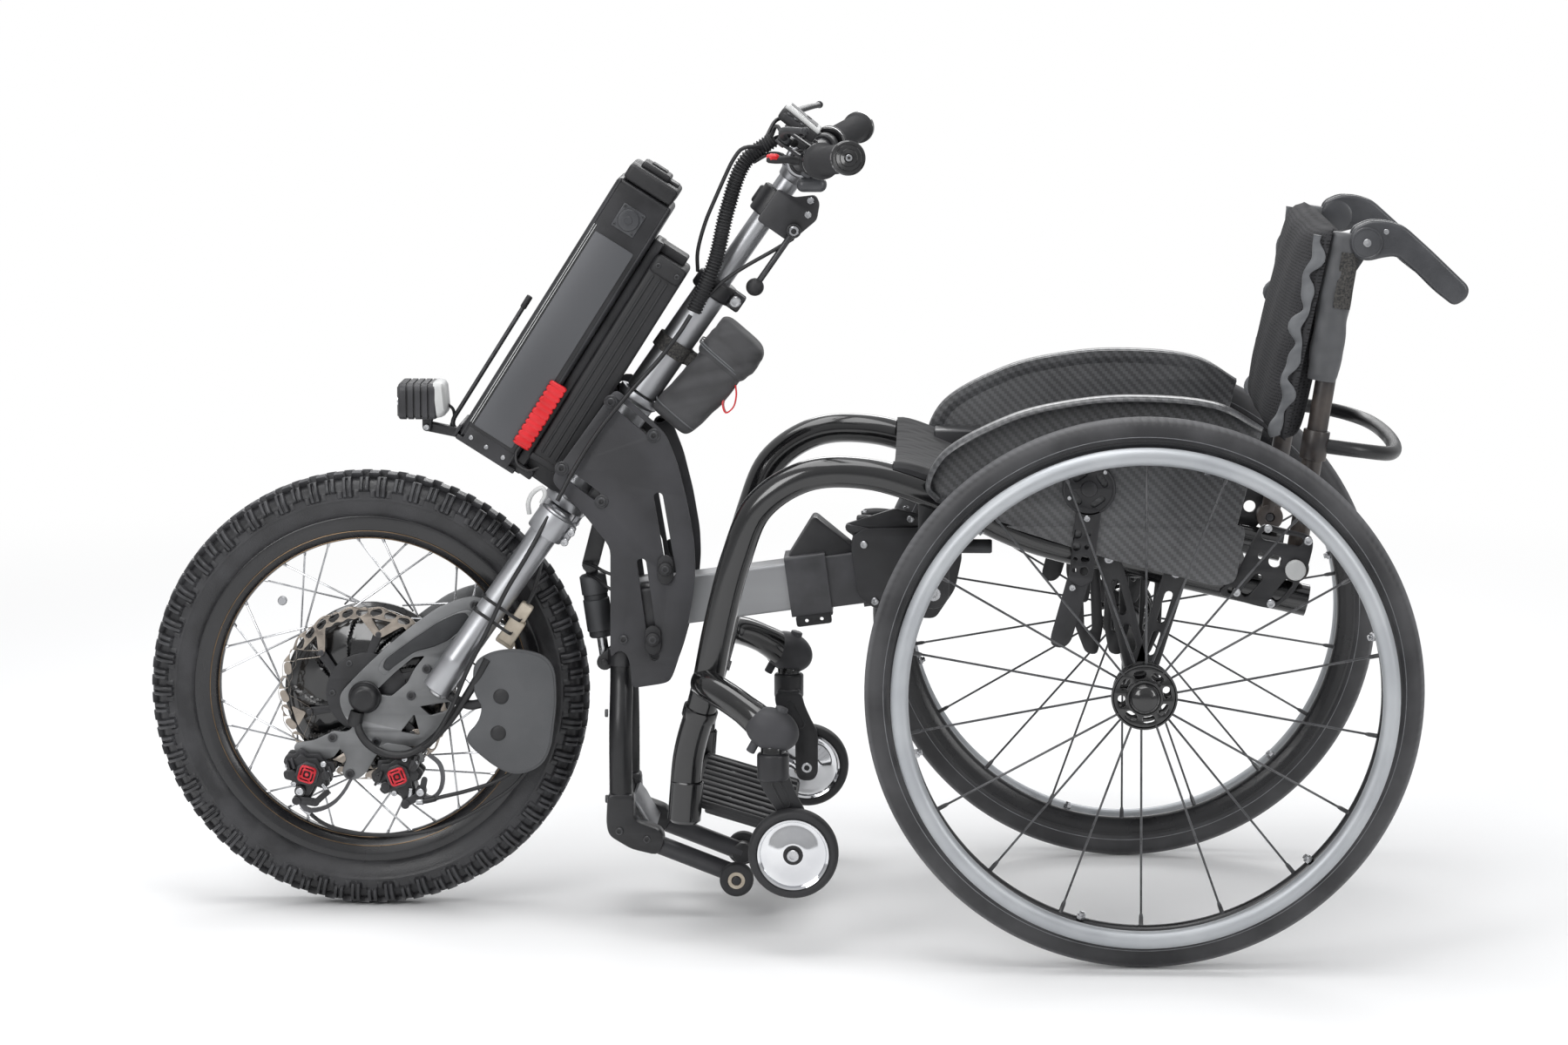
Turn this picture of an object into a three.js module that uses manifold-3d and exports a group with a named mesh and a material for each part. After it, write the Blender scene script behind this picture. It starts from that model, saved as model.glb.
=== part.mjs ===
import * as THREE from 'three';
import { mergeVertices } from 'three/addons/utils/BufferGeometryUtils.js';
import Module from 'manifold-3d';

// A rigid wheelchair docked onto an electric front drive unit.
// Millimetres: X runs rearward, Y to the vehicle's right, Z up.
// Places are measured from the point below the front axle, and the whole is centred at the end.

const wasm = await Module();
wasm.setup();

// Clearances and cuts
const gap = 0.3;
const overrun = 5;
const weld = 0.0001;

// Front wheel
const frontRadius = 249;
const frontTyreWidth = 54;
const frontTyreHeight = 48;
const knobHeight = 4.5;
const frontRimWidth = 34;
const frontRimDepth = 26;
const frontSpokeRadius = 1.2;
const frontSpokeFlange = 40;
const motorRadius = 95;
const motorShoulderRadius = 78;
const motorCoverRadius = 60;
const motorShoulderWidth = 44;
const motorWidth = 76;
const motorBossRadius = 30;
const rotorRadius = 100;
const rotorBandWidth = 17;
const rotorHubRadius = 33;
const rotorThickness = 2;
const rotorWave = 3;
const rotorSlotRadius = 3;
const axleRadius = 7;
const axleNutRadius = 14;
const axleNutHeight = 12;
const axleCapRadius = 17;
const axleCapHeight = 14;

// Steering line and fork, in the frame of the steering axis
const crownX = 223.5;
const crownZ = 463.6;
const forkLegRadius = 16;
const forkLegSpread = 132;
const forkLegDrop = 250;
const crownDrop = 6;
const crownHeight = 28;
const crownDepth = 38;
const steererRadius = 14;
const headTubeRadius = 22;
const headTubeLength = 150;
const plateThickness = 5.5;
const dropoutWidth = 215;
const dropoutHeight = 234;
const dropoutX = -65;
const dropoutZ = 128;
const caliperWidth = 55;
const caliperHeight = 48;
const caliperDepth = 30;
const caliperSlot = 5;
const caliperKnobRadius = 9;
const caliperKnobHeight = 6;
const caliperFrontX = -92;
const caliperRearX = 12;
const caliperZ = 134;
const caliperArmWidth = 12;
const motorGuardWidth = 103;
const motorGuardHeight = 147;
const motorGuardX = 117;
const motorGuardZ = 163;
const motorGuardThickness = 8;
const motorGuardOut = 84;
const motorGuardBoltRadius = 9;
const motorGuardBoltHeight = 3;
const motorGuardArmRadius = 6;
const forkLugLength = 48;
const forkLugWidth = 22;

// Stem, bar and controls, in the frame of the steering axis
const stemLowerRadius = 19;
const stemLowerLength = 145;
const stemUpperRadius = 12.7;
const stemTop = 452;
const collarRadius = 25;
const collarLength = 22;
const collarEarLength = 20;
const collarEarWidth = 26;
const barRadius = 11;
const barHeight = 468;
const barReach = 275;
const barStraight = 60;
const barSweep = 34;
const barLift = 48;
const barClampRadius = 20;
const barClampWidth = 46;
const gripRadius = 16;
const gripFlangeRadius = 20;
const gripFlangeLength = 6;
const gripLength = 125;
const perchOffset = 145;
const perchRadius = 15;
const perchLength = 18;
const perchReach = 42;
const perchEar = 3.2;
const perchWidth = 18;
const leverLength = 130;
const leverWidth = 11;
const leverThickness = 8;
const leverPivotRadius = 3;
const leverHubRadius = 8;
const leverCurve = 14;
const displayLength = 58;
const displayWidth = 74;
const displayThickness = 18;
const displayX = -13;
const displayHeight = 498;
const displayClampOffset = 31;
const displayClampWidth = 12;
const throttleLength = 36;
const throttleWidth = 12;
const throttleStand = 7;
const throttleThickness = 9;
const throttleHubRadius = 15;

const releasePlateLength = 46;
const releasePlateDepth = 50;
const releasePlateX = 20;
const releasePlateThickness = 8;
const releasePlateOut = 22;
const releaseClampRadius = 20;
const releaseClampHeight = 34;
const releaseHeight = 408;
const releasePivotX = 36;
const releasePivotDrop = 8;
const releaseLeverLength = 76;
const releaseLeverThickness = 8;
const releaseBoltRadius = 5;
const releaseBoltHeight = 3;
const releaseRodRadius = 5;
const releaseBallRadius = 10;
const releaseHubRadius = 8;
const releasePinRadius = 4;
const loomRadius = 9;
const loomRib = 1.6;
const loomBoreRadius = 5;
const loomTop = 470;
const loomFoot = 262;
const loomStand = 40;
const cableRadius = 2.5;
const bagLength = 122;
const bagDepth = 50;
const bagWidth = 64;
const bagX = 53;
const bagHeight = 213;
const bagFlapThickness = 4;
const bagFlapLength = 36;
const strapThickness = 3;
const strapHeight = 18;
const strapWidth = 30;

// Battery and its holder
const batteryLength = 340;
const batteryDepth = 70;
const batteryWidth = 92;
const batteryCorner = 9;
const batteryBack = 80;
const batteryLift = 2;
const batteryPanel = 1.5;
const batteryPanelLength = 268;
const batteryPanelDepth = 44;
const portSize = 34;
const portRadius = 13;
const portHeight = 2.5;
const batteryCapHeight = 20;
const batteryCapDepth = 60;
const batteryCapLatchLength = 34;
const batteryCapLatchHeight = 9;
const trayThickness = 6;
const trayRailLength = 190;
const trayRailWidth = 64;
const trayWedgeWidth = 40;
const trayWedgeHeight = 70;
const guideRodRadius = 2.5;
const guideRodLength = 170;
const guideRodStand = 14;
const controllerLength = 292;
const controllerDepth = 40;
const controllerWidth = 84;
const controllerCorner = 5;
const controllerX = -43;
const controllerZ = 168;
const controllerCapLength = 20;
const controllerCapOverhang = 3;
const headlightDepth = 50;
const headlightHeight = 42;
const headlightWidth = 62;
const headlightX = 38;
const headlightZ = 557;
const headlightFinDepth = 4;
const headlightFinWidth = 4;
const headlightPivotX = 68;
const headlightPivotZ = 548;
const headlightArmWidth = 10;
const headlightArmThickness = 12;
const headlightPinRadius = 2.5;
const headlightLugThickness = 4;

// Side plates and docking
const sidePlateWidth = 158;
const sidePlateHeight = 338;
const sidePlateX = 214.3;
const sidePlateZ = 260.1;
const sidePlateThickness = 6;
const sidePlateSpacing = 108;
const slotWidth = 10;
const slotBoltRadius = 8;
const slotBoltHeight = 4;
const knobPlateLength = 30;
const knobPlateRadius = 9;
const knobPlateHeight = 9;
const gussetDepth = 46;
const gussetLength = 92;
const gussetBase = 20;
const beamStartX = 300;
const beamStartZ = 346;
const beamLength = 300;
const beamHeight = 54;
const beamWidth = 44;
const beamWall = 3;
const beamBlockLength = 46;
const beamBlockHeight = 50;
const sleeveStart = 176;
const sleeveLength = 46;
const sleeveWall = 7;
const wedgeStart = 166;
const wedgeLength = 80;
const wedgeHeight = 42;
const wedgeWidth = 40;
const receiverX = 553;
const receiverZ = 338;
const receiverLength = 112;
const receiverHeight = 103;
const receiverWidth = 74;
const receiverHandleLength = 58;
const receiverHandleRadius = 6;
const receiverHandleStand = 9;
const receiverPinLength = 38;
const receiverPinRadius = 8;
const crossbarRadius = 14;
const crossbarX = 638;
const crossbarZ = 392;

// Parking stand and its drive
const standX = 288;
const standZ = 300;
const standSpread = 120;
const standNeckSpread = 80;
const standTubeRadius = 13;
const standBend = 190;
const standKick = 131;
const standFall = 252;
const standCrossRadius = 9;
const standPinRadius = 6;
const standRollerRadius = 19;
const standRollerWidth = 17;
const standAxleRadius = 5;
const actuatorTopX = 252;
const actuatorTopZ = 395;
const actuatorFootX = 268;
const actuatorFootZ = 284;
const actuatorRadius = 15;
const actuatorStart = 12;
const actuatorLength = 84;
const actuatorRodRadius = 6;
const actuatorPinRadius = 4;
const actuatorEyeRadius = 9;
const actuatorEyeWidth = 14;
const actuatorY = 16;
const actuatorCheek = 5;
const actuatorLeverWidth = 18;
const actuatorTravel = 8;

// Wheelchair frame
const frameX = 364;
const frameZ = 134;
const frameLength = 677;
const frameHeight = 388;
const frameFoot = 150;
const frameFlare = 42;
const frameTubeRadius = 17;
const camberTubeRadius = 16;
const axleArmWidth = 26;
const axleArmThickness = 8;
const axleArmHole = 5;
const axleArmSpread = 36;
const axleArmHoles = 3;
const hangerThickness = 9;
const hangerWidth = 34;
const castorArmRadius = 12;
const castorX = 466;
const castorY = 242;
const castorHeadZ = 227.5;
const castorHousingHeight = 38;
const castorHousingRadius = 17;
const castorStemRadius = 6;
const castorTrail = 22;
const castorAxleZ = 114;
const castorRadius = 49;
const castorWheelWidth = 24;
const castorForkThickness = 7;
const castorForkWidth = 28;
const castorForkHole = 5;
const castorHeadRadius = 17;
const castorHeadHeight = 16;
const castorHubRadius = 11;
const castorWebRadius = 36;
const castorWebWidth = 12;
const castorTyreEdge = 3;
const castorStemLength = 30;
const castorHoleRadius = 8.5;
const castorAxleRadius = 4;
const footplateLength = 116;
const footplateThickness = 7;
const footplateRib = 2.5;
// The frame's tubes lean outward above the foot, and the plate follows them.
const footplateTuck = 2.2;
const footplateRibWidth = 5;
const footplateX = 372;
const footplateZ = 146;
const slingStart = 592;
const slingEnd = 990;
const slingThickness = 9;
const slingSag = 20;
const slingSeat = 0.45;

// Side guards
const guardX = 629;
const guardZ = 405;
const guardWidth = 360;
const guardHeight = 209;
const guardThickness = 5;
const guardOut = 222;
const guardLip = 26;
const guardLipThickness = 5;
const guardDiscRadius = 28;
const guardDiscHeight = 5;
const guardDiscX = 804;
const guardDiscZ = 512;
const guardStripWidth = 26;
const guardStripLength = 100;
const guardStripHole = 5;
const guardStripHoles = 3;
const guardTongueLength = 72;
const guardTongueWidth = 20;
const guardPegRadius = 10;

// Backrest
const backX = 1027;
const backZ = 423;
const caneSpread = 376;
const caneRadius = 11;
const caneHeight = 325;
const caneLean = 49;
const caneEyeRadius = 15;
const backPinRadius = 5;
const backBracketX = 943.3;
const backBracketZ = 379.4;
const backBracketWidth = 102.6;
const backBracketHeight = 93.6;
const backBracketThickness = 6;
const backKnobRadius = 11;
const backKnobHeight = 7;
const stabiliserRadius = 8;
const stabiliserReach = 84;
const stabiliserLift = 134;
const stabiliserDrop = 14;
const stabiliserCorner = 38;
const upholsteryLow = 150;
const upholsteryHeight = 237;
const upholsteryFront = 36;
const upholsteryBack = 14;
const upholsteryTopBack = 4;
const upholsteryCrown = 12;
const upholsterySide = 15;
const handleX = 1082.2;
const handleZ = 708.8;
const handleLength = 125.6;
const handleHeight = 86.5;
const handleWidth = 28;
const handlePivotX = 1098;
const handlePivotZ = 774;
const handleTongueThickness = 9;
const handleTongueWidth = 17;
const handleSlotRadius = 25;
const handlePinRadius = 5;

// Rear wheels
const wheelbase = 862.8;
const rearRadius = 298;
const rearTrack = 556;
const rearTyreWidth = 26;
const rearTyreHeight = 26;
const rearRimWidth = 22;
const rearRimDepth = 20;
const rearSpokeRadius = 1.3;
const hubFlangeRadius = 35;
const hubFlangeThickness = 5;
const hubRadius = 15;
const hubLength = 52;
const hubCapRadius = 17;
const hubCapHeight = 10;
const hubHoleRadius = 4;
const rearAxleRadius = 6;
const rearAxleDepth = 34;
const pushrimRadius = 260;
const pushrimTubeRadius = 9.5;
const pushrimStand = 35;
const pushrimTabWidth = 14;
const pushrimTabThickness = 4;

// Angles, counts and proportions
const steeringLean = THREE.MathUtils.degToRad(34.8);
const batteryTurn = THREE.MathUtils.degToRad(-2.5);
const controllerTurn = THREE.MathUtils.degToRad(-9.5);
const beamRise = THREE.MathUtils.degToRad(7.9);
const footplateFall = THREE.MathUtils.degToRad(16.5);
const displayTilt = THREE.MathUtils.degToRad(-9.6);
const bagTurn = THREE.MathUtils.degToRad(8.5);
const wheelSides = 28;
const halfTurn = Math.PI;
const rearSides = 28;
const knobRows = 28;
const frontSpokes = 32;
const rearSpokes = 20;
const pushrimTabs = 6;
const rotorLobes = 12;
const rotorArms = 6;
const roundSides = 8;
const tubeSides = 10;
const spokeSides = 3;
const cordSides = 8;
const cableSides = 6;
const loomRibs = 14;
const footplateRibs = 9;
const headlightFins = 5;
const castorHoles = 5;
const standSteps = 8;
const castorArmSteps = 5;
const stabiliserSteps = 12;
const pushrimSides = 6;
const slotEndSteps = 2;
const frameSteps = 18;
const castorSides = 14;
const hubHoles = 6;

const tyreShares = [[0, -0.3], [0.4, -0.5], [0.7, -0.48], [0.93, -0.3], [1, -0.1], [1, 0.1]];
const treadShare = 0.6;
const knobPitchShare = 0.2;
const rearTyreShares = [[0, -0.42], [0.5, -0.48], [1, 0]];
const dropoutShares = [
  [0.21, 0.57], [0.3, 0.68], [0.49, 0.83], [0.69, 0.95], [0.87, 1], [1, 0.94], [0.95, 0.84],
  [0.78, 0.6], [0.74, 0.45], [0.66, 0.33], [0.58, 0.26], [0.48, 0.19], [0.36, 0.08], [0.22, 0],
  [0.1, 0.06], [0.02, 0.17], [0.04, 0.28], [0.13, 0.41],
];
const dropoutCutShares = [
  [[0.46, 0.42], [0.6, 0.5], [0.62, 0.36]],
  [[0.5, 0.62], [0.64, 0.72], [0.66, 0.56]],
  [[0.3, 0.3], [0.42, 0.33], [0.38, 0.2]],
];
const caliperShares = [
  [0, 0.62], [0.18, 0.95], [0.5, 1], [0.88, 0.94], [1, 0.6], [0.92, 0.2], [0.6, 0], [0.3, 0.06], [0.12, 0.3],
];
const motorGuardShares = [
  [0.094, 0.814], [0.29, 0.968], [0.571, 1], [0.872, 0.925], [1, 0.757], [0.964, 0.449],
  [0.863, 0.078], [0.667, 0], [0.451, 0.014], [0.128, 0.152], [0, 0.305], [0.045, 0.414], [0.12, 0.56],
];
const motorGuardBoltShares = [[0.39, 0.63], [0.36, 0.35]];
const sidePlateShares = [
  [0.441, 1], [0.637, 0.918], [0.792, 0.852], [0.875, 0.753], [0.945, 0.62], [0.993, 0.487], [1, 0.4],
  [0.985, 0.32], [0.942, 0.206], [0.87, 0.085], [0.828, 0.031], [0.785, 0.018], [0.543, 0],
  [0.541, 0.071], [0.509, 0.121], [0.445, 0.127], [0.395, 0.1], [0.4, 0.472], [0.21, 0.585], [0, 0.684], [0, 0.714],
];
const slotShares = [
  [[0.46, 0.945], [0.68, 0.86]],
  [[0.13, 0.705], [0.3, 0.645]],
  [[0.74, 0.64], [0.83, 0.39]],
  [[0.62, 0.42], [0.71, 0.11]],
];
const plateBoltShares = [[0.41, 0.955], [0.71, 0.845], [0.06, 0.735], [0.34, 0.625]];
const plateKnobShares = [[0.79, 0.4], [0.7, 0.165]];
const receiverShares = [
  [0, 0.04], [0, 0.92], [0.16, 1], [0.62, 0.98], [1, 0.66], [0.98, 0.24], [0.84, 0], [0.1, 0],
];
const frameShares = [
  [0, 0, 0], [0.008, 0, 0.18], [0.036, 0.34, 0.36], [0.059, 0.6, 0.557], [0.089, 0.83, 0.76],
  [0.125, 0.95, 0.905], [0.2, 1, 0.992], [0.297, 1, 1], [0.408, 1, 0.943], [0.555, 1, 0.827],
  [0.762, 1, 0.742], [1, 1, 0.65],
];
const guardShares = [
  [0.033, 0.44], [0, 0.51], [0.044, 0.69], [0.25, 0.895], [0.42, 0.97], [0.61, 1], [0.87, 0.957], [1, 0.833],
  [0.955, 0.33], [0.925, 0.03], [0.867, 0.014], [0.55, 0.15], [0.228, 0.325],
];
const guardCrestCount = 8;
const guardPegShares = [[0.31, 0.235], [0.915, 0.062]];
const backBracketShares = [
  [0.463, 1], [0.979, 0.86], [1, 0.751], [0.945, 0.487], [0.791, 0.178], [0.596, 0], [0.398, 0.043],
  [0, 0.172], [0.117, 0.327], [0.253, 0.526], [0.348, 0.769],
];
const handleShares = [
  [0, 0.751], [0.057, 0.925], [0.175, 1], [0.361, 1], [0.566, 0.853], [0.82, 0.55], [1, 0.24], [0.99, 0.09],
  [0.875, 0], [0.745, 0.161], [0.504, 0.407], [0.366, 0.58], [0.24, 0.58], [0.13, 0.559], [0.027, 0.64],
];
const seatAcrossShares = [-1, -0.88, -0.6, -0.3, 0, 0.3, 0.6, 0.88, 1];
const seatAlongCount = 9;
const backUpShares = [0, 0.06, 0.35, 0.66, 0.76, 0.94, 1];
const backAcrossShares = [-1, -0.8, -0.4, 0, 0.4, 0.8, 1];
const wedgeShares = [[0, 0], [0.5, 1], [1, 0.62], [0.82, 0]];
const castorForkShares = [[0, 0], [0.42, 0.48], [1, 1]];
const backSlotShares = [[[0.5, 0.86], [0.86, 0.78]], [[0.3, 0.2], [0.42, 0.36]], [[0.62, 0.14], [0.74, 0.3]]];
const loomRouteShares = [
  [0, -1, -0.4], [0.19, -1.3, -0.5], [0.45, -0.95, -0.65], [0.72, -0.4, -0.735], [1, -0.1, -0.795],
];

// Routes of the brake cables, point by point
const sideCablePoints = [
  [366.5, 677.5, -38.5], [356, 661, -46], [334, 632, -58], [300, 594, -66], [266, 552, -67.3], [238, 508, -69.3], [220, 474, -75.3],
];
const forkCablePoints = [
  [211, 458, -84], [188, 416, -89.6], [162, 372, -88.6], [142, 330, -88], [118, 282, -88], [98, 236, -86], [76, 202, -77],
  [60, 190, -66],
];

// Materials
function paint(color, roughness, metalness) {
  return new THREE.MeshStandardMaterial({ color, roughness, metalness });
}
const tyreRubber = paint(0x1c1c1d, 0.85, 0);
const gripRubber = paint(0x18181a, 0.75, 0);
const blackAnodised = paint(0x1b1b1d, 0.45, 0.6);
const blackPaint = paint(0x101012, 0.3, 0.3);
const satinPlate = paint(0x2a2b2e, 0.6, 0.3);
const greyAlloy = paint(0x85868a, 0.4, 0.8);
const darkAlloy = paint(0x3c3d40, 0.5, 0.7);
const polishedSteel = paint(0xb9bbbf, 0.25, 0.9);
const silverRim = paint(0xa8abb0, 0.35, 0.8);
const chromePlate = paint(0xd6d8db, 0.1, 1);
const blackPlastic = paint(0x1d1d1f, 0.5, 0);
const greyPlastic = paint(0x3a3b3d, 0.55, 0);
const cream = paint(0xbdb8a2, 0.6, 0);
const carbon = paint(0x242527, 0.35, 0.2);
const fabric = paint(0x2b2b2c, 0.95, 0);

const vehicle = new THREE.Group();
const mast = new THREE.Group();
mast.position.set(crownX, 0, crownZ);
mast.rotation.y = steeringLean;
vehicle.add(mast);

// Solids
function solid(geometry) {
  const bare = geometry.index ? geometry.toNonIndexed() : geometry.clone();
  bare.deleteAttribute('normal');
  bare.deleteAttribute('uv');
  const welded = mergeVertices(bare, weld);
  const at = welded.attributes.position;
  const corners = welded.index.array;
  const kept = [];
  const a = new THREE.Vector3();
  const b = new THREE.Vector3();
  const c = new THREE.Vector3();
  let volume = 0;
  for (let i = 0; i < corners.length; i += 3) {
    const [p, q, r] = [corners[i], corners[i + 1], corners[i + 2]];
    if (p !== q && q !== r && r !== p) {
      kept.push(p, q, r);
      a.fromBufferAttribute(at, p);
      b.fromBufferAttribute(at, q);
      c.fromBufferAttribute(at, r);
      volume += a.dot(b.cross(c));
    }
  }
  if (volume < 0) kept.reverse();
  return new wasm.Manifold(new wasm.Mesh({
    numProp: 3,
    vertProperties: new Float32Array(at.array),
    triVerts: new Uint32Array(kept),
  }));
}

function join(bodies) {
  return bodies.reduce((whole, body) => whole.add(body));
}

function cut(body, tools) {
  return tools.reduce((rest, tool) => rest.subtract(tool), body);
}

// The largest of the bodies a cut leaves, without its thin offcuts
function largest(body) {
  return body.decompose().sort((a, b) => b.volume() - a.volume())[0];
}

function meshOf(name, body, material, parent = vehicle) {
  const { vertProperties, triVerts } = body.getMesh();
  const geometry = new THREE.BufferGeometry();
  geometry.setAttribute('position', new THREE.BufferAttribute(vertProperties, 3));
  geometry.setIndex(new THREE.BufferAttribute(triVerts, 1));
  geometry.computeVertexNormals();
  const mesh = new THREE.Mesh(geometry, material);
  mesh.name = name;
  parent.add(mesh);
  return mesh;
}

// The left piece is modelled and the right one is its mirror image.
function pair(name, body, material, parent = vehicle, materialRight = material) {
  const left = meshOf(`${name}_left`, body, material, parent);
  const right = new THREE.Mesh(left.geometry, materialRight);
  right.name = `${name}_right`;
  right.position.copy(left.position);
  right.scale.y = -1;
  parent.add(right);
}

function at(x, y, z) {
  return new THREE.Vector3(x, y, z);
}

function mirrored(point) {
  return at(point.x, -point.y, point.z);
}

function rod(from, to, radius, sides = roundSides, endRadius = radius) {
  const run = to.clone().sub(from);
  const shape = new THREE.CylinderGeometry(endRadius, radius, run.length(), sides);
  shape.applyQuaternion(new THREE.Quaternion().setFromUnitVectors(at(0, 1, 0), run.clone().normalize()));
  shape.translate((from.x + to.x) / 2, (from.y + to.y) / 2, (from.z + to.z) / 2);
  return solid(shape);
}

function across(x, z, radius, yFrom, yTo, sides = roundSides) {
  return rod(at(x, yFrom, z), at(x, yTo, z), radius, sides);
}

// The radius of a cut in which a pin still turns although both have flat sides.
function boreFor(pin, sides = roundSides, room = gap) {
  return (pin + room) / Math.cos(halfTurn / sides);
}

function disc(radius, sides) {
  const outline = new THREE.Shape();
  for (let i = 0; i < sides; i += 1) {
    const turn = (i / sides) * halfTurn * 2;
    outline[i ? 'lineTo' : 'moveTo'](radius * Math.cos(turn), radius * Math.sin(turn));
  }
  outline.closePath();
  return outline;
}

function tube(points, radius, steps, sides = roundSides) {
  const path = new THREE.CatmullRomCurve3(points, false, 'centripetal');
  return solid(new THREE.ExtrudeGeometry(disc(radius, sides), { extrudePath: path, steps }));
}

function straight(points) {
  const outline = new THREE.Shape();
  points.forEach(([x, z], i) => outline[i ? 'lineTo' : 'moveTo'](x, z));
  outline.closePath();
  return outline;
}

function smooth(points) {
  const outline = new THREE.Shape();
  outline.moveTo(points[0][0], points[0][1]);
  outline.splineThru([...points.slice(1), points[0]].map(([x, z]) => new THREE.Vector2(x, z)));
  return outline;
}

function spread(shares, width, height, x, z) {
  return shares.map(([sx, sz]) => [x + sx * width, z + sz * height]);
}

// A plate lies in the X-Z plane between two depths of Y.
function plate(outline, yFrom, yTo, curveSegments = 1) {
  const shape = new THREE.ExtrudeGeometry(outline, { depth: yTo - yFrom, bevelEnabled: false, curveSegments });
  shape.rotateX(halfTurn / 2);
  shape.translate(0, yTo, 0);
  return solid(shape);
}

function block(x, y, z, sizeX, sizeY, sizeZ, turn = 0) {
  const shape = new THREE.BoxGeometry(sizeX, sizeY, sizeZ);
  shape.rotateY(turn);
  shape.translate(x, y, z);
  return solid(shape);
}

// A block with rounded upright edges.
function softBlock(x, y, z, sizeX, sizeY, sizeZ, corner, turn = 0) {
  const [hx, hy] = [sizeX / 2, sizeY / 2];
  const outline = new THREE.Shape();
  outline.moveTo(-hx + corner, -hy);
  outline.lineTo(hx - corner, -hy);
  outline.quadraticCurveTo(hx, -hy, hx, -hy + corner);
  outline.lineTo(hx, hy - corner);
  outline.quadraticCurveTo(hx, hy, hx - corner, hy);
  outline.lineTo(-hx + corner, hy);
  outline.quadraticCurveTo(-hx, hy, -hx, hy - corner);
  outline.lineTo(-hx, -hy + corner);
  outline.quadraticCurveTo(-hx, -hy, -hx + corner, -hy);
  const shape = new THREE.ExtrudeGeometry(outline, { depth: sizeZ, bevelEnabled: false, curveSegments: 3 });
  shape.translate(0, 0, -sizeZ / 2);
  shape.rotateY(turn);
  shape.translate(x, y, z);
  return solid(shape);
}

// A ring or a disc turned about the wheel's axis: radius and depth along Y.
function spin(profile, sides, x = 0, y = 0, z = 0) {
  const closed = profile[0][0] > 0 ? [...profile, profile[0]] : profile;
  const shape = new THREE.LatheGeometry(closed.map(([r, depth]) => new THREE.Vector2(r, depth)), sides);
  shape.translate(x, y, z);
  return solid(shape);
}

function bothWays(shares) {
  const [, lastSide] = shares[shares.length - 1];
  const back = shares.slice(0, lastSide === 0 ? -1 : -2).reverse().map(([s, side]) => [s, -side]);
  return [...shares, ...back];
}

// A plate with round ends between two places.
function slot([fromX, fromZ], [toX, toZ], width, yFrom, yTo) {
  const turn = Math.atan2(toZ - fromZ, toX - fromX);
  const outline = [];
  for (const [x, z, start] of [[toX, toZ, turn - halfTurn / 2], [fromX, fromZ, turn + halfTurn / 2]]) {
    for (let i = 0; i <= slotEndSteps; i += 1) {
      const way = start + (i / slotEndSteps) * halfTurn;
      outline.push([x + (width / 2) * Math.cos(way), z + (width / 2) * Math.sin(way)]);
    }
  }
  return plate(straight(outline), yFrom, yTo);
}

// Front wheel
const axleZ = frontRadius;
const beadRadius = frontRadius - frontTyreHeight - knobHeight;
const rimOuter = beadRadius - gap;
const rimInner = rimOuter - frontRimDepth;

// With this phase a knob of the middle row stands on the floor.
const tyrePhase = (knobPitchShare / 2 / (knobRows * 2)) * halfTurn * 2;

// The tyre's section goes round in steps, high on a knob and low between two.
function frontTyre() {
  const section = bothWays(tyreShares);
  const stations = knobRows * 2;
  const places = [];
  const faces = [];
  for (let i = 0; i < stations; i += 1) {
    const turn = ((i + (i % 2 ? knobPitchShare : -knobPitchShare) / 2) / stations) * halfTurn * 2 + tyrePhase;
    section.forEach(([height, side], k) => {
      const centre = Math.abs(k - (section.length - 1) / 2) < 1;
      const tread = height > treadShare;
      const high = (Math.floor(i / 2) + i + (centre ? 1 : 0)) % 2 === 0;
      const reach = beadRadius + height * frontTyreHeight + (tread && high ? knobHeight : 0);
      places.push(reach * Math.cos(turn), side * frontTyreWidth, reach * Math.sin(turn));
    });
  }
  for (let i = 0; i < stations; i += 1) {
    for (let k = 0; k < section.length; k += 1) {
      const [nextRing, nextPoint] = [(i + 1) % stations, (k + 1) % section.length];
      const [a, b] = [i * section.length + k, i * section.length + nextPoint];
      const [c, d] = [nextRing * section.length + k, nextRing * section.length + nextPoint];
      faces.push(a, b, d, a, d, c);
    }
  }
  const shape = new THREE.BufferGeometry();
  shape.setAttribute('position', new THREE.Float32BufferAttribute(places, 3));
  shape.setIndex(faces);
  return solid(shape);
}

function spokes(count, hub, hubHalf, rim, radius, cross) {
  const parts = [];
  for (let i = 0; i < count; i += 1) {
    const side = i % 2 ? 1 : -1;
    const turn = ((i + 0.5) / count) * halfTurn * 2;
    const lead = turn + (Math.floor(i / 2) % 2 ? cross : -cross);
    // crossing spokes leave the two faces of their flange
    const face = side * (hubHalf + (Math.floor(i / 2) % 2 ? radius : -radius) * 2);
    parts.push(rod(
      at(hub * Math.cos(lead), face, hub * Math.sin(lead)),
      at(rim * Math.cos(turn), 0, rim * Math.sin(turn)),
      radius, spokeSides,
    ));
  }
  return parts;
}

const frontRim = join([
  spin([
    [rimOuter, -frontRimWidth / 2], [rimOuter, frontRimWidth / 2],
    [rimInner, frontRimWidth / 4], [rimInner, -frontRimWidth / 4],
  ], wheelSides),
  ...spokes(frontSpokes, motorRadius + frontSpokeRadius + gap, frontSpokeFlange / 2, rimInner + frontRimDepth / 4,
    frontSpokeRadius, halfTurn * 0.19),
]);

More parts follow.
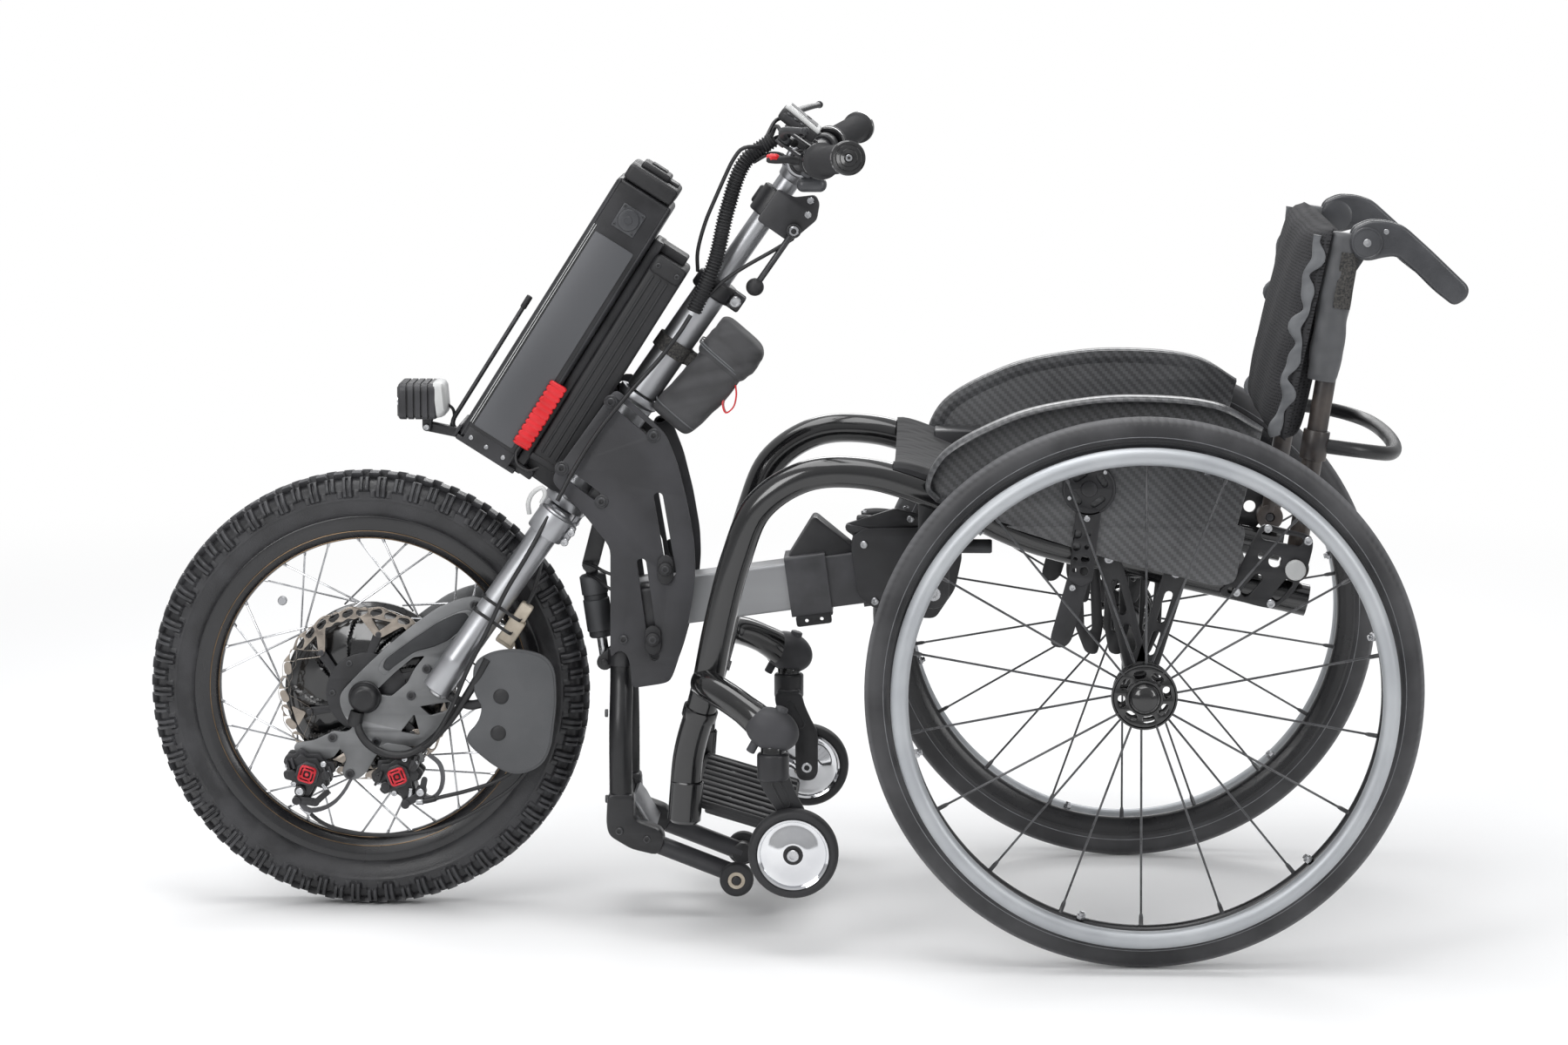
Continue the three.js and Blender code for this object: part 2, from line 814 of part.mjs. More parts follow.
const motorHalf = motorWidth / 2;
const hubMotor = cut(spin([
  [0, -motorHalf], [motorBossRadius, -motorHalf], [motorCoverRadius, -motorHalf + rotorThickness],
  [motorShoulderRadius, -motorShoulderWidth / 2], [motorRadius, -frontSpokeFlange / 2],
  [motorRadius, frontSpokeFlange / 2], [motorShoulderRadius, motorShoulderWidth / 2],
  [motorCoverRadius, motorHalf - rotorThickness], [motorBossRadius, motorHalf], [0, motorHalf],
], wheelSides), [across(0, 0, boreFor(axleRadius), -motorHalf - overrun, motorHalf + overrun)]);

function brakeRotor() {
  const outer = [];
  for (let i = 0; i < rotorLobes * 2; i += 1) {
    const turn = (i / (rotorLobes * 2)) * halfTurn * 2;
    const reach = rotorRadius - (i % 2 ? rotorWave : 0);
    outer.push([reach * Math.cos(turn), reach * Math.sin(turn)]);
  }
  const back = -motorHalf - gap;
  const front = back - rotorThickness;
  const tools = [across(0, 0, axleNutRadius + gap * 2, back - overrun, back + overrun)];
  const bandInner = rotorRadius - rotorBandWidth;
  for (let i = 0; i < rotorArms; i += 1) {
    const from = ((i + 0.12) / rotorArms) * halfTurn * 2;
    const to = ((i + 0.88) / rotorArms) * halfTurn * 2;
    const window = new THREE.Shape();
    window.absarc(0, 0, bandInner, from, to, false);
    window.absarc(0, 0, rotorHubRadius, to - halfTurn * 0.06, from + halfTurn * 0.06, true);
    tools.push(plate(window, front - overrun, back + overrun, 2));
  }
  for (let i = 0; i < rotorLobes; i += 1) {
    const turn = ((i + 0.5) / rotorLobes) * halfTurn * 2;
    const reach = rotorRadius - rotorBandWidth * 0.55;
    tools.push(across(reach * Math.cos(turn), reach * Math.sin(turn), rotorSlotRadius, back - overrun, back + overrun, 4));
  }
  return cut(plate(straight(outer), front, back), tools);
}

const wheelPieces = [
  ['front_tyre', frontTyre(), tyreRubber],
  ['front_rim', frontRim, blackAnodised],
  ['hub_motor', hubMotor, blackPaint],
  ['brake_rotor', brakeRotor(), polishedSteel],
];
for (const [name, body, material] of wheelPieces) {
  meshOf(name, body, material).position.z = axleZ;
}

// Fork ends: plate, axle and the two calipers
const plateOut = motorHalf + gap + rotorThickness + gap * 4;
const plateFace = plateOut + plateThickness;
const axleHalf = plateFace + gap;

const dropoutArea = [dropoutWidth, dropoutHeight, dropoutX, dropoutZ];
const dropoutBlank = plate(straight(spread(dropoutShares, ...dropoutArea)), -plateFace, -plateOut);
const dropout = cut(dropoutBlank, [
  across(0, axleZ, axleRadius + gap, -plateFace - overrun, -plateOut + overrun),
  ...dropoutCutShares.map((triangle) => (
    plate(straight(spread(triangle, ...dropoutArea)), -plateFace - overrun, -plateOut + overrun)
  )),
]);
pair('dropout_plate', dropout, greyAlloy);

meshOf('front_axle', join([
  across(0, axleZ, axleRadius, -axleHalf - axleCapHeight / 2, axleHalf + axleNutHeight / 2),
  spin([
    [0, -axleHalf - axleCapHeight], [axleCapRadius * 0.7, -axleHalf - axleCapHeight * 0.85],
    [axleCapRadius, -axleHalf - axleCapHeight * 0.3], [axleCapRadius, -axleHalf], [0, -axleHalf],
  ], roundSides, 0, 0, axleZ),
  across(0, axleZ, axleNutRadius, axleHalf, axleHalf + axleNutHeight, 6),
]), blackAnodised);

const rotorMiddle = motorHalf + gap + rotorThickness / 2;
function caliper(x) {
  const outline = smooth(spread(caliperShares, caliperWidth, caliperHeight, x, caliperZ));
  const face = rotorMiddle + caliperDepth / 2;
  const knobX = x + caliperWidth / 2;
  const knobZ = caliperZ + caliperHeight * 0.62;
  return cut(join([
    plate(outline, -face, -face + caliperDepth, 2),
    block(knobX, -face - caliperKnobHeight / 2, knobZ, caliperKnobRadius * 2, caliperKnobHeight, caliperKnobRadius * 2),
    across(knobX, knobZ, caliperKnobRadius * 0.6, -face - caliperKnobHeight * 1.5, -face),
    block(knobX, -face + caliperArmWidth, caliperZ, caliperArmWidth, caliperArmWidth, caliperHeight * 0.6),
  ]), [
    // the rotor's edge turns in this slot
    across(0, axleZ, rotorRadius + gap * 4, -rotorMiddle - caliperSlot / 2, -rotorMiddle + caliperSlot / 2, wheelSides),
    // the drop-out plate that carries the caliper lies here, with a clearance all round
    ...[[-gap, -gap], [gap, -gap], [-gap, gap], [gap, gap]].map(([shiftX, shiftZ]) => (
      plate(straight(spread(dropoutShares, dropoutWidth, dropoutHeight, dropoutX + shiftX, dropoutZ + shiftZ)),
        -plateFace - gap, -plateOut + gap)
    )),
    // and for the motor
    across(0, axleZ, motorRadius + gap * 6, -motorShoulderWidth, frontSpokeFlange, wheelSides),
  ]);
}
meshOf('caliper_front', caliper(caliperFrontX), blackAnodised);
meshOf('caliper_rear', caliper(caliperRearX), blackAnodised);

// Places on the vehicle in the frame of the steering axis, and back
const upright = at(0, 1, 0);
function onMast(x, z) {
  const local = at(x - crownX, 0, z - crownZ).applyAxisAngle(upright, -steeringLean);
  return [local.x, local.z];
}

function offMast(x, y, z) {
  return at(x, y, z).applyAxisAngle(upright, steeringLean).add(at(crownX, 0, crownZ));
}

function flipped(body) {
  const { vertProperties, triVerts } = body.getMesh();
  const geometry = new THREE.BufferGeometry();
  geometry.setAttribute('position', new THREE.BufferAttribute(vertProperties, 3));
  geometry.setIndex(new THREE.BufferAttribute(triVerts, 1));
  geometry.scale(1, -1, 1);
  return solid(geometry);
}

function bothSides(bodies) {
  const left = join(bodies);
  return left.add(flipped(left));
}

// Fork: two legs, the crown and the steerer, which turns inside the head tube
const legY = forkLegSpread / 2;
const crownTop = -crownDrop;
const crownMiddle = crownTop - crownHeight / 2;
const lugFace = plateFace + gap;
meshOf('fork', join([
  bothSides([
    rod(at(0, -legY, -forkLegDrop), at(0, -legY, crownMiddle), forkLegRadius, tubeSides),
    block(0, -(lugFace + legY) / 2, -forkLegDrop + forkLugLength / 2, forkLugWidth, legY - lugFace, forkLugLength),
    softBlock(0, -legY / 2, crownMiddle, crownDepth, legY + forkLegRadius, crownHeight, forkLegRadius / 2),
  ]),
  rod(at(0, 0, crownMiddle), at(0, 0, headTubeLength), steererRadius),
]), greyAlloy, mast);

const guardOutline = smooth(spread(motorGuardShares, motorGuardWidth, motorGuardHeight, motorGuardX, motorGuardZ));
const guardBolts = spread(motorGuardBoltShares, motorGuardWidth, motorGuardHeight, motorGuardX, motorGuardZ);
const guardFace = motorGuardOut + motorGuardThickness;
const guardArmZ = motorGuardZ + motorGuardHeight * 0.58;
meshOf('motor_guard', join([
  plate(guardOutline, -guardFace, -motorGuardOut, 2),
  rod(at(motorGuardX + motorGuardWidth * 0.2, -motorGuardOut - motorGuardThickness / 4, guardArmZ),
    offMast(0, -legY - forkLegRadius / 2, -forkLegDrop + forkLugLength / 3), motorGuardArmRadius),
  ...guardBolts.map(([x, z]) => across(x, z, motorGuardBoltRadius, -guardFace - motorGuardBoltHeight, -motorGuardOut)),
]).subtract(rod(offMast(0, -legY, -forkLegDrop - overrun), offMast(0, -legY, crownTop), forkLegRadius * 1.1)), greyPlastic);

// Stem: a wide lower tube, a thin upper one with its collar, and the clamp of the bar
const stemFoot = headTubeLength + gap;
const stemStep = stemFoot + stemLowerLength;
meshOf('stem', cut(join([
  rod(at(0, 0, stemFoot), at(0, 0, stemStep), stemLowerRadius),
  rod(at(0, 0, stemStep - overrun), at(0, 0, stemTop), stemUpperRadius),
  rod(at(0, 0, stemStep - collarLength / 2), at(0, 0, stemStep + collarLength / 2), collarRadius),
  block(collarRadius, 0, stemStep, collarEarLength, collarEarWidth, collarLength),
  across(0, barHeight, barClampRadius, -barClampWidth / 2, barClampWidth / 2),
]), [across(0, barHeight, barRadius + gap, -barClampWidth, barClampWidth)]), greyAlloy, mast);

// Handlebar: straight in the middle, then swept back and up to the grips
const barBend = at(0, -barStraight, barHeight);
const barEnd = at(barSweep, -barReach, barHeight + barLift);
const barOut = barEnd.clone().sub(barBend).normalize();
function barPoint(fromEnd) {
  return barEnd.clone().addScaledVector(barOut, -fromEnd);
}
function ahead(point, forward, up = 0) {
  return at(point.x - forward, point.y, point.z + up);
}
const perchAt = barPoint(perchOffset);
const pivotAt = ahead(perchAt, perchReach);
const leverHalf = leverThickness / 2;
// The upper ear stands higher, because the lever climbs outward with the grip.
const earLow = -leverHalf - gap - perchEar / 2;
const earHigh = leverHalf + gap * 10 + perchEar / 2;
const ears = [earLow, earHigh].map((z) => block(
  perchAt.x - (perchReach + leverHubRadius) / 2, perchAt.y, perchAt.z + z, perchReach + leverHubRadius, perchWidth, perchEar,
));
meshOf('handlebar', bothSides([
  rod(at(0, overrun, barHeight), at(0, -barStraight - barRadius / 4, barHeight), barRadius),
  rod(barPoint(barBend.distanceTo(barEnd) + barRadius / 4), barEnd, barRadius),
  rod(barPoint(perchOffset - perchLength / 2), barPoint(perchOffset + perchLength / 2), perchRadius),
  ...ears,
  rod(ahead(pivotAt, 0, earLow), ahead(pivotAt, 0, earHigh), leverPivotRadius, cableSides),
]), blackAnodised, mast);

const grip = cut(join([
  rod(barPoint(gripLength), barPoint(-overrun), gripRadius),
  rod(barPoint(gripLength), barPoint(gripLength - gripFlangeLength), gripFlangeRadius),
  rod(barPoint(gripFlangeLength - overrun), barPoint(-overrun), gripRadius + gripFlangeLength / 3),
]), [rod(barPoint(gripLength + overrun), barPoint(-gap), barRadius + gap)]);
pair('grip', grip, gripRubber, mast);

const leverTip = pivotAt.clone().addScaledVector(barOut, leverLength);
const lever = cut(join([
  rod(ahead(pivotAt, 0, -leverHalf), ahead(pivotAt, 0, leverHalf), leverHubRadius),
  tube([
    ahead(pivotAt.clone().addScaledVector(barOut, leverHubRadius / 2), leverWidth / 4),
    ahead(pivotAt.clone().addScaledVector(barOut, leverLength * 0.35), leverCurve),
    ahead(leverTip, leverCurve * 0.6),
  ], leverThickness / 2, 6, 6),
  solid(new THREE.SphereGeometry(leverWidth / 2, 6, 4).translate(leverTip.x - leverCurve * 0.6, leverTip.y, leverTip.z)),
]), [rod(ahead(pivotAt, 0, -overrun * 2), ahead(pivotAt, 0, overrun * 2), boreFor(leverPivotRadius, cableSides), cableSides)]);
pair('brake_lever', lever, polishedSteel, mast);

// Display above the bar, held by two rings, and the thumb lever on the left
const ringHalf = displayClampWidth / 2;
meshOf('display', cut(join([
  block(displayX, 0, displayHeight, displayLength, displayWidth, displayThickness, displayTilt),
  bothSides([
    across(0, barHeight, perchRadius, -displayClampOffset - ringHalf, -displayClampOffset + ringHalf),
    block(0, -displayClampOffset, (displayHeight + barHeight) / 2, barRadius, displayClampWidth, displayHeight - barHeight),
  ]),
]), [across(0, barHeight, barRadius + gap, -displayWidth, displayWidth)]), blackPlastic, mast);

const throttleOffset = perchOffset + (perchLength + throttleWidth) / 2 + throttleStand;
const throttleAt = barPoint(throttleOffset);
const paddle = new THREE.Vector3(-1, 0, -0.6).normalize();
meshOf('throttle_lever', cut(join([
  rod(barPoint(throttleOffset + throttleWidth / 2), barPoint(throttleOffset - throttleWidth / 2), throttleHubRadius),
  rod(throttleAt.clone().addScaledVector(paddle, barRadius + gap * 2),
    throttleAt.clone().addScaledVector(paddle, throttleHubRadius + throttleLength), throttleThickness / 2, cableSides),
]), [rod(barPoint(throttleOffset + throttleWidth), barPoint(throttleOffset - throttleWidth), boreFor(barRadius, roundSides, gap / 4))]),
paint(0x9c1c1c, 0.5, 0), mast);

// Release lever: a clamped plate on the stem and a lever with a ball on its end
const plateIn = releasePlateOut;
const releaseFace = plateIn + releasePlateThickness;
const releasePivotZ = releaseHeight - releasePivotDrop;
const releaseOut = releaseFace + gap + releaseLeverThickness;
meshOf('release_bracket', cut(join([
  rod(at(0, 0, releaseHeight - releaseClampHeight / 2), at(0, 0, releaseHeight + releaseClampHeight / 2), releaseClampRadius),
  block(releasePlateX, -(releaseFace + plateIn) / 2, releaseHeight, releasePlateDepth, releasePlateThickness, releasePlateLength),
  block(releasePlateX / 2, -plateIn / 2 - gap, releaseHeight, releasePlateX, plateIn, releaseClampHeight / 2),
  across(releasePivotX, releasePivotZ, releasePinRadius, -releaseOut - releaseBoltHeight, -plateIn),
  across(releasePivotX - releasePlateDepth / 3, releasePivotZ + releasePlateLength / 3, releaseBoltRadius,
    -releaseFace - releaseBoltHeight, -plateIn),
]), [rod(at(0, 0, releaseHeight - releaseClampHeight), at(0, 0, releaseHeight + releaseClampHeight), stemUpperRadius + gap)]),
blackAnodised, mast);

const ballAt = at(releasePivotX, -releaseFace - gap - releaseLeverThickness / 2, releasePivotZ - releaseLeverLength);
meshOf('release_lever', cut(join([
  across(releasePivotX, releasePivotZ, releaseHubRadius, -releaseOut, -releaseFace - gap),
  rod(at(releasePivotX, ballAt.y, releasePivotZ), ballAt, releaseRodRadius - gap * 4, cableSides, releaseRodRadius - gap * 4),
  solid(new THREE.SphereGeometry(releaseBallRadius, cableSides, 6).translate(ballAt.x, ballAt.y, ballAt.z)),
]), [
  across(releasePivotX, releasePivotZ, boreFor(releasePinRadius), -releaseOut - overrun, -releaseFace + overrun),
]), blackPlastic, mast);

// Ribbed loom down the stem: rings of alternating radius outside, a plain bore inside
function hose(points, radius, rib, bore, ribs, sides) {
  const path = new THREE.CatmullRomCurve3(points, false, 'centripetal');
  const steps = ribs * 2;
  const frames = path.computeFrenetFrames(steps, false);
  const places = [];
  const faces = [];
  const rings = [];
  function ring(step, reach) {
    const middle = path.getPointAt(step / steps);
    const first = places.length / 3;
    for (let i = 0; i < sides; i += 1) {
      const turn = (i / sides) * halfTurn * 2;
      const place = middle.clone()
        .addScaledVector(frames.normals[step], reach * Math.cos(turn))
        .addScaledVector(frames.binormals[step], reach * Math.sin(turn));
      places.push(place.x, place.y, place.z);
    }
    rings.push(first);
  }
  for (let step = 0; step <= steps; step += 1) ring(step, step % 2 ? radius - rib : radius);
  for (let step = steps; step >= 0; step -= 4) ring(step, bore);
  rings.push(rings[0]);
  for (let i = 1; i < rings.length; i += 1) {
    for (let side = 0; side < sides; side += 1) {
      const next = (side + 1) % sides;
      const [a, b, c, d] = [rings[i - 1] + side, rings[i - 1] + next, rings[i] + side, rings[i] + next];
      faces.push(a, b, d, a, d, c);
    }
  }
  const shape = new THREE.BufferGeometry();
  shape.setAttribute('position', new THREE.Float32BufferAttribute(places, 3));
  shape.setIndex(faces);
  return solid(shape);
}
const loomPoints = loomRouteShares.map(([down, forward, side]) => (
  at(forward * loomStand, side * loomStand, loomTop - down * (loomTop - loomFoot))
));
meshOf('cable_loom', hose(loomPoints, loomRadius, loomRib, loomBoreRadius, loomRibs, cordSides), blackPlastic, mast);

function cable(points) {
  return tube(points.map(([x, z, y]) => at(x, y, z)), cableRadius, points.length * 2, cableSides);
}
meshOf('side_cable', cable(sideCablePoints), blackPlastic);
meshOf('fork_cable', cable(forkCablePoints), blackPlastic);

// Tool bag strapped to the lower stem
const strapOuter = stemLowerRadius + gap + strapThickness;
meshOf('tool_bag', cut(join([
  softBlock(bagX, 0, bagHeight, bagDepth, bagWidth, bagLength, bagDepth / 4, bagTurn),
  softBlock(bagX + Math.sin(bagTurn) * (bagLength - bagFlapLength) / 2, 0, bagHeight + (bagLength - bagFlapLength) / 2,
    bagDepth + bagFlapThickness * 2, bagWidth + bagFlapThickness * 2, bagFlapLength, bagDepth / 4, bagTurn),
  rod(at(0, 0, bagHeight - strapHeight / 2), at(0, 0, bagHeight + strapHeight / 2), strapOuter),
  block((bagX + strapOuter) / 2 - bagDepth / 4, 0, bagHeight, bagX - strapOuter + bagDepth / 3, strapWidth, strapHeight),
]), [rod(at(0, 0, stemFoot - overrun), at(0, 0, stemStep), stemLowerRadius + gap)]), fabric, mast);

// Head tube with the block that the side plates are bolted to
const plateRoom = sidePlateSpacing / 2 - gap;
const drivePin = onMast(actuatorTopX, actuatorTopZ);
const gussetMiddle = steererRadius + gussetDepth / 2;
const cheekIn = actuatorEyeWidth / 2 + gap;
const driveCheeks = [-1, 1].map((side) => {
  const middle = -actuatorY + side * (cheekIn + actuatorCheek / 2);
  return slot([gussetMiddle, gussetBase + actuatorEyeRadius], drivePin, actuatorEyeRadius * 2,
    middle - actuatorCheek / 2, middle + actuatorCheek / 2);
});
meshOf('head_tube', join([
  rod(at(0, 0, crownTop + gap), at(0, 0, headTubeLength), headTubeRadius),
  block(gussetMiddle, 0, gussetBase + gussetLength / 2, gussetDepth, plateRoom * 2, gussetLength),
  ...driveCheeks,
  across(drivePin[0], drivePin[1], actuatorPinRadius, -actuatorY - cheekIn - actuatorCheek, -actuatorY + cheekIn, cableSides),
]).subtract(rod(at(0, 0, crownTop - overrun), at(0, 0, headTubeLength + overrun), boreFor(steererRadius))), greyAlloy, mast);

// Side plates
const plateInner = -sidePlateSpacing / 2;
const plateOuter = plateInner - sidePlateThickness;
const sidePlateArea = [sidePlateWidth, sidePlateHeight, sidePlateX, sidePlateZ];
const plateTools = slotShares.map((ends) => {
  const [from, to] = spread(ends, ...sidePlateArea);
  return slot(from, to, slotWidth, plateOuter - overrun, plateInner + overrun);
});
const plateFixings = spread(plateBoltShares, ...sidePlateArea).map(([x, z]) => (
  across(x, z, slotBoltRadius, plateOuter - slotBoltHeight, plateInner, cableSides)
));
const plateKnobs = spread(plateKnobShares, ...sidePlateArea).map(([x, z]) => (
  slot([x, z - knobPlateLength / 4], [x, z + knobPlateLength / 4], knobPlateRadius * 2, plateOuter - knobPlateHeight, plateInner)
));
pair('side_plate', join([
  cut(plate(straight(spread(sidePlateShares, ...sidePlateArea)), plateOuter, plateInner), plateTools),
  ...plateFixings,
  ...plateKnobs,
]), satinPlate);

// Docking beam, the sleeve with its guide wedge, and the receiver on the chair
const beamAlong = at(Math.cos(beamRise), 0, Math.sin(beamRise));
const beamUp = at(-Math.sin(beamRise), 0, Math.cos(beamRise));
function onBeam(along, up) {
  return at(beamStartX, 0, beamStartZ).addScaledVector(beamAlong, along).addScaledVector(beamUp, up);
}
function beamBlock(from, to, width, height, up = 0) {
  const middle = onBeam((from + to) / 2, up);
  return block(middle.x, middle.y, middle.z, to - from, width, height, -beamRise);
}
meshOf('docking_beam', join([
  beamBlock(0, beamLength, beamWidth, beamHeight),
  beamBlock(0, beamBlockLength, plateRoom * 2, beamBlockHeight),
]).subtract(beamBlock(beamBlockLength, beamLength + overrun, beamWidth - beamWall * 2, beamHeight - beamWall * 2)),
greyAlloy);

const sleeveTop = beamHeight / 2 + gap + sleeveWall;
const wedgeOutline = spread(wedgeShares, wedgeLength, wedgeHeight, wedgeStart, sleeveTop - gap).map(([along, up]) => {
  const place = onBeam(along, up);
  return [place.x, place.z];
});
meshOf('beam_bracket', join([
  beamBlock(sleeveStart, sleeveStart + sleeveLength, beamWidth + (gap + sleeveWall) * 2, sleeveTop * 2),
  plate(straight(wedgeOutline), -wedgeWidth / 2, wedgeWidth / 2),
]).subtract(beamBlock(0, beamLength, beamWidth + gap * 2, beamHeight + gap * 2)), blackAnodised);

const receiverHalf = receiverWidth / 2;
const handleBase = receiverZ + receiverHeight;
const handleTop = handleBase + receiverHandleStand;
meshOf('dock_receiver', cut(join([
  plate(straight(spread(receiverShares, receiverLength, receiverHeight, receiverX, receiverZ)), -receiverHalf, receiverHalf),
  rod(at(receiverX, 0, handleTop), at(receiverX + receiverHandleLength, 0, handleTop), receiverHandleRadius),
  rod(at(receiverX + receiverHandleLength * 0.6, 0, handleTop), at(receiverX + receiverHandleLength * 0.6, 0,
    handleBase - overrun), receiverHandleRadius),
  rod(at(crossbarX, 0, crossbarZ + crossbarRadius * 1.6), at(receiverX + receiverLength + receiverPinLength, 0,
    crossbarZ + crossbarRadius * 1.6), receiverPinRadius),
]), [
  beamBlock(0, beamLength + gap, beamWidth + gap * 2, beamHeight + gap * 2),
  across(crossbarX, crossbarZ, crossbarRadius + gap, -receiverWidth, receiverWidth),
]), blackAnodised);

// Battery on its tray, and the controller box between it and the head tube
const batteryMiddle = at(-batteryBack - batteryDepth / 2, 0, batteryLift + batteryLength / 2);
function onPack(x, y, z) {
  return at(x, y, z).applyAxisAngle(upright, batteryTurn).add(batteryMiddle);
}
function packBlock(x, y, z, sizeX, sizeY, sizeZ) {
  const middle = onPack(x, y, z);
  return block(middle.x, middle.y, middle.z, sizeX, sizeY, sizeZ, batteryTurn);
}
const halfLength = batteryLength / 2;
const halfDepth = batteryDepth / 2;
const portAt = halfLength - portSize;
const portPlate = onPack(0, 0, portAt);
meshOf('battery_case', join([
  softBlock(batteryMiddle.x, 0, batteryMiddle.z, batteryDepth, batteryWidth, batteryLength, batteryCorner, batteryTurn),
  packBlock(0, 0, -portSize / 2, batteryPanelDepth, batteryWidth + batteryPanel * 2, batteryPanelLength),
  packBlock(0, -batteryWidth / 4, portAt, portSize, batteryWidth / 2 + batteryPanel * 2, portSize),
  across(portPlate.x, portPlate.z, portRadius, -batteryWidth / 2 - batteryPanel - portHeight, 0),
]), blackAnodised, mast);

meshOf('battery_cap', join([
  packBlock(0, 0, halfLength + gap + batteryCapHeight / 2, batteryCapDepth, batteryWidth, batteryCapHeight),
  packBlock(0, 0, halfLength + batteryCapHeight + batteryCapLatchHeight / 2, batteryCapLatchLength, batteryWidth / 2,
    batteryCapLatchHeight),
]), blackPlastic, mast);

function controllerBox(extra) {
  return block(controllerX, 0, controllerZ, controllerDepth + extra, controllerWidth + extra, controllerLength + extra,
    controllerTurn);
}
const capRise = (controllerLength - controllerCapLength) / 2;
const headRoom = rod(at(0, 0, crownTop - overrun), at(0, 0, controllerLength), headTubeRadius + gap);
meshOf('controller_box', cut(join([
  softBlock(controllerX, 0, controllerZ, controllerDepth, controllerWidth, controllerLength, controllerCorner, controllerTurn),
  softBlock(controllerX + Math.sin(controllerTurn) * capRise, 0, controllerZ + Math.cos(controllerTurn) * capRise,
    controllerDepth, controllerWidth + controllerCapOverhang * 2, controllerCapLength, controllerCorner, controllerTurn),
]), [
  headRoom,
  packBlock(0, 0, 0, batteryDepth + gap * 2, batteryWidth * 2, batteryLength * 2),
]), blackPaint, mast);

const headlightPin = onMast(headlightPivotX, headlightPivotZ);
const trayZ = -halfLength - gap - trayThickness / 2;
const trayFront = onPack(-halfDepth + trayThickness, 0, trayZ);
const rodX = -halfDepth - guideRodStand;
meshOf('battery_tray', largest(cut(join([
  packBlock(trayThickness / 2, 0, trayZ, batteryDepth + trayThickness, batteryWidth, trayThickness),
  packBlock(halfDepth + gap + trayThickness / 2, 0, (trayRailLength - batteryLength) / 2 - trayThickness, trayThickness, trayRailWidth,
    trayRailLength),
  block(-batteryBack / 2, 0, trayWedgeHeight / 2, batteryBack, trayWedgeWidth, trayWedgeHeight),
  slot([trayFront.x, trayFront.z], headlightPin, headlightArmWidth, -headlightArmThickness / 2, headlightArmThickness / 2),
  packBlock(rodX + guideRodStand, 0, trayZ, guideRodStand * 2 + guideRodRadius * 2, headlightArmThickness, trayThickness),
  packBlock(rodX, 0, trayZ + guideRodLength / 2, guideRodRadius * 2, guideRodRadius * 2, guideRodLength),
]), [
  packBlock(0, 0, 0, batteryDepth + gap * 2, batteryWidth + trayThickness, batteryLength + gap * 2),
  controllerBox(gap * 2),
  headRoom,
  block(0, 0, crownTop - overrun, batteryBack, batteryWidth, overrun * 2 - gap * 2),
  across(headlightPin[0], headlightPin[1], boreFor(headlightPinRadius, cableSides), -batteryWidth, batteryWidth, cableSides),
])), blackAnodised, mast);

// Headlight, which tilts on a pin at the front of the tray
const lightX = headlightX + headlightDepth / 2;
const lightZ = headlightZ + headlightHeight / 2;
const lightFins = [];
for (let i = 0; i < headlightFins; i += 1) {
  const x = headlightX + headlightFinWidth / 2 + (i / (headlightFins - 1)) * (headlightDepth - headlightFinWidth);
  lightFins.push(block(x, 0, lightZ, headlightFinWidth, headlightWidth, headlightHeight));
}
const lugY = headlightArmThickness / 2 + gap + headlightLugThickness / 2;
const lugTop = headlightZ + headlightFinDepth + headlightPinRadius;
meshOf('headlight', join([
  block(lightX, 0, lightZ, headlightDepth, headlightWidth - headlightFinDepth * 2, headlightHeight - headlightFinDepth * 2),
  ...lightFins,
  bothSides([
    slot([headlightPivotX, headlightPivotZ], [headlightPivotX, lugTop], headlightArmWidth,
      -lugY - headlightLugThickness / 2, -lugY + headlightLugThickness / 2),
  ]),
  across(headlightPivotX, headlightPivotZ, headlightPinRadius, -lugY, lugY, cableSides),
]), blackAnodised);

// Parking stand: two legs on pins through the side plates, with a cross tube and a lever for its drive
const standY = standSpread / 2;
const rollerX = standX + standKick;
const rollerZ = standZ - standFall;
const rollerIn = standY + standTubeRadius + gap;
const standPinEnd = plateInner - gap;
const neckY = standNeckSpread / 2;
const leverCheeks = [-1, 1].map((side) => {
  const middle = -actuatorY + side * (cheekIn + actuatorCheek / 2);
  return slot([standX, standZ], [actuatorFootX, actuatorFootZ], actuatorLeverWidth,
    middle - actuatorCheek / 2, middle + actuatorCheek / 2);
});
meshOf('stand_frame', join([
  bothSides([
    tube([
      at(standX, -neckY, standZ), at(standX, -neckY, standZ - standBend * 0.2), at(standX, -standY, standZ - standBend * 0.5),
      at(standX, -standY, standZ - standBend * 0.86), at(standX + standKick * 0.16, -standY, standZ - standFall * 0.84),
      at(standX + standKick * 0.5, -standY, standZ - standFall * 0.92), at(rollerX, -standY, rollerZ),
    ], standTubeRadius, standSteps, roundSides),
    across(rollerX, rollerZ, standAxleRadius, -rollerIn - standRollerWidth - gap * 4, -standY),
  ]),
  across(standX, standZ, standCrossRadius, -plateRoom, plateRoom),
  across(standX, standZ - standBend * 0.9, standCrossRadius, -standY, standY),
  ...leverCheeks,
  across(actuatorFootX, actuatorFootZ, actuatorPinRadius, -actuatorY - cheekIn - actuatorCheek, -actuatorY + cheekIn, cableSides),
]), blackPaint);

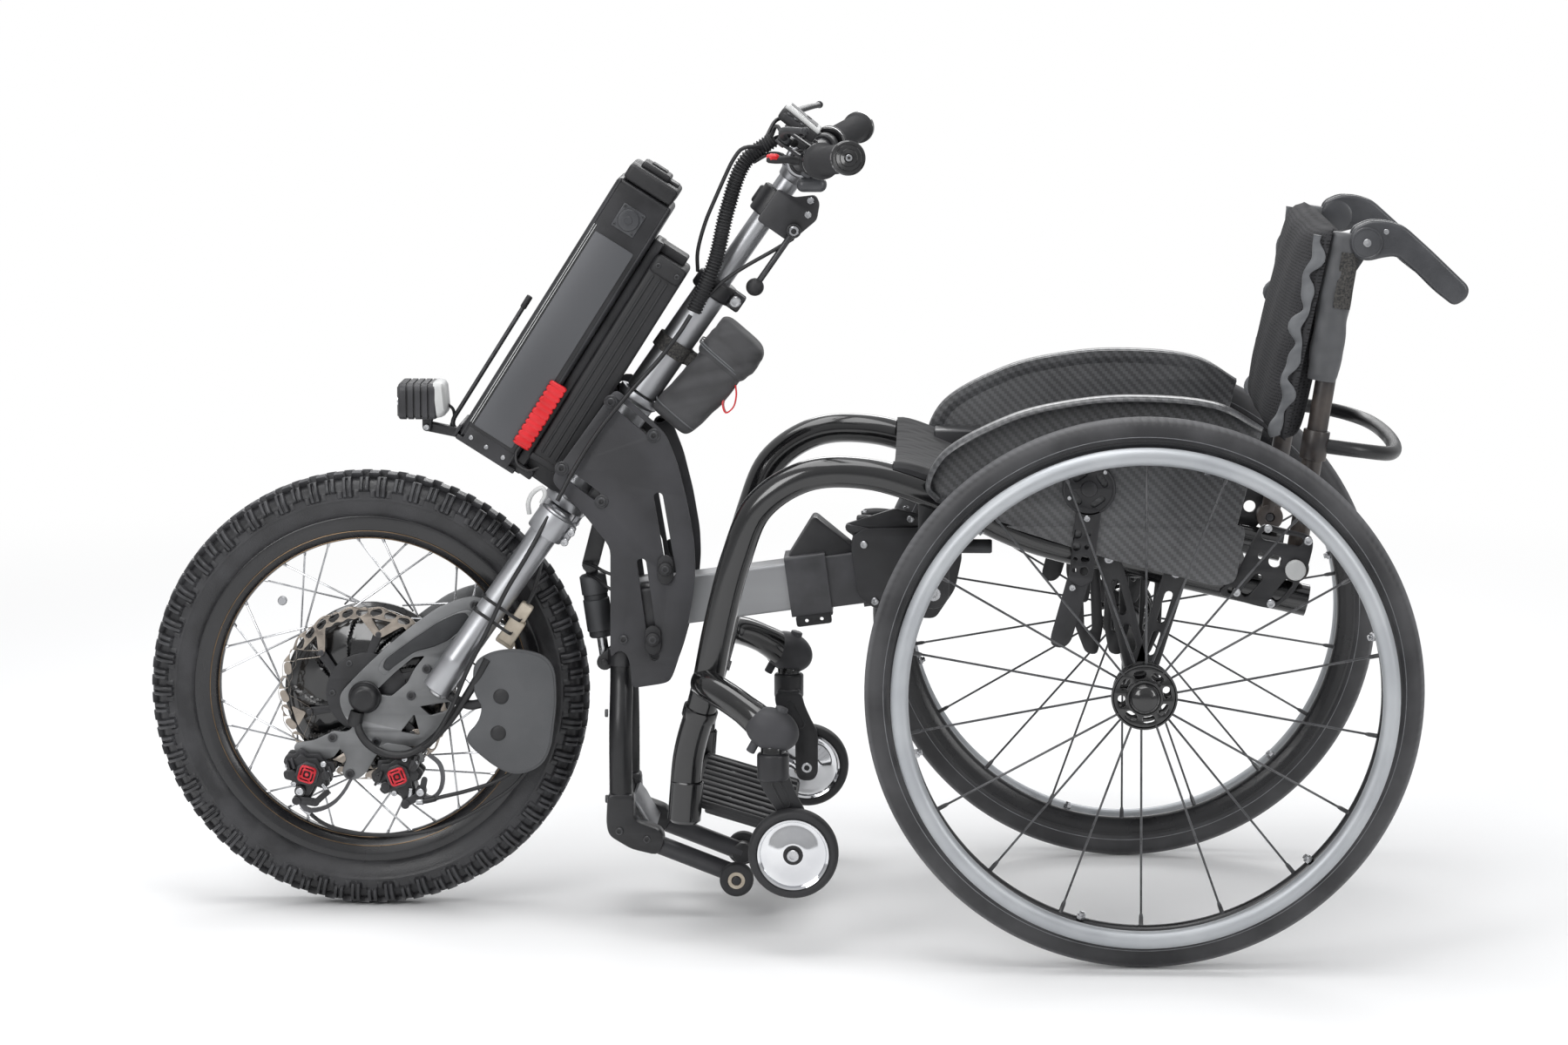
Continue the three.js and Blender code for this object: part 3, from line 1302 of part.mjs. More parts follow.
// Its drive: a body on the head tube's cheeks and a rod to the lever
const driveTop = at(actuatorTopX, -actuatorY, actuatorTopZ);
const driveFoot = at(actuatorFootX, -actuatorY, actuatorFootZ);
const driveLine = driveFoot.clone().sub(driveTop).normalize();
function onDrive(along) {
  return driveTop.clone().addScaledVector(driveLine, along);
}
function driveEye(x, z) {
  return across(x, z, actuatorEyeRadius, -actuatorY - actuatorEyeWidth / 2, -actuatorY + actuatorEyeWidth / 2);
}
function driveBore(x, z) {
  return across(x, z, boreFor(actuatorPinRadius, cableSides), -actuatorY - actuatorEyeWidth, -actuatorY + actuatorEyeWidth, cableSides);
}
meshOf('actuator_body', cut(join([
  driveEye(actuatorTopX, actuatorTopZ),
  rod(onDrive(actuatorEyeRadius / 2), onDrive(actuatorStart + overrun), actuatorEyeWidth / 2, cableSides),
  rod(onDrive(actuatorStart), onDrive(actuatorLength), actuatorRadius),
]), [
  driveBore(actuatorTopX, actuatorTopZ),
  rod(onDrive(actuatorLength / 2 - actuatorTravel), onDrive(actuatorLength + overrun), actuatorRodRadius + gap * 2, cableSides),
]), darkAlloy);
meshOf('actuator_rod', cut(join([
  driveEye(actuatorFootX, actuatorFootZ),
  rod(onDrive(actuatorLength / 2), driveFoot, actuatorRodRadius, cableSides),
]), [driveBore(actuatorFootX, actuatorFootZ)]), polishedSteel);

for (const [name, side] of [['stand_roller_left', -1], ['stand_roller_right', 1]]) {
  const roller = spin([
    [boreFor(standAxleRadius, tubeSides), -standRollerWidth / 2], [standRollerRadius * 0.9, -standRollerWidth / 2],
    [standRollerRadius, -standRollerWidth / 4], [standRollerRadius, standRollerWidth / 4],
    [standRollerRadius * 0.9, standRollerWidth / 2], [boreFor(standAxleRadius, tubeSides), standRollerWidth / 2],
  ], tubeSides);
  meshOf(name, roller, tyreRubber).position.set(rollerX, side * (rollerIn + standRollerWidth / 2), rollerZ);
}

// Wheelchair frame: two bent side tubes with the pieces welded to them
function framePoint([along, out, up]) {
  return at(frameX + along * frameLength, -frameFoot - out * frameFlare, frameZ + up * frameHeight);
}
const framePath = frameShares.map(framePoint);
const frameCurve = new THREE.CatmullRomCurve3(framePath, false, 'centripetal');
const frameSamples = frameCurve.getSpacedPoints(200).slice(60);
function railZ(x) {
  const next = frameSamples.findIndex((sample) => sample.x >= x);
  const [a, b] = [frameSamples[next - 1], frameSamples[next]];
  return a.z + ((b.z - a.z) * (x - a.x)) / (b.x - a.x);
}
// the top of the sloping tube, straight above its centre line
function railTop(x) {
  const slope = (railZ(x + overrun) - railZ(x - overrun)) / (overrun * 2);
  return railZ(x) + frameTubeRadius * Math.hypot(1, slope);
}
const railY = frameFoot + frameFlare;
const railFace = railY + frameTubeRadius;
const hubInner = rearTrack / 2 - hubLength / 2;
const camberEnd = hubInner - gap;

const armY = railFace - axleArmThickness;
function axleArm(fromX) {
  const from = [fromX, railZ(fromX)];
  const arm = slot(from, [wheelbase, rearRadius], axleArmWidth, -armY - axleArmThickness, -armY);
  const holes = [];
  for (let i = 1; i <= axleArmHoles; i += 1) {
    const share = i / (axleArmHoles + 1);
    const x = from[0] + (wheelbase - from[0]) * share;
    const z = from[1] + (rearRadius - from[1]) * share;
    holes.push(across(x, z, axleArmHole, -armY - axleArmThickness - overrun, -armY + overrun, 4));
  }
  return cut(arm, holes);
}

const bracketIn = railFace - backBracketThickness / 2;
const bracketOut = bracketIn + backBracketThickness;
const bracketArea = [backBracketWidth, backBracketHeight, backBracketX, backBracketZ];
const backBracket = cut(plate(straight(spread(backBracketShares, ...bracketArea)), -bracketOut, -bracketIn), (
  backSlotShares.map((ends) => {
    const [from, to] = spread(ends, ...bracketArea);
    return slot(from, to, guardStripHole * 2, -bracketOut - overrun, -bracketIn + overrun);
  })
));
const canePinEnd = caneSpread / 2 - caneRadius;

const housingTop = castorHeadZ + gap + castorHousingHeight;
const castorArm = tube([
  framePoint(frameShares[2]), at(frameX + (castorX - frameX) * 0.6, -(railY + castorY) / 2 + overrun, housingTop),
  at(castorX - castorArmRadius, -castorY + castorArmRadius / 2, housingTop - castorHousingHeight / 2),
], castorArmRadius, castorArmSteps, cableSides);

const chairSide = cut(join([
  solid(new THREE.ExtrudeGeometry(disc(frameTubeRadius, roundSides), { extrudePath: frameCurve, steps: frameSteps })),
  block(crossbarX, -railY, (crossbarZ + railZ(crossbarX)) / 2, hangerWidth, hangerThickness, railZ(crossbarX) - crossbarZ),
  rod(at(crossbarX, -railY - hangerThickness, crossbarZ), at(crossbarX, overrun, crossbarZ), crossbarRadius),
  rod(at(wheelbase, -camberEnd, rearRadius), at(wheelbase, overrun, rearRadius), camberTubeRadius),
  axleArm(wheelbase - axleArmSpread),
  axleArm(wheelbase + axleArmSpread),
  backBracket,
  across(backX, backZ, backPinRadius, -bracketOut, -canePinEnd, cableSides),
  across(backX, backZ, backKnobRadius, -bracketOut - backKnobHeight, -bracketOut),
  castorArm,
  rod(at(castorX, -castorY, castorHeadZ + gap), at(castorX, -castorY, housingTop), castorHousingRadius),
]), [
  rod(at(castorX, -castorY, castorHeadZ - overrun), at(castorX, -castorY, castorHeadZ + castorStemLength + gap),
    boreFor(castorStemRadius, cableSides), cableSides),
]);
meshOf('chair_frame', join([
  chairSide,
  flipped(chairSide),
  rod(at(wheelbase, -camberEnd - rearAxleDepth, rearRadius), at(wheelbase, camberEnd + rearAxleDepth, rearRadius),
    rearAxleRadius, cableSides),
]), blackPaint);

// Castors: a fork with one arm inboard of its wheel
const castorWheelX = castorX + castorTrail;
const forkOut = castorY - castorWheelWidth / 2 - gap;
const forkIn = forkOut - castorForkThickness;
const forkShoulder = castorHeadZ - castorForkWidth / 2;
const forkLine = castorForkShares.map(([sx, sz]) => [
  castorX + sx * castorTrail, forkShoulder - sz * (forkShoulder - castorAxleZ),
]);
const castorFork = cut(join([
  rod(at(castorX, -castorY, castorHeadZ - castorHeadHeight), at(castorX, -castorY, castorHeadZ), castorHeadRadius),
  rod(at(castorX, -castorY, castorHeadZ - overrun), at(castorX, -castorY, castorHeadZ + castorStemLength), castorStemRadius,
    cableSides),
  slot(forkLine[0], forkLine[1], castorForkWidth, -forkOut, -forkIn),
  slot(forkLine[1], forkLine[2], castorForkWidth, -forkOut, -forkIn),
  across(castorWheelX, castorAxleZ, castorAxleRadius, -castorY - castorWheelWidth / 2 - castorForkThickness / 2, -forkIn,
    cableSides),
]), [
  across((forkLine[0][0] + forkLine[1][0]) / 2, (forkLine[0][1] + forkLine[1][1]) / 2, castorForkHole,
    -forkOut - overrun, -forkIn + overrun, 6),
  across((forkLine[1][0] * 2 + forkLine[2][0]) / 3, (forkLine[1][1] * 2 + forkLine[2][1]) / 3, castorForkHole,
    -forkOut - overrun, -forkIn + overrun, 6),
]);
pair('castor_fork', castorFork, blackAnodised);

const castorHalf = castorWheelWidth / 2;
const castorRound = castorTyreEdge;
const castorSpokes = [];
for (let i = 0; i < castorHoles; i += 1) {
  const turn = (i / castorHoles) * halfTurn * 2;
  const reach = (castorHubRadius + castorWebRadius) / 2;
  castorSpokes.push(across(reach * Math.cos(turn), reach * Math.sin(turn), castorHoleRadius, -castorHalf, castorHalf, cableSides));
}
const castorWheel = cut(spin([
  [castorAxleRadius + gap * 2, -castorHalf], [castorHubRadius, -castorHalf], [castorHubRadius + castorRound, -castorWebWidth / 2],
  [castorWebRadius, -castorWebWidth / 2], [castorWebRadius + castorRound, -castorHalf],
  [castorRadius, -castorHalf + castorRound * 2], [castorRadius, castorHalf - castorRound * 2],
  [castorWebRadius + castorRound, castorHalf], [castorWebRadius, castorWebWidth / 2],
  [castorHubRadius + castorRound, castorWebWidth / 2], [castorHubRadius, castorHalf], [castorAxleRadius + gap * 2, castorHalf],
], castorSides), castorSpokes);
for (const [name, side] of [['castor_wheel_left', -1], ['castor_wheel_right', 1]]) {
  meshOf(name, castorWheel, chromePlate).position.set(castorWheelX, side * castorY, castorAxleZ);
}

// Footplate between the feet of the frame
const footHalf = frameFoot - frameTubeRadius + footplateTuck - gap;
const footAlong = at(Math.cos(footplateFall), 0, -Math.sin(footplateFall));
const footUp = at(Math.sin(footplateFall), 0, Math.cos(footplateFall));
function footBlock(along, up, sizeX, sizeY, sizeZ) {
  const middle = at(footplateX, 0, footplateZ).addScaledVector(footAlong, along).addScaledVector(footUp, up);
  return block(middle.x, middle.y, middle.z, sizeX, sizeY, sizeZ, footplateFall);
}
const footRibs = [];
for (let i = 0; i < footplateRibs; i += 1) {
  const along = footplateLength * ((i + 0.75) / (footplateRibs + 0.5));
  footRibs.push(footBlock(along, (footplateThickness + footplateRib) / 2 - gap, footplateRibWidth, footHalf * 1.9, footplateRib));
}
meshOf('footplate', join([
  footBlock(footplateLength / 2, 0, footplateLength, footHalf * 2, footplateThickness),
  ...footRibs,
]), blackPlastic);

// A soft sheet between two surfaces over a grid of two parameters
function sheet(us, vs, upper, lower) {
  const places = [];
  const faces = [];
  for (const surface of [upper, lower]) {
    for (const u of us) {
      for (const v of vs) places.push(...surface(u, v).toArray());
    }
  }
  const [rows, columns] = [us.length, vs.length];
  const half = rows * columns;
  const index = (i, j) => i * columns + j;
  function quad(a, b, c, d) {
    faces.push(a, b, c, a, c, d);
  }
  for (let i = 0; i < rows - 1; i += 1) {
    for (let j = 0; j < columns - 1; j += 1) {
      const corners = [index(i, j), index(i + 1, j), index(i + 1, j + 1), index(i, j + 1)];
      quad(...corners);
      quad(...corners.map((corner) => corner + half).reverse());
    }
  }
  for (let i = 0; i < rows - 1; i += 1) {
    quad(index(i, 0), index(i, 0) + half, index(i + 1, 0) + half, index(i + 1, 0));
    quad(index(i + 1, columns - 1), index(i + 1, columns - 1) + half, index(i, columns - 1) + half, index(i, columns - 1));
  }
  for (let j = 0; j < columns - 1; j += 1) {
    quad(index(0, j + 1), index(0, j + 1) + half, index(0, j) + half, index(0, j));
    quad(index(rows - 1, j), index(rows - 1, j) + half, index(rows - 1, j + 1) + half, index(rows - 1, j + 1));
  }
  const shape = new THREE.BufferGeometry();
  shape.setAttribute('position', new THREE.Float32BufferAttribute(places, 3));
  shape.setIndex(faces);
  return solid(shape);
}

// Seat sling across the rails, sagging between them
const slingRows = [];
for (let i = 0; i <= seatAlongCount; i += 1) slingRows.push(slingStart + (i / seatAlongCount) * (slingEnd - slingStart));
function slingZ(x, share) {
  const hang = Math.abs(share) < 0.9 ? slingSag * (1 - share * share) : 0;
  return railTop(x) + slingSeat - hang;
}
meshOf('seat_sling', sheet(slingRows, seatAcrossShares,
  (x, share) => at(x, share * railY, slingZ(x, share) + slingThickness),
  (x, share) => at(x, share * railY, slingZ(x, share))), fabric);

// Side guards with a lip over the tyre, a disc and a perforated strip with its tongue
const guardArea = [guardWidth, guardHeight, guardX, guardZ];
const guardEdge = spread(guardShares, ...guardArea);
const guardOuter = guardOut + guardThickness;
const crest = guardEdge.slice(0, guardCrestCount);
const lipOutline = [...crest, ...crest.map(([x, z], i) => {
  const inward = i / (guardCrestCount - 1) - 0.5;
  return [x - inward * guardLipThickness * 2, z - guardLipThickness * (1 - Math.abs(inward))];
}).reverse()];
const stripTop = [guardDiscX, guardDiscZ];
const stripFoot = [guardDiscX - guardStripWidth / 3, guardDiscZ - guardStripLength];
const tongueFoot = [stripFoot[0] - guardTongueWidth * 1.1, stripFoot[1] - guardTongueLength];
const discFace = guardOuter + guardDiscHeight;
const stripHoles = [];
for (let i = 1; i <= guardStripHoles; i += 1) {
  const share = (i + 0.6) / (guardStripHoles + 1.2);
  stripHoles.push(across(stripTop[0] + (stripFoot[0] - stripTop[0]) * share, stripTop[1] + (stripFoot[1] - stripTop[1]) * share,
    guardStripHole, -discFace - overrun, -guardOut + overrun, 6));
}
pair('side_guard', join([
  plate(straight(guardEdge), -guardOuter, -guardOut),
  plate(straight(lipOutline), -guardOut - guardLip, -guardOut),
  across(guardDiscX, guardDiscZ, guardDiscRadius, -discFace, -guardOut),
  cut(slot(stripTop, stripFoot, guardStripWidth, -discFace, -guardOuter + gap), stripHoles),
  slot(stripFoot, tongueFoot, guardTongueWidth, -discFace, -guardOuter + gap),
  ...spread(guardPegShares, ...guardArea).map(([x, z], i) => (
    across(x, z, guardPegRadius, -guardOut - guardThickness / 2, -[railFace, bracketOut][i] - gap)
  )),
]), carbon);

// Backrest: two canes with their handle tongues, and the stabiliser bar behind them
const caneY = caneSpread / 2;
const caneTop = at(backX + caneLean, -caneY, backZ + caneHeight);
const caneFoot = at(backX, -caneY, backZ);
const caneUp = caneTop.clone().sub(caneFoot).normalize();
const caneAhead = at(-caneUp.z, 0, caneUp.x);
function onBack(up, forward, y) {
  return at(backX, y, backZ).addScaledVector(caneUp, up).addScaledVector(caneAhead, forward);
}
const tongueHalf = handleTongueThickness / 2;
const barAt = onBack(stabiliserLift, 0, 0);
const caneSide = cut(join([
  rod(caneFoot, caneTop, caneRadius),
  across(backX, backZ, caneEyeRadius, -bracketIn + gap, -canePinEnd),
  slot([caneTop.x - caneRadius / 4, caneTop.z - caneRadius], [handlePivotX, handlePivotZ], handleTongueWidth,
    -caneY - tongueHalf, -caneY + tongueHalf),
]), [
  across(backX, backZ, boreFor(backPinRadius, cableSides), -bracketIn - overrun, -canePinEnd + overrun, cableSides),
  across(handlePivotX, handlePivotZ, boreFor(handlePinRadius, cableSides), -caneY - handleWidth, -caneY + handleWidth, cableSides),
]);
const stabiliserPoints = [
  at(barAt.x, -caneY, barAt.z), at(barAt.x + stabiliserReach - stabiliserCorner, -caneY + overrun, barAt.z - stabiliserDrop / 2),
  at(barAt.x + stabiliserReach, -caneY + stabiliserCorner, barAt.z - stabiliserDrop),
];
meshOf('back_frame', join([
  caneSide,
  flipped(caneSide),
  tube([...stabiliserPoints, ...stabiliserPoints.map(mirrored).reverse()], stabiliserRadius, stabiliserSteps, cableSides),
]), darkAlloy);

// Back upholstery: a panel in front of the canes with a sleeve round each
const backHalf = caneY + upholsterySide;
const backRows = backUpShares.map((share) => upholsteryLow + share * upholsteryHeight);
const caneRoom = rod(onBack(-overrun, 0, -caneY), onBack(caneHeight * 2, 0, -caneY), caneRadius + gap * 2);
meshOf('back_upholstery', cut(sheet(backRows, backAcrossShares,
  (up, share) => onBack(up, upholsteryFront + upholsteryCrown * (1 - share * share) * Math.sin(((up - upholsteryLow)
    / upholsteryHeight) * halfTurn * 0.8 + 0.3), share * backHalf),
  (up, share) => onBack(up, up > caneHeight - caneEyeRadius ? upholsteryTopBack : -upholsteryBack, share * backHalf)),
[caneRoom, flipped(caneRoom)]), fabric);

// Folding push handles: a slotted hub on the tongue and a curved grip
const handleOutline = smooth(spread(handleShares, handleLength, handleHeight, handleX, handleZ));
pair('push_handle', join([
  plate(handleOutline, -caneY - handleWidth / 2, -caneY + handleWidth / 2, 2).subtract(
    across(handlePivotX, handlePivotZ, handleSlotRadius, -caneY - tongueHalf - gap * 2, -caneY + tongueHalf + gap * 2, tubeSides),
  ),
  across(handlePivotX, handlePivotZ, handlePinRadius, -caneY - handleWidth / 2, -caneY + handleWidth / 2, cableSides),
]), greyPlastic);

// Rear wheels: tyre, rim with spokes and hub, and the pushrim outside
const rearBead = rearRadius - rearTyreHeight;
const rearRimOuter = rearBead - gap;
const rearRimInner = rearRimOuter - rearRimDepth;
const hubHalf = hubLength / 2;
const flangeAt = hubHalf - hubFlangeThickness * 2;
const rearTyre = spin(bothWays(rearTyreShares).map(([r, side]) => [
  rearBead + r * rearTyreHeight, side * rearTyreWidth,
]), rearSides);
const hubDisc = [-1, 1].map((side) => across(0, 0, hubFlangeRadius, side * flangeAt - hubFlangeThickness / 2,
  side * flangeAt + hubFlangeThickness / 2));
const hubWindows = [];
for (let i = 0; i < hubHoles; i += 1) {
  const turn = (i / hubHoles) * halfTurn * 2;
  const reach = (hubRadius + hubFlangeRadius) / 2;
  hubWindows.push(across(reach * Math.cos(turn), reach * Math.sin(turn), hubHoleRadius, -hubHalf - overrun, 0, 4));
}
const rearWheel = join([
  spin([
    [rearRimOuter, -rearRimWidth / 2], [rearRimOuter, rearRimWidth / 2],
    [rearRimInner, rearRimWidth / 4], [rearRimInner, -rearRimWidth / 4],
  ], rearSides),
  cut(join([...hubDisc, across(0, 0, hubRadius, -hubHalf, hubHalf, tubeSides)]), hubWindows),
  ...spokes(rearSpokes, hubFlangeRadius - rearSpokeRadius * 2, flangeAt, rearRimInner + rearRimDepth / 4, rearSpokeRadius,
    halfTurn * 0.3),
]);
const hubCap = spin([
  [0, -hubHalf - hubCapHeight], [hubCapRadius * 0.7, -hubHalf - hubCapHeight * 0.8], [hubCapRadius, -hubHalf - hubCapHeight * 0.2],
  [hubCapRadius, -hubHalf + gap], [0, -hubHalf + gap],
], tubeSides);
const axleBore = across(0, 0, boreFor(rearAxleRadius, cableSides), hubHalf - rearAxleDepth - gap, hubHalf + overrun, cableSides);
const rearNear = rearWheel.add(hubCap).subtract(axleBore);

const standAway = pushrimStand;
const pushrimParts = [spin([...Array(pushrimSides).keys()].map((i) => {
  const turn = (i / pushrimSides) * halfTurn * 2;
  return [pushrimRadius + pushrimTubeRadius * Math.cos(turn), -standAway + pushrimTubeRadius * Math.sin(turn)];
}), rearSides)];
// A tab ends at the slanting side of the rim, whose facets lie a little lower than its circle.
const tabReach = (pushrimRadius + pushrimTubeRadius / 4 + pushrimTabThickness / 2) / Math.cos(halfTurn / rearSides);
const tabIn = -(rearRimWidth / 4) * (1 + (tabReach - rearRimInner) / rearRimDepth) - gap;
for (let i = 0; i < pushrimTabs; i += 1) {
  const tab = new THREE.BoxGeometry(pushrimTabWidth, standAway + tabIn, pushrimTabThickness);
  tab.translate(0, (tabIn - standAway) / 2, pushrimRadius + pushrimTubeRadius / 4);
  tab.rotateY(((i + 0.25) / pushrimTabs) * halfTurn * 2);
  pushrimParts.push(solid(tab));
}
const pushrim = join(pushrimParts);

for (const [suffix, side] of [['left', -1], ['right', 1]]) {
  const place = at(wheelbase, (side * rearTrack) / 2, rearRadius);
  const handed = side < 0 ? rearNear : flipped(rearNear);
  meshOf(`rear_tyre_${suffix}`, rearTyre, tyreRubber).position.copy(place);
  meshOf(`rear_wheel_${suffix}`, handed, blackAnodised).position.copy(place);
  const rim = side < 0 ? pushrim : flipped(pushrim);
  meshOf(`pushrim_${suffix}`, rim, side < 0 ? silverRim : darkAlloy).position.copy(place);
}

// The origin is under the middle of the whole vehicle, on the floor.
vehicle.updateMatrixWorld(true);
const bounds = new THREE.Box3().setFromObject(vehicle);
const middle = bounds.getCenter(new THREE.Vector3());
vehicle.position.set(-middle.x, -middle.y, -bounds.min.z);
vehicle.updateMatrixWorld(true);

export default vehicle;
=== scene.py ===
# Handcycle: an electric front wheel unit docked to a rigid wheelchair.
# The shapes are worked out in millimetres from the front axle, then moved to the model's own
# frame, whose origin lies under the middle of the whole vehicle.
import math
import bmesh
import bpy
import mathutils
import numpy as np
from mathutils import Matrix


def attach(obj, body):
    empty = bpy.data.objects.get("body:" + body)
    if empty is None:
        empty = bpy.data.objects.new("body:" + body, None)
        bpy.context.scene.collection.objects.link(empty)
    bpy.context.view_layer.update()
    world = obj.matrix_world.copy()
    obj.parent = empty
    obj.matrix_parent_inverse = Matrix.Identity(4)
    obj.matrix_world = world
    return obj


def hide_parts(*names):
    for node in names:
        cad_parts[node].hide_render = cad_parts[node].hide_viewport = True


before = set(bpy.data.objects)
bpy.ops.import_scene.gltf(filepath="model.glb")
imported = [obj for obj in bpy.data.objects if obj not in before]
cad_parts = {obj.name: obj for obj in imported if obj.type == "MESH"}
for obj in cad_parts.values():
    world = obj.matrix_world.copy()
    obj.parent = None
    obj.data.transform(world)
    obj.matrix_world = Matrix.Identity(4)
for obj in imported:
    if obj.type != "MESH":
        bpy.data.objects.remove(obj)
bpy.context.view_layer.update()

vehicle = {
    "middle": 481.272,        # front axle to the middle of the whole vehicle
    "frontAxle": (0, 0, 249),
    "rearAxle": (862.8, 298),
    "rearTrack": 556,
    "crown": (223.5, 463.6),  # the steering axis passes here
    "lean": math.radians(34.8),
}
leanSin, leanCos = math.sin(vehicle["lean"]), math.cos(vehicle["lean"])


def vec(*values):
    return np.array(values, float)


def unit(vector):
    return vector / np.linalg.norm(vector)


# millimetres from the front axle to metres in the model's frame
def toModel(points):
    return (np.asarray(points, float) - (vehicle["middle"], 0, 0)) / 1000


# a point (x rearward, y, z up the steering axis) beside the crown, turned by the lean into vehicle
# millimetres
def onMast(points):
    p = np.asarray(points, float)
    x = p[..., 0] * leanCos + p[..., 2] * leanSin + vehicle["crown"][0]
    z = -p[..., 0] * leanSin + p[..., 2] * leanCos + vehicle["crown"][1]
    return np.stack([x, p[..., 1], z], axis=-1)


# the reverse for a place (x, z): how far it lies behind the steering axis, and how far up it
def offMast(place):
    return (np.array(place) - vehicle["crown"]) @ np.array([[leanCos, leanSin], [-leanSin, leanCos]])


view = {
    "place": (651.96, -5013.7, 1176.5), "yaw": 2.09, "pitch": 8.35,
    "lens": 103.464, "sensor": 36,
}
cameraData = bpy.data.cameras.new("photoCamera")
cameraData.lens = view["lens"]
cameraData.sensor_width = view["sensor"]
cameraData.sensor_fit = "HORIZONTAL"
cameraData.clip_start, cameraData.clip_end = 0.1, 60
cameraObject = bpy.data.objects.new("photoCamera", cameraData)
bpy.context.scene.collection.objects.link(cameraObject)
cameraObject.location = toModel(view["place"])
cameraObject.rotation_euler = (math.radians(90 - view["pitch"]), 0, math.radians(view["yaw"]))
bpy.context.scene.camera = cameraObject
bpy.context.scene.view_settings.view_transform = "Standard"


# A shell is (corners, faces) in vehicle millimetres.
# A grid of points[u, v] joined by quads; a closed direction meets its own start.
def gridShell(points, closeU=False, closeV=False):
    rows, columns = points.shape[:2]
    u = np.arange(rows if closeU else rows - 1)
    v = np.arange(columns if closeV else columns - 1)
    first, second = np.meshgrid(u, v, indexing="ij")
    nextU, nextV = (first + 1) % rows, (second + 1) % columns
    quads = np.stack([
        first * columns + second, nextU * columns + second,
        nextU * columns + nextV, first * columns + nextV,
    ], axis=-1).reshape(-1, 4)
    return points.reshape(-1, 3), quads.tolist()


# rings of points[u, v] joined by quads, with a flat face over each end
def cappedGrid(points):
    corners, faces = gridShell(points, closeV=True)
    count = points.shape[1]
    return corners, faces + [list(range(count)), list(range(len(corners) - count, len(corners)))]


# Two grids of one size joined to a closed slab by walls between their edges.
def slabShell(upper, lower):
    rows, columns = upper.shape[:2]
    count = rows * columns
    corners, faces = gridShell(upper)
    lowerCorners, lowerFaces = gridShell(lower)
    edge = np.concatenate([
        np.arange(columns), np.arange(1, rows) * columns + columns - 1,
        (rows - 1) * columns + np.arange(columns - 2, -1, -1), np.arange(rows - 2, 0, -1) * columns])
    walls = [[int(a), int(b), int(b) + count, int(a) + count] for a, b in zip(edge, np.roll(edge, -1))]
    lowerFaces = [[index + count for index in face] for face in lowerFaces]
    return np.vstack([corners, lowerCorners]), faces + lowerFaces + walls


# the length along a line of points from its first to each of them
def runAlong(points):
    return np.concatenate([[0], np.cumsum(np.linalg.norm(np.diff(points, axis=0), axis=1))])


# Centripetal Catmull-Rom curve through the points, taken at even steps along its length.
def smoothPath(points, count):
    p = np.asarray(points, float)
    p = np.vstack([2 * p[0] - p[1], p, 2 * p[-1] - p[-2]])
    knots = np.concatenate([[0], np.cumsum(np.sqrt(np.linalg.norm(np.diff(p, axis=0), axis=1)))])
    pieces = []
    for k in range(1, len(p) - 2):
        t = np.linspace(knots[k], knots[k + 1], 24, endpoint=False)[:, None]
        t0, t1, t2, t3 = knots[k - 1:k + 3]
        a = ((t1 - t) * p[k - 1] + (t - t0) * p[k]) / (t1 - t0)
        b = ((t2 - t) * p[k] + (t - t1) * p[k + 1]) / (t2 - t1)
        c = ((t3 - t) * p[k + 1] + (t - t2) * p[k + 2]) / (t3 - t2)
        ab = ((t2 - t) * a + (t - t0) * b) / (t2 - t0)
        bc = ((t3 - t) * b + (t - t1) * c) / (t3 - t1)
        pieces.append(((t2 - t) * ab + (t - t1) * bc) / (t2 - t1))
    pieces.append(p[-2:-1])
    dense = np.vstack(pieces)
    run = runAlong(dense)
    steps = np.linspace(0, run[-1], count)
    return np.stack([np.interp(steps, run, dense[:, i]) for i in range(p.shape[1])], axis=-1)


# Each corner of a line of points becomes a short parabola that starts and ends a radius away from it.
def softCorners(points, radius, steps=4, closed=True):
    p = np.asarray(points, float)
    before, after = np.roll(p, 1, axis=0), np.roll(p, -1, axis=0)
    radius = np.broadcast_to(np.asarray(radius, float), (len(p),))
    reachIn = np.minimum(radius, np.linalg.norm(before - p, axis=1) * 0.49)[:, None]
    reachOut = np.minimum(radius, np.linalg.norm(after - p, axis=1) * 0.49)[:, None]
    start = p + (before - p) / np.maximum(np.linalg.norm(before - p, axis=1)[:, None], 1e-9) * reachIn
    end = p + (after - p) / np.maximum(np.linalg.norm(after - p, axis=1)[:, None], 1e-9) * reachOut
    if not closed:
        start[0] = end[0] = p[0]
        start[-1] = end[-1] = p[-1]
    t = np.linspace(0, 1, steps)[None, :, None]
    arcs = (1 - t) ** 2 * start[:, None] + 2 * t * (1 - t) * p[:, None] + t ** 2 * end[:, None]
    if closed:
        return arcs.reshape(-1, p.shape[1])
    return np.vstack([p[:1], arcs[1:-1].reshape(-1, p.shape[1]), p[-1:]])


# Two directions square to the path at each point: the last one less its part along the path, so
# they turn little.
def framesAlong(path, closed=False):
    path = np.asarray(path, float)
    if closed:
        along = np.roll(path, -1, axis=0) - np.roll(path, 1, axis=0)
    else:
        along = np.gradient(path, axis=0)
    along /= np.linalg.norm(along, axis=1)[:, None]
    side = np.cross(along[0], (0, 1, 0) if abs(along[0][1]) < 0.9 else (1, 0, 0))
    sides = [unit(side)]
    for direction in along[1:]:
        sides.append(unit(sides[-1] - direction * (sides[-1] @ direction)))
    sides = np.array(sides)
    return sides, np.cross(along, sides)


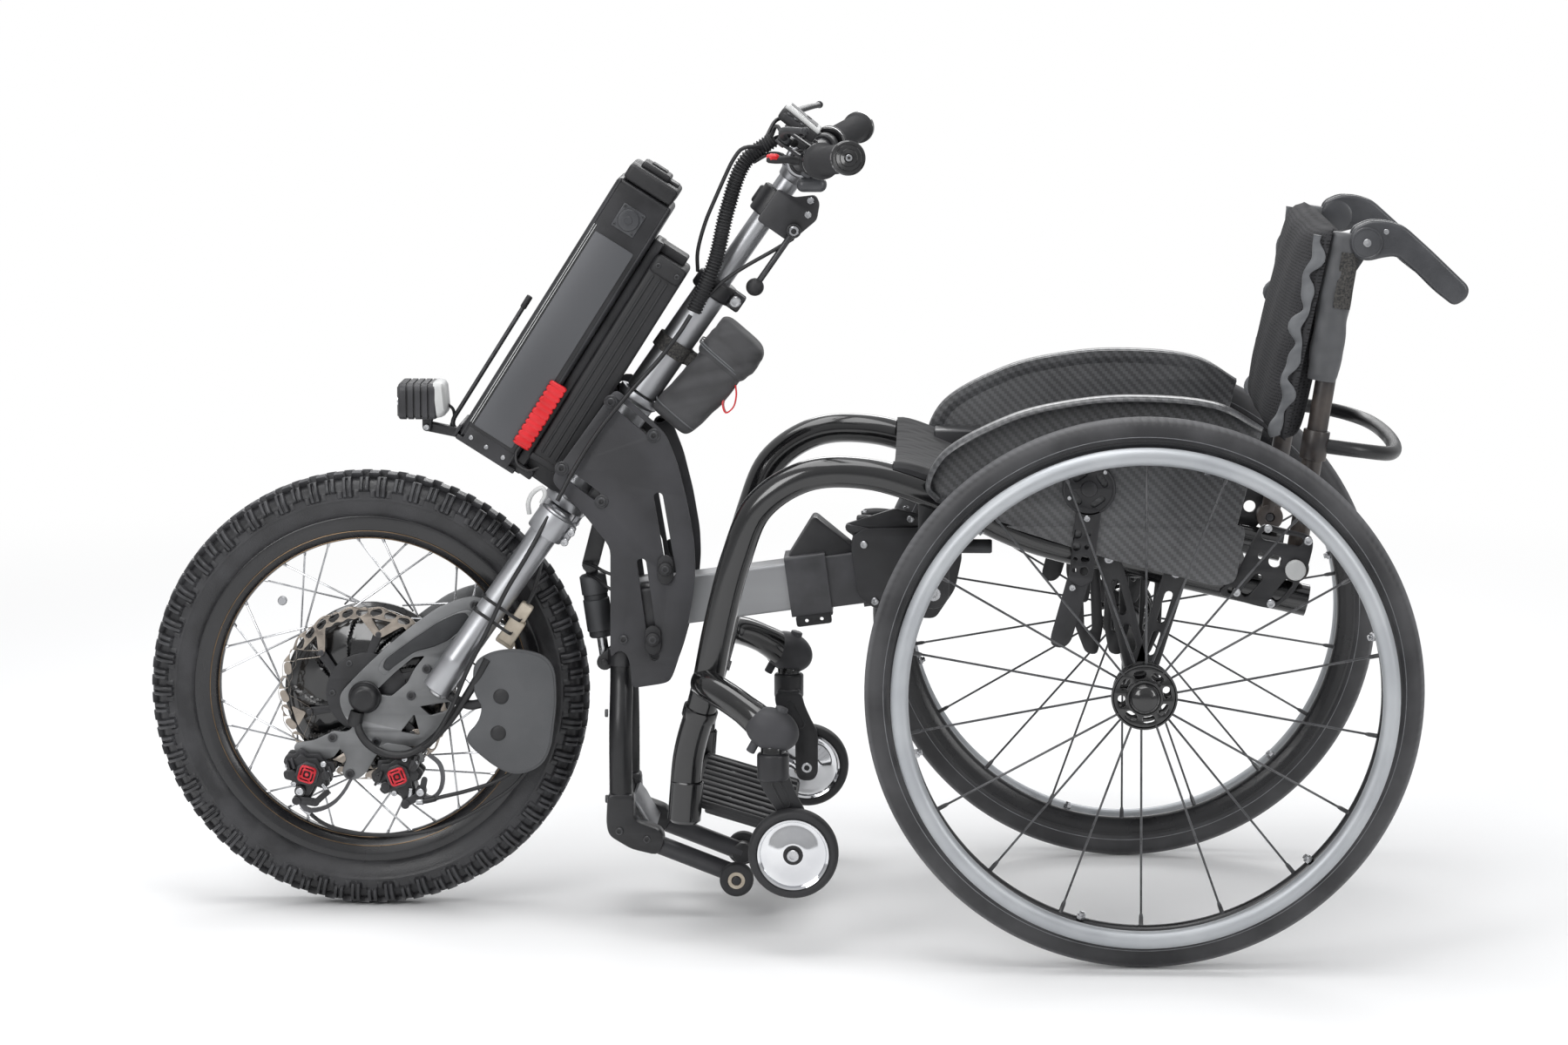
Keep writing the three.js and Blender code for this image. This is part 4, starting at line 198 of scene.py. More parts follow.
# A closed section (across, up) carried along a path: place + scale * (across * side + up * other side).
def sweep(path, section, scale=1.0, closed=False):
    path = np.asarray(path, float)
    sides, ups = framesAlong(path, closed)
    scale = np.broadcast_to(np.asarray(scale, float), (len(path),))[:, None, None]
    section = np.asarray(section, float)
    points = path[:, None] + scale * (
        sides[:, None] * section[None, :, :1] + ups[:, None] * section[None, :, 1:])
    return gridShell(points, closeU=True, closeV=True) if closed else cappedGrid(points)


# points at even turns round a circle
def circle(radius, sides, phase=0.0):
    turn = np.linspace(0, 2 * math.pi, sides, endpoint=False) + phase
    return np.stack([radius * np.cos(turn), radius * np.sin(turn)], axis=-1)


# the same for an oval, the four corners of a rectangle, and a ball's profile: a half circle
def oval(across, up, sides):
    return circle(1.0, sides) * (across, up)


def rectangle(width, height):
    return np.array([(-1, -1), (1, -1), (1, 1), (-1, 1)]) * (width / 2, height / 2)


def ballProfile(radius, steps):
    turn = np.linspace(-math.pi / 2, math.pi / 2, steps)
    return np.stack([radius * np.cos(turn), radius * np.sin(turn)], axis=-1)


# an outline drawn in towards its middle
def drawnIn(loop, share):
    middle = loop.mean(axis=0)
    return middle + (loop - middle) * share


# A circle carried along a path; its radius may change from step to step.
def tube(path, radius, sides=20, closed=False):
    return sweep(path, circle(1.0, sides), radius, closed)


# A profile of (radius, along) turned round an axis: origin + radius * (cos, sin) + axis * along.
def spun(profile, origin=(0, 0, 0), axis=(0, 1, 0), sides=48, closed=False):
    profile = np.asarray(profile, float)
    axis = unit(np.asarray(axis, float))
    first = unit(np.cross(axis, (0, 0, 1) if abs(axis[2]) < 0.9 else (1, 0, 0)))
    second = np.cross(axis, first)
    turn = np.linspace(0, 2 * math.pi, sides, endpoint=False)[:, None, None]
    around = first * np.cos(turn) + second * np.sin(turn)
    points = np.asarray(origin, float) + around * profile[None, :, :1] + axis * profile[None, :, 1:]
    return gridShell(points, closeU=True, closeV=closed)


# a collar: a closed profile with softened corners turned round an axis
def roundedRing(profile, rounding, origin=(0, 0, 0), axis=(0, 1, 0), sides=48):
    return spun(softCorners(profile, rounding, 3), origin, axis, sides, closed=True)


# A round bar with softened ends: a spun profile from the start to the end.
def rod(start, end, radius, bevel=0.8, sides=24):
    start, end = np.asarray(start, float), np.asarray(end, float)
    length = np.linalg.norm(end - start)
    bevel = min(bevel, length / 3, radius / 2)
    half = [(0, 0), (radius - bevel, 0), (radius - bevel * 0.3, bevel * 0.3), (radius, bevel)]
    return spun(half + [(r, length - along) for r, along in half[::-1]], start, end - start, sides)


# the three directions of a block turned about the y axis
def turnedAxes(turn):
    c, s = math.cos(turn), math.sin(turn)
    return np.array([[c, 0, -s], [0, 1, 0], [s, 0, c]])


# A block whose edges are rounded by bevelling a unit cube stretched to size; axes are its own
# three directions.
def boxShell(centre, size, corner=2.0, axes=None, segments=3):
    mesh = bmesh.new()
    bmesh.ops.create_cube(mesh, size=1)
    for vertex in mesh.verts:
        vertex.co = [c * s for c, s in zip(vertex.co, size)]
    corner = min(corner, min(size) * 0.49)
    if corner > 0:
        bmesh.ops.bevel(mesh, geom=mesh.edges[:], offset=corner, segments=segments, profile=0.5,
                        affect="EDGES")
    mesh.verts.index_update()
    corners = np.array([vertex.co[:] for vertex in mesh.verts])
    faces = [[vertex.index for vertex in face.verts] for face in mesh.faces]
    mesh.free()
    if axes is not None:
        corners = corners @ np.asarray(axes, float)
    return corners + np.asarray(centre, float), faces


# An outline (x, z) with holes, filled and raised from y = low to y = high, with softened edges.
def plateShell(outline, low, high, bevel=0.6, holes=(), rounds=1):
    data = bpy.data.curves.new("outline", "CURVE")
    data.dimensions, data.fill_mode = "2D", "BOTH"
    bevel = min(bevel, (high - low) * 0.45)
    data.extrude = (high - low) / 2 - bevel
    data.bevel_depth, data.bevel_resolution, data.offset = bevel, rounds, -bevel
    for loop in [outline, *holes]:
        loop = np.asarray(loop, float)
        spline = data.splines.new("POLY")
        spline.points.add(len(loop) - 1)
        spline.points.foreach_set("co", np.column_stack([
            loop, np.zeros(len(loop)), np.ones(len(loop))]).ravel())
        spline.use_cyclic_u = True
    holder = bpy.data.objects.new("outline", data)
    bpy.context.scene.collection.objects.link(holder)
    evaluated = holder.evaluated_get(bpy.context.evaluated_depsgraph_get())
    flat = evaluated.to_mesh()
    corners = np.empty(len(flat.vertices) * 3)
    flat.vertices.foreach_get("co", corners)
    corners = corners.reshape(-1, 3)
    faces = [list(polygon.vertices) for polygon in flat.polygons]
    evaluated.to_mesh_clear()
    bpy.data.objects.remove(holder)
    bpy.data.curves.remove(data)
    middle = (low + high) / 2
    corners = np.stack([corners[:, 0], middle - corners[:, 2], corners[:, 1]], axis=-1)
    return corners, faces


# The outline of a slot: a half circle round each of its two ends.
def slotLoop(start, end, width, steps=9):
    start, end = vec(*start), vec(*end)
    turn = math.atan2(*(end - start)[::-1])
    sweepEnd = np.linspace(-math.pi / 2, math.pi / 2, steps) + turn
    cap = np.stack([np.cos(sweepEnd), np.sin(sweepEnd)], axis=-1) * width / 2
    return np.vstack([end + cap, start - cap])


# a round hole's outline
def hole(x, z, radius, sides=20):
    return circle(radius, sides) + (x, z)


# shares of a width and height become places from a corner
def spread(shares, width, height, x, z):
    return np.asarray(shares, float) * (width, height) + (x, z)


# A cap screw: a spun head whose profile turns in at the rim and drops into a socket.
def screw(place, direction, radius, height, sides=20):
    bevel = min(radius, height) * 0.25
    inner = radius * 0.55
    return spun([
        (0, -0.5), (radius, -0.5), (radius, height - bevel), (radius - bevel, height), (inner, height),
        (inner * 0.96, height * 0.45), (0, height * 0.35),
    ], place, direction, sides)


# the same shell moved, mirrored over y = 0, given on both sides, or turned onto the steering axis
def movedBy(shell, offset):
    return shell[0] + np.asarray(offset, float), shell[1]


def mirrored(shell):
    return shell[0] * (1, -1, 1), shell[1]


def bothSides(shells):
    return shells + [mirrored(shell) for shell in shells]


# shells are made for the near side, where y is below 0; the far side takes their mirror image
sideNames = ((1, "left"), (-1, "right"))


def onSide(shells, side):
    return shells if side > 0 else [mirrored(shell) for shell in shells]


def mastShells(shells):
    return [(onMast(corners), faces) for corners, faces in shells]


# Shells joined to one mesh in the model's frame, doubles merged, faces turned outward, riding on a body.
def addPiece(name, body, finish, shells, replaced=(), sharp=38, weld=0.004):
    corners, faces, start = [], [], 0
    for points, polygons in shells:
        corners.append(points)
        faces.extend([[index + start for index in polygon] for polygon in polygons])
        start += len(points)
    mesh = bpy.data.meshes.new(name)
    mesh.from_pydata(toModel(np.vstack(corners)).tolist(), [], faces)
    work = bmesh.new()
    work.from_mesh(mesh)
    bmesh.ops.remove_doubles(work, verts=work.verts, dist=weld / 1000)
    bmesh.ops.recalc_face_normals(work, faces=work.faces)
    work.to_mesh(mesh)
    work.free()
    mesh.polygons.foreach_set("use_smooth", np.ones(len(mesh.polygons), bool))
    mesh.set_sharp_from_angle(angle=math.radians(sharp))
    mesh.materials.append(finishes[finish])
    piece = bpy.data.objects.new(name, mesh)
    bpy.context.scene.collection.objects.link(piece)
    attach(piece, body)
    if replaced:
        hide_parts(*([replaced] if isinstance(replaced, str) else replaced))
    return piece


# sRGB hex to linear: a power of 2.4 above the straight toe
def hexLinear(text):
    share = [int(text[i:i + 2], 16) / 255 for i in (1, 3, 5)]
    return tuple(s / 12.92 if s <= 0.04045 else ((s + 0.055) / 1.055) ** 2.4 for s in share) + (1.0,)


# One node with its own settings; an input is a number, a colour or another node's output.
def addNode(tree, kind, inputs=None, **settings):
    node = tree.nodes.new("ShaderNode" + kind)
    for key, value in settings.items():
        setattr(node, key, value)
    for key, value in (inputs or {}).items():
        if isinstance(value, bpy.types.NodeSocket):
            tree.links.new(value, node.inputs[key])
        else:
            node.inputs[key].default_value = value
    return node


# the value of one arithmetic step
def mathValue(tree, operation, *values, clamp=False):
    node = addNode(tree, "Math", dict(enumerate(values)), operation=operation, use_clamp=clamp)
    return node.outputs["Value"]


shaderSockets = {
    "metallic": "Metallic", "specular": "Specular IOR Level", "ior": "IOR",
    "coat": "Coat Weight", "coatRoughness": "Coat Roughness", "sheen": "Sheen Weight",
}


# A surface finish. Its colour drifts between two near tones in clouds, its roughness in smaller
# ones, and a fine grain lifts the light; lengths are in millimetres. A pattern may add its own
# share of the second colour and its own height.
def makeFinish(name, look):
    material = bpy.data.materials.new(name)
    material.use_nodes = True
    tree = material.node_tree
    shader = tree.nodes["Principled BSDF"]
    place = addNode(tree, "TexCoord").outputs["Object"]
    stretch = addNode(tree, "Mapping",
                      {"Vector": place, "Scale": look.get("stretch", (1, 1, 1))}).outputs["Vector"]
    cloud = addNode(tree, "TexNoise", {"Vector": stretch, "Scale": 1000 / look["cloud"],
                                       "Detail": 3.0}).outputs["Fac"]
    grain = addNode(tree, "TexNoise", {"Vector": stretch, "Scale": 1000 / look["grain"],
                                       "Detail": 2.0}).outputs["Fac"]
    share = addNode(tree, "MapRange",
                    {"Value": cloud, "From Min": 0.38, "From Max": 0.64}).outputs["Result"]
    height = grain
    if "pattern" in look:
        patternShare, patternHeight, amount = look["pattern"](tree, place)
        share = mathValue(tree, "MULTIPLY", share, 0.35)
        share = mathValue(tree, "ADD", share, patternShare, clamp=True)
        height = mathValue(tree, "MULTIPLY_ADD", grain, amount, patternHeight)
    colour = addNode(tree, "Mix", {"Factor": share, 6: hexLinear(look["color"]),
                                   7: hexLinear(look["second"])},
                     data_type="RGBA").outputs[2]
    if look.get("edgeWearAndGlint"):
        # edges turn paler, a little unevenly: rubbed wear on the metal and coated finishes, a painted
        # highlight on the tread blocks
        edge = addNode(tree, "NewGeometry").outputs["Pointiness"]
        edgeWearAndGlintShare = addNode(tree, "MapRange", {"Value": edge, "From Min": 0.53, "From Max": 0.62,
                                            "To Max": 0.75}).outputs["Result"]
        edgeWearAndGlintShare = mathValue(tree, "MULTIPLY", edgeWearAndGlintShare, cloud, clamp=True)
        colour = addNode(tree, "Mix", {"Factor": edgeWearAndGlintShare, 6: colour, 7: hexLinear(look["edgeWearAndGlint"])},
                         data_type="RGBA").outputs[2]
    tree.links.new(colour, shader.inputs["Base Color"])
    low, high = look["roughness"]
    gloss = addNode(tree, "MapRange", {"Value": cloud, "From Min": 0.35, "From Max": 0.65, "To Min": low,
                                       "To Max": high})
    tree.links.new(gloss.outputs["Result"], shader.inputs["Roughness"])
    bump = addNode(tree, "Bump", {"Height": height, "Strength": look.get("lift", 0.5),
                                  "Distance": look["depth"] / 1000})
    tree.links.new(bump.outputs["Normal"], shader.inputs["Normal"])
    for key, socket in shaderSockets.items():
        if key in look:
            shader.inputs[socket].default_value = look[key]
    return material


# Twill laminate: tows run two ways in the plane of the guard, each over two and under two, so the
# crossing places (column + row) modulo 4 make slanting bands of light and dark.
def twill(tree, place):
    tow = 3.0  # mm, a little coarser than the real 2 mm so that it shows
    axes = addNode(tree, "SeparateXYZ", {"Vector": place}).outputs
    column = mathValue(tree, "MULTIPLY", axes["X"], 1000 / tow)
    row = mathValue(tree, "MULTIPLY", axes["Z"], 1000 / tow)
    cells = [mathValue(tree, "FLOOR", way) for way in (column, row)]
    total = mathValue(tree, "ADD", cells[0], cells[1])
    phase = mathValue(tree, "FLOORED_MODULO", total, 4.0)
    over = mathValue(tree, "LESS_THAN", phase, 1.5)
    rounds = [mathValue(tree, "PINGPONG", way, 1.0) for way in (column, row)]
    height = addNode(tree, "Mix", {"Factor": over, 2: rounds[0], 3: rounds[1]},
                     data_type="FLOAT").outputs[0]
    share = mathValue(tree, "MULTIPLY", over, 0.5)
    return share, height, 0.1


# Woven cloth: two sets of ridges at right angles along slanting axes, so that it shows on any side.
def weave(spacing, strength=0.45):
    def pattern(tree, place):
        waves = []
        for turn in ((0.35, 0.2, 0.1), (0.35, 0.2, math.pi / 2 + 0.1)):
            turned = addNode(tree, "Mapping", {"Vector": place, "Rotation": turn}).outputs["Vector"]
            waves.append(addNode(tree, "TexWave", {
                "Vector": turned, "Scale": 1000 / spacing / 20, "Distortion": 0.6, "Detail": 1.0,
                "Detail Scale": 2.0},
                bands_direction="Z" if turn[2] < 1 else "X").outputs["Fac"])
        height = mathValue(tree, "MAXIMUM", waves[0], waves[1])
        share = mathValue(tree, "MULTIPLY", height, strength)
        return share, height, 0.3
    return pattern


# Spacer mesh: round openings in a packed lattice, dark inside.
def openMesh(tree, place):
    flat = addNode(tree, "VectorMath", {0: place, 1: (0, 1, 1)}, operation="MULTIPLY").outputs["Vector"]
    cells = addNode(tree, "TexVoronoi",
                    {"Vector": flat, "Scale": 1000 / 3.4, "Randomness": 0.3}).outputs["Distance"]
    share = addNode(tree, "MapRange", {"Value": cells, "From Min": 0.2, "From Max": 0.42}).outputs["Result"]
    return share, share, 0.2


# Painted light and shade on the rubber: a share that rises with the distance from the axle at (x, z),
#  here in metres, so the crown and block tops that face the lamps read paler and the grooves and sides
#  darker.
def paintedCrownLight(x, z, low, high):
    def pattern(tree, place):
        offset = addNode(tree, "VectorMath", {0: place, 1: (x, 0, z)},
                         operation="SUBTRACT").outputs["Vector"]
        flat = addNode(tree, "VectorMath", {0: offset, 1: (1, 0, 1)},
                       operation="MULTIPLY").outputs["Vector"]
        reach = addNode(tree, "VectorMath", {0: flat}, operation="LENGTH").outputs["Value"]
        share = addNode(tree, "MapRange", {"Value": reach, "From Min": low, "From Max": high,
                                           "To Max": 0.8}).outputs["Result"]
        return share, share, 1.0
    return pattern


# what each finish looks like; lengths in millimetres, colours as seen on the photographed parts
looks = {
    # natural rubber tread compound: dull black, a little paler in random clouds; the paler block tops and
    # darker grooves are painted light and shade, the paler block edges a painted highlight
    "treadRubber": {
        "color": "#262628", "second": "#4c4c4f", "cloud": 34, "grain": 1.6, "depth": 0.5, "lift": 0.6,
        "roughness": (0.36, 0.52), "edgeWearAndGlint": "#707175", "specular": 0.5,
        "pattern": paintedCrownLight(-0.4813, 0.249, 0.2415, 0.249)},
    # smoother moulded rubber of the wheelchair tyres: grey-black, soft sheen; its crown is painted paler as
    # painted light from above
    "slickRubber": {
        "color": "#2f2f31", "second": "#5e5e60", "cloud": 60, "grain": 2.0, "depth": 0.25,
        "roughness": (0.46, 0.6),
        "specular": 0.45, "pattern": paintedCrownLight(0.3815, 0.298, 0.2925, 0.2965)},
    # soft moulded elastomer of the grips and rollers
    "gripRubber": {
        "color": "#222224", "second": "#2d2d2f", "cloud": 25, "grain": 1.2, "depth": 0.3,
        "roughness": (0.55, 0.75)},
    # aluminium, blasted and black anodised: satin, edges rubbed slightly pale
    "blackAnodised": {
        "color": "#18181a", "second": "#222225", "cloud": 40, "grain": 0.9, "depth": 0.12,
        "roughness": (0.34, 0.46),
        "edgeWearAndGlint": "#6a6a6e", "specular": 0.5},
    # rim extrusion, bright-dipped before its black anodising, so it mirrors softly
    "rimAnodised": {
        "color": "#1b1b1d", "second": "#242426", "cloud": 60, "grain": 1.0, "depth": 0.05,
        "roughness": (0.22, 0.32),
        "specular": 0.6},
    # gold-tinted edge of the rim where the dye is thin
    "bronzeEdge": {
        "color": "#6b5a48", "second": "#806c56", "cloud": 30, "grain": 1.0, "depth": 0.03, "metallic": 1.0,
        "roughness": (0.28, 0.4)},
    # powder coat on the steel tubes: deep gloss black with faint orange peel
    "glossCoat": {
        "color": "#0b0b0c", "second": "#111113", "cloud": 90, "grain": 3.5, "depth": 0.06, "lift": 0.3,
        "roughness": (0.16, 0.24), "coat": 0.7, "coatRoughness": 0.06},
    # fine-textured near-black coat on the cut plates
    "satinCoat": {
        "color": "#353537", "second": "#404043", "cloud": 70, "grain": 1.1, "depth": 0.16,
        "roughness": (0.44, 0.56),
        "edgeWearAndGlint": "#6f7074", "specular": 0.35},
    # semi-gloss black enamel of the stand and struts
    "standEnamel": {
        "color": "#19191b", "second": "#232325", "cloud": 50, "grain": 1.4, "depth": 0.1,
        "roughness": (0.3, 0.42),
        "edgeWearAndGlint": "#5a5a5e"},
    # clear anodised aluminium: silver-grey, faint drawn lines along the tube
    "silverAlloy": {
        "color": "#a3a4a7", "second": "#b2b3b6", "cloud": 45, "grain": 1.0, "depth": 0.06, "metallic": 0.9,
        "roughness": (0.34, 0.46), "stretch": (0.5, 1, 0.5)},
    # titanium-grey anodised plate of the fork ends
    "plateAlloy": {
        "color": "#6c6d6e", "second": "#7b7c7d", "cloud": 40, "grain": 0.8, "depth": 0.08, "metallic": 0.75,
        "roughness": (0.4, 0.52), "edgeWearAndGlint": "#c9cacc"},
    # brushed grey alloy of the docking beam
    "beamAlloy": {
        "color": "#999a9c", "second": "#a6a7a9", "cloud": 60, "grain": 0.8, "depth": 0.08, "metallic": 0.7,
        "roughness": (0.42, 0.5), "stretch": (0.06, 1, 1)},
    # dark anodised alloy of the drive and the backrest parts
    "darkAlloy": {
        "color": "#2f3032", "second": "#3b3c3e", "cloud": 40, "grain": 1.0, "depth": 0.1, "metallic": 0.4,
        "roughness": (0.38, 0.5), "edgeWearAndGlint": "#7c7d80"},
    # lacquered tube of the backrest, brownish where the light passes the lacquer
    "caneLacquer": {
        "color": "#232021", "second": "#3d3632", "cloud": 26, "grain": 1.0, "depth": 0.08,
        "roughness": (0.3, 0.44),
        "edgeWearAndGlint": "#6d6660"},
    # ground and polished steel: bolts, spokes, rods
    "steel": {
        "color": "#b4b5b8", "second": "#c6c7c9", "cloud": 12, "grain": 0.7, "depth": 0.04, "metallic": 1.0,
        "roughness": (0.2, 0.32)},
    # ground stainless steel of the brake disc: warm grey
    "discSteel": {
        "color": "#8d857d", "second": "#a39a90", "cloud": 14, "grain": 0.6, "depth": 0.05, "metallic": 1.0,
        "roughness": (0.24, 0.38)},
    # black-oxided steel: bolts and wheelchair spokes
    "blackSteel": {
        "color": "#17171a", "second": "#222224", "cloud": 10, "grain": 0.8, "depth": 0.06,
        "roughness": (0.26, 0.4),
        "edgeWearAndGlint": "#77787b"},
    # polished and plated castor rim: mirror bright
    "chrome": {
        "color": "#d5d6d9", "second": "#e0e1e3", "cloud": 30, "grain": 2.0, "depth": 0.01, "metallic": 1.0,
        "roughness": (0.05, 0.1)},
    # silver anodised hand rim: pale, satin
    "handRim": {
        "color": "#a9acb0", "second": "#b7babd", "cloud": 80, "grain": 1.2, "depth": 0.05, "metallic": 0.6,
        "roughness": (0.42, 0.52)},
    # moulded glass-filled nylon: black, fine spark texture
    "blackNylon": {
        "color": "#1b1b1d", "second": "#242426", "cloud": 30, "grain": 0.9, "depth": 0.2,
        "roughness": (0.48, 0.62)},
    # vacuum-formed cover of the motor guard: mid dark grey, leather-like grain
    "guardPlastic": {
        "color": "#4c4d4f", "second": "#555658", "cloud": 60, "grain": 1.5, "depth": 0.3,
        "roughness": (0.5, 0.6),
        "specular": 0.4},
    # soft-touch grey of the folding handles
    "handlePlastic": {
        "color": "#3a3b3e", "second": "#46474a", "cloud": 40, "grain": 1.1, "depth": 0.12,
        "roughness": (0.26, 0.36)},
    # satin lining cloth of the sleeves round the canes: grey, faintly shiny along its folds
    "sleeveCloth": {
        "color": "#434446", "second": "#525356", "cloud": 30, "grain": 1.0, "depth": 0.3, "lift": 0.6,
        "roughness": (0.46, 0.58), "sheen": 0.2, "pattern": weave(2.6, 0.25)},
    # rubber-sheathed brake and motor cables
    "cableSheath": {
        "color": "#161618", "second": "#202022", "cloud": 15, "grain": 1.0, "depth": 0.1,
        "roughness": (0.34, 0.5)},
    # red moulded ABS of the clip and the thumb lever
    "redPlastic": {
        "color": "#c8141b", "second": "#d8222a", "cloud": 20, "grain": 1.2, "depth": 0.08,
        "roughness": (0.32, 0.42)},
    # red anodised adjusting knobs of the calipers
    "redAnodised": {
        "color": "#b31f2a", "second": "#d4404a", "cloud": 8, "grain": 0.6, "depth": 0.05, "metallic": 0.5,
        "roughness": (0.28, 0.4)},
    # ivory nylon of the cable connectors and roller bushes
    "ivoryNylon": {
        "color": "#b1a695", "second": "#c2b8a8", "cloud": 12, "grain": 0.8, "depth": 0.1,
        "roughness": (0.42, 0.55)},
    # anodised side of the battery housing, pale graphite
    "packSide": {
        "color": "#525356", "second": "#5a5b5e", "cloud": 80, "grain": 0.8, "depth": 0.06, "metallic": 0.35,
        "roughness": (0.4, 0.48), "stretch": (0.3, 1, 0.3)},
    # pale moulded shell of the display; the lamp's back takes the same pale colour as a painted highlight
    "paleShell": {
        "color": "#bcbdbd", "second": "#cacbca", "cloud": 30, "grain": 1.0, "depth": 0.08,
        "roughness": (0.35, 0.45)},
    # lamp and screen glass: dark, mirror smooth
    "darkGlass": {
        "color": "#101215", "second": "#16191d", "cloud": 40, "grain": 4.0, "depth": 0.005,
        "roughness": (0.03, 0.07),
        "ior": 1.5, "coat": 0.5, "coatRoughness": 0.02},
    # epoxy laminate with a lacquered twill of carbon tows
    "carbonTwill": {
        "color": "#353537", "second": "#5d5e60", "cloud": 90, "grain": 1.0, "depth": 0.14, "lift": 0.5,
        "roughness": (0.3, 0.4), "coat": 0.35, "coatRoughness": 0.22, "pattern": twill},
    # woven polyester upholstery cloth
    "cloth": {
        "color": "#1f1f20", "second": "#39393b", "cloud": 60, "grain": 1.4, "depth": 0.6, "lift": 0.7,
        "roughness": (0.8, 0.92), "sheen": 0.12, "specular": 0.25, "pattern": weave(2.6)},
    # coarser coated nylon of the bag
    "bagNylon": {
        "color": "#3b3b3c", "second": "#5a5a5c", "cloud": 45, "grain": 1.4, "depth": 0.6, "lift": 0.8,
        "roughness": (0.7, 0.85), "sheen": 0.1, "specular": 0.3, "pattern": weave(3.4, 0.4)},
    # air mesh on the front of the backrest
    "airMesh": {
        "color": "#1a1a1b", "second": "#38383a", "cloud": 60, "grain": 1.0, "depth": 0.5, "lift": 0.6,
        "roughness": (0.8, 0.9), "specular": 0.2, "pattern": openMesh},
    # grey satin piping and its folded edge
    "piping": {
        "color": "#56585b", "second": "#737578", "cloud": 30, "grain": 1.2, "depth": 0.2,
        "roughness": (0.5, 0.65),
        "sheen": 0.15, "pattern": weave(1.8, 0.3)},
    # hook-and-loop strip
    "hookStrip": {
        "color": "#262627", "second": "#4e4c49", "cloud": 2.2, "grain": 1.6, "depth": 0.9, "lift": 0.9,
        "roughness": (0.85, 0.95)},
    # reflective thread moulded into the tyre's side
    "reflexLine": {
        "color": "#6f7073", "second": "#818285", "cloud": 10, "grain": 1.0, "depth": 0.05,
        "roughness": (0.4, 0.5)},
}
finishes = {name: makeFinish(name, look) for name, look in looks.items()}
print("finishes ready:", len(finishes))


# 1 for a ray that comes from the camera, straight or through something clear
def seenByCamera(rays):
    return mathValue(tree, "MAXIMUM", rays["Is Camera Ray"], rays["Is Transmission Ray"])


# The floor is a wide pale disc that fades to plain white where nothing stands on it.
stageLook = {
    "radius": 60.0, "drop": 0.0006, "color": "#f6f6f6", "fadeFrom": 1.1, "fadeTo": 3.4,
    "mirrorShare": 0.25, "skyFrom": "#8c8d8f", "skyTo": "#f2f3f5", "skyLight": 0.75,
}
plainWhite = {"Color": (1, 1, 1, 1), "Strength": 1.0}
floorMesh = bpy.data.meshes.new("studioFloor")
floorCorners = rectangle(2 * stageLook["radius"], 2 * stageLook["radius"])
floorMesh.from_pydata([(x, y, -stageLook["drop"]) for x, y in floorCorners.tolist()], [], [(0, 1, 2, 3)])
floor = bpy.data.objects.new("studioFloor", floorMesh)
bpy.context.scene.collection.objects.link(floor)
floorFinish = bpy.data.materials.new("paperFloor")
floorFinish.use_nodes = True
tree = floorFinish.node_tree
paper = tree.nodes["Principled BSDF"]
paper.inputs["Base Color"].default_value = hexLinear(stageLook["color"])
paper.inputs["Roughness"].default_value = 0.9
paper.inputs["Specular IOR Level"].default_value = 0.1
place = addNode(tree, "TexCoord").outputs["Object"]
reach = addNode(tree, "VectorMath", {0: place}, operation="LENGTH").outputs["Value"]
fade = addNode(tree, "MapRange", {
    "Value": reach, "From Min": stageLook["fadeFrom"], "From Max": stageLook["fadeTo"]},
    interpolation_type="SMOOTHSTEP").outputs["Result"]
away = mathValue(tree, "MULTIPLY", fade, seenByCamera(addNode(tree, "LightPath").outputs))
white = addNode(tree, "Emission", plainWhite).outputs["Emission"]
blended = addNode(tree, "MixShader", {0: away, 1: paper.outputs["BSDF"], 2: white}).outputs["Shader"]
tree.links.new(blended, tree.nodes["Material Output"].inputs["Surface"])
floorMesh.materials.append(floorFinish)

# Even studio light: a bright sky that is white to the camera, and soft boxes that give the edges.
world = bpy.data.worlds.new("studio")
bpy.context.scene.world = world
world.use_nodes = True
tree = world.node_tree
for node in list(tree.nodes):
    tree.nodes.remove(node)
rays = addNode(tree, "LightPath").outputs
mirror = mathValue(tree, "MULTIPLY", rays["Is Glossy Ray"], stageLook["mirrorShare"])
seen = mathValue(tree, "MAXIMUM", seenByCamera(rays), mirror)
rise = addNode(tree, "SeparateXYZ", {"Vector": addNode(tree, "TexCoord").outputs["Generated"]}).outputs["Z"]
skyShare = addNode(tree, "MapRange", {"Value": rise, "From Min": -0.2, "From Max": 0.9}).outputs["Result"]
sky = addNode(tree, "Mix", {
    "Factor": skyShare, 6: hexLinear(stageLook["skyFrom"]), 7: hexLinear(stageLook["skyTo"])},
    data_type="RGBA").outputs[2]
skyLight = addNode(tree, "Background",
                   {"Color": sky, "Strength": stageLook["skyLight"]}).outputs["Background"]
whiteSky = addNode(tree, "Background", plainWhite).outputs["Background"]
mixed = addNode(tree, "MixShader", {0: seen, 1: skyLight, 2: whiteSky}).outputs["Shader"]
tree.links.new(mixed, addNode(tree, "OutputWorld").inputs["Surface"])


# a rectangular soft box at a place, facing a target
def softBox(name, place, target, size, power):
    data = bpy.data.lights.new(name, "AREA")
    data.shape, data.size, data.size_y, data.energy = "RECTANGLE", size[0], size[1], power
    lamp = bpy.data.objects.new(name, data)
    lamp.location = place
    aim = unit(vec(*target) - vec(*place))
    side = unit(np.cross(aim, (0, 0, 1)) if abs(aim[2]) < 0.99 else vec(1, 0, 0))
    up = np.cross(side, aim)
    lamp.rotation_euler = mathutils.Matrix(np.stack([side, up, -aim], axis=1).tolist()).to_euler()
    bpy.context.scene.collection.objects.link(lamp)


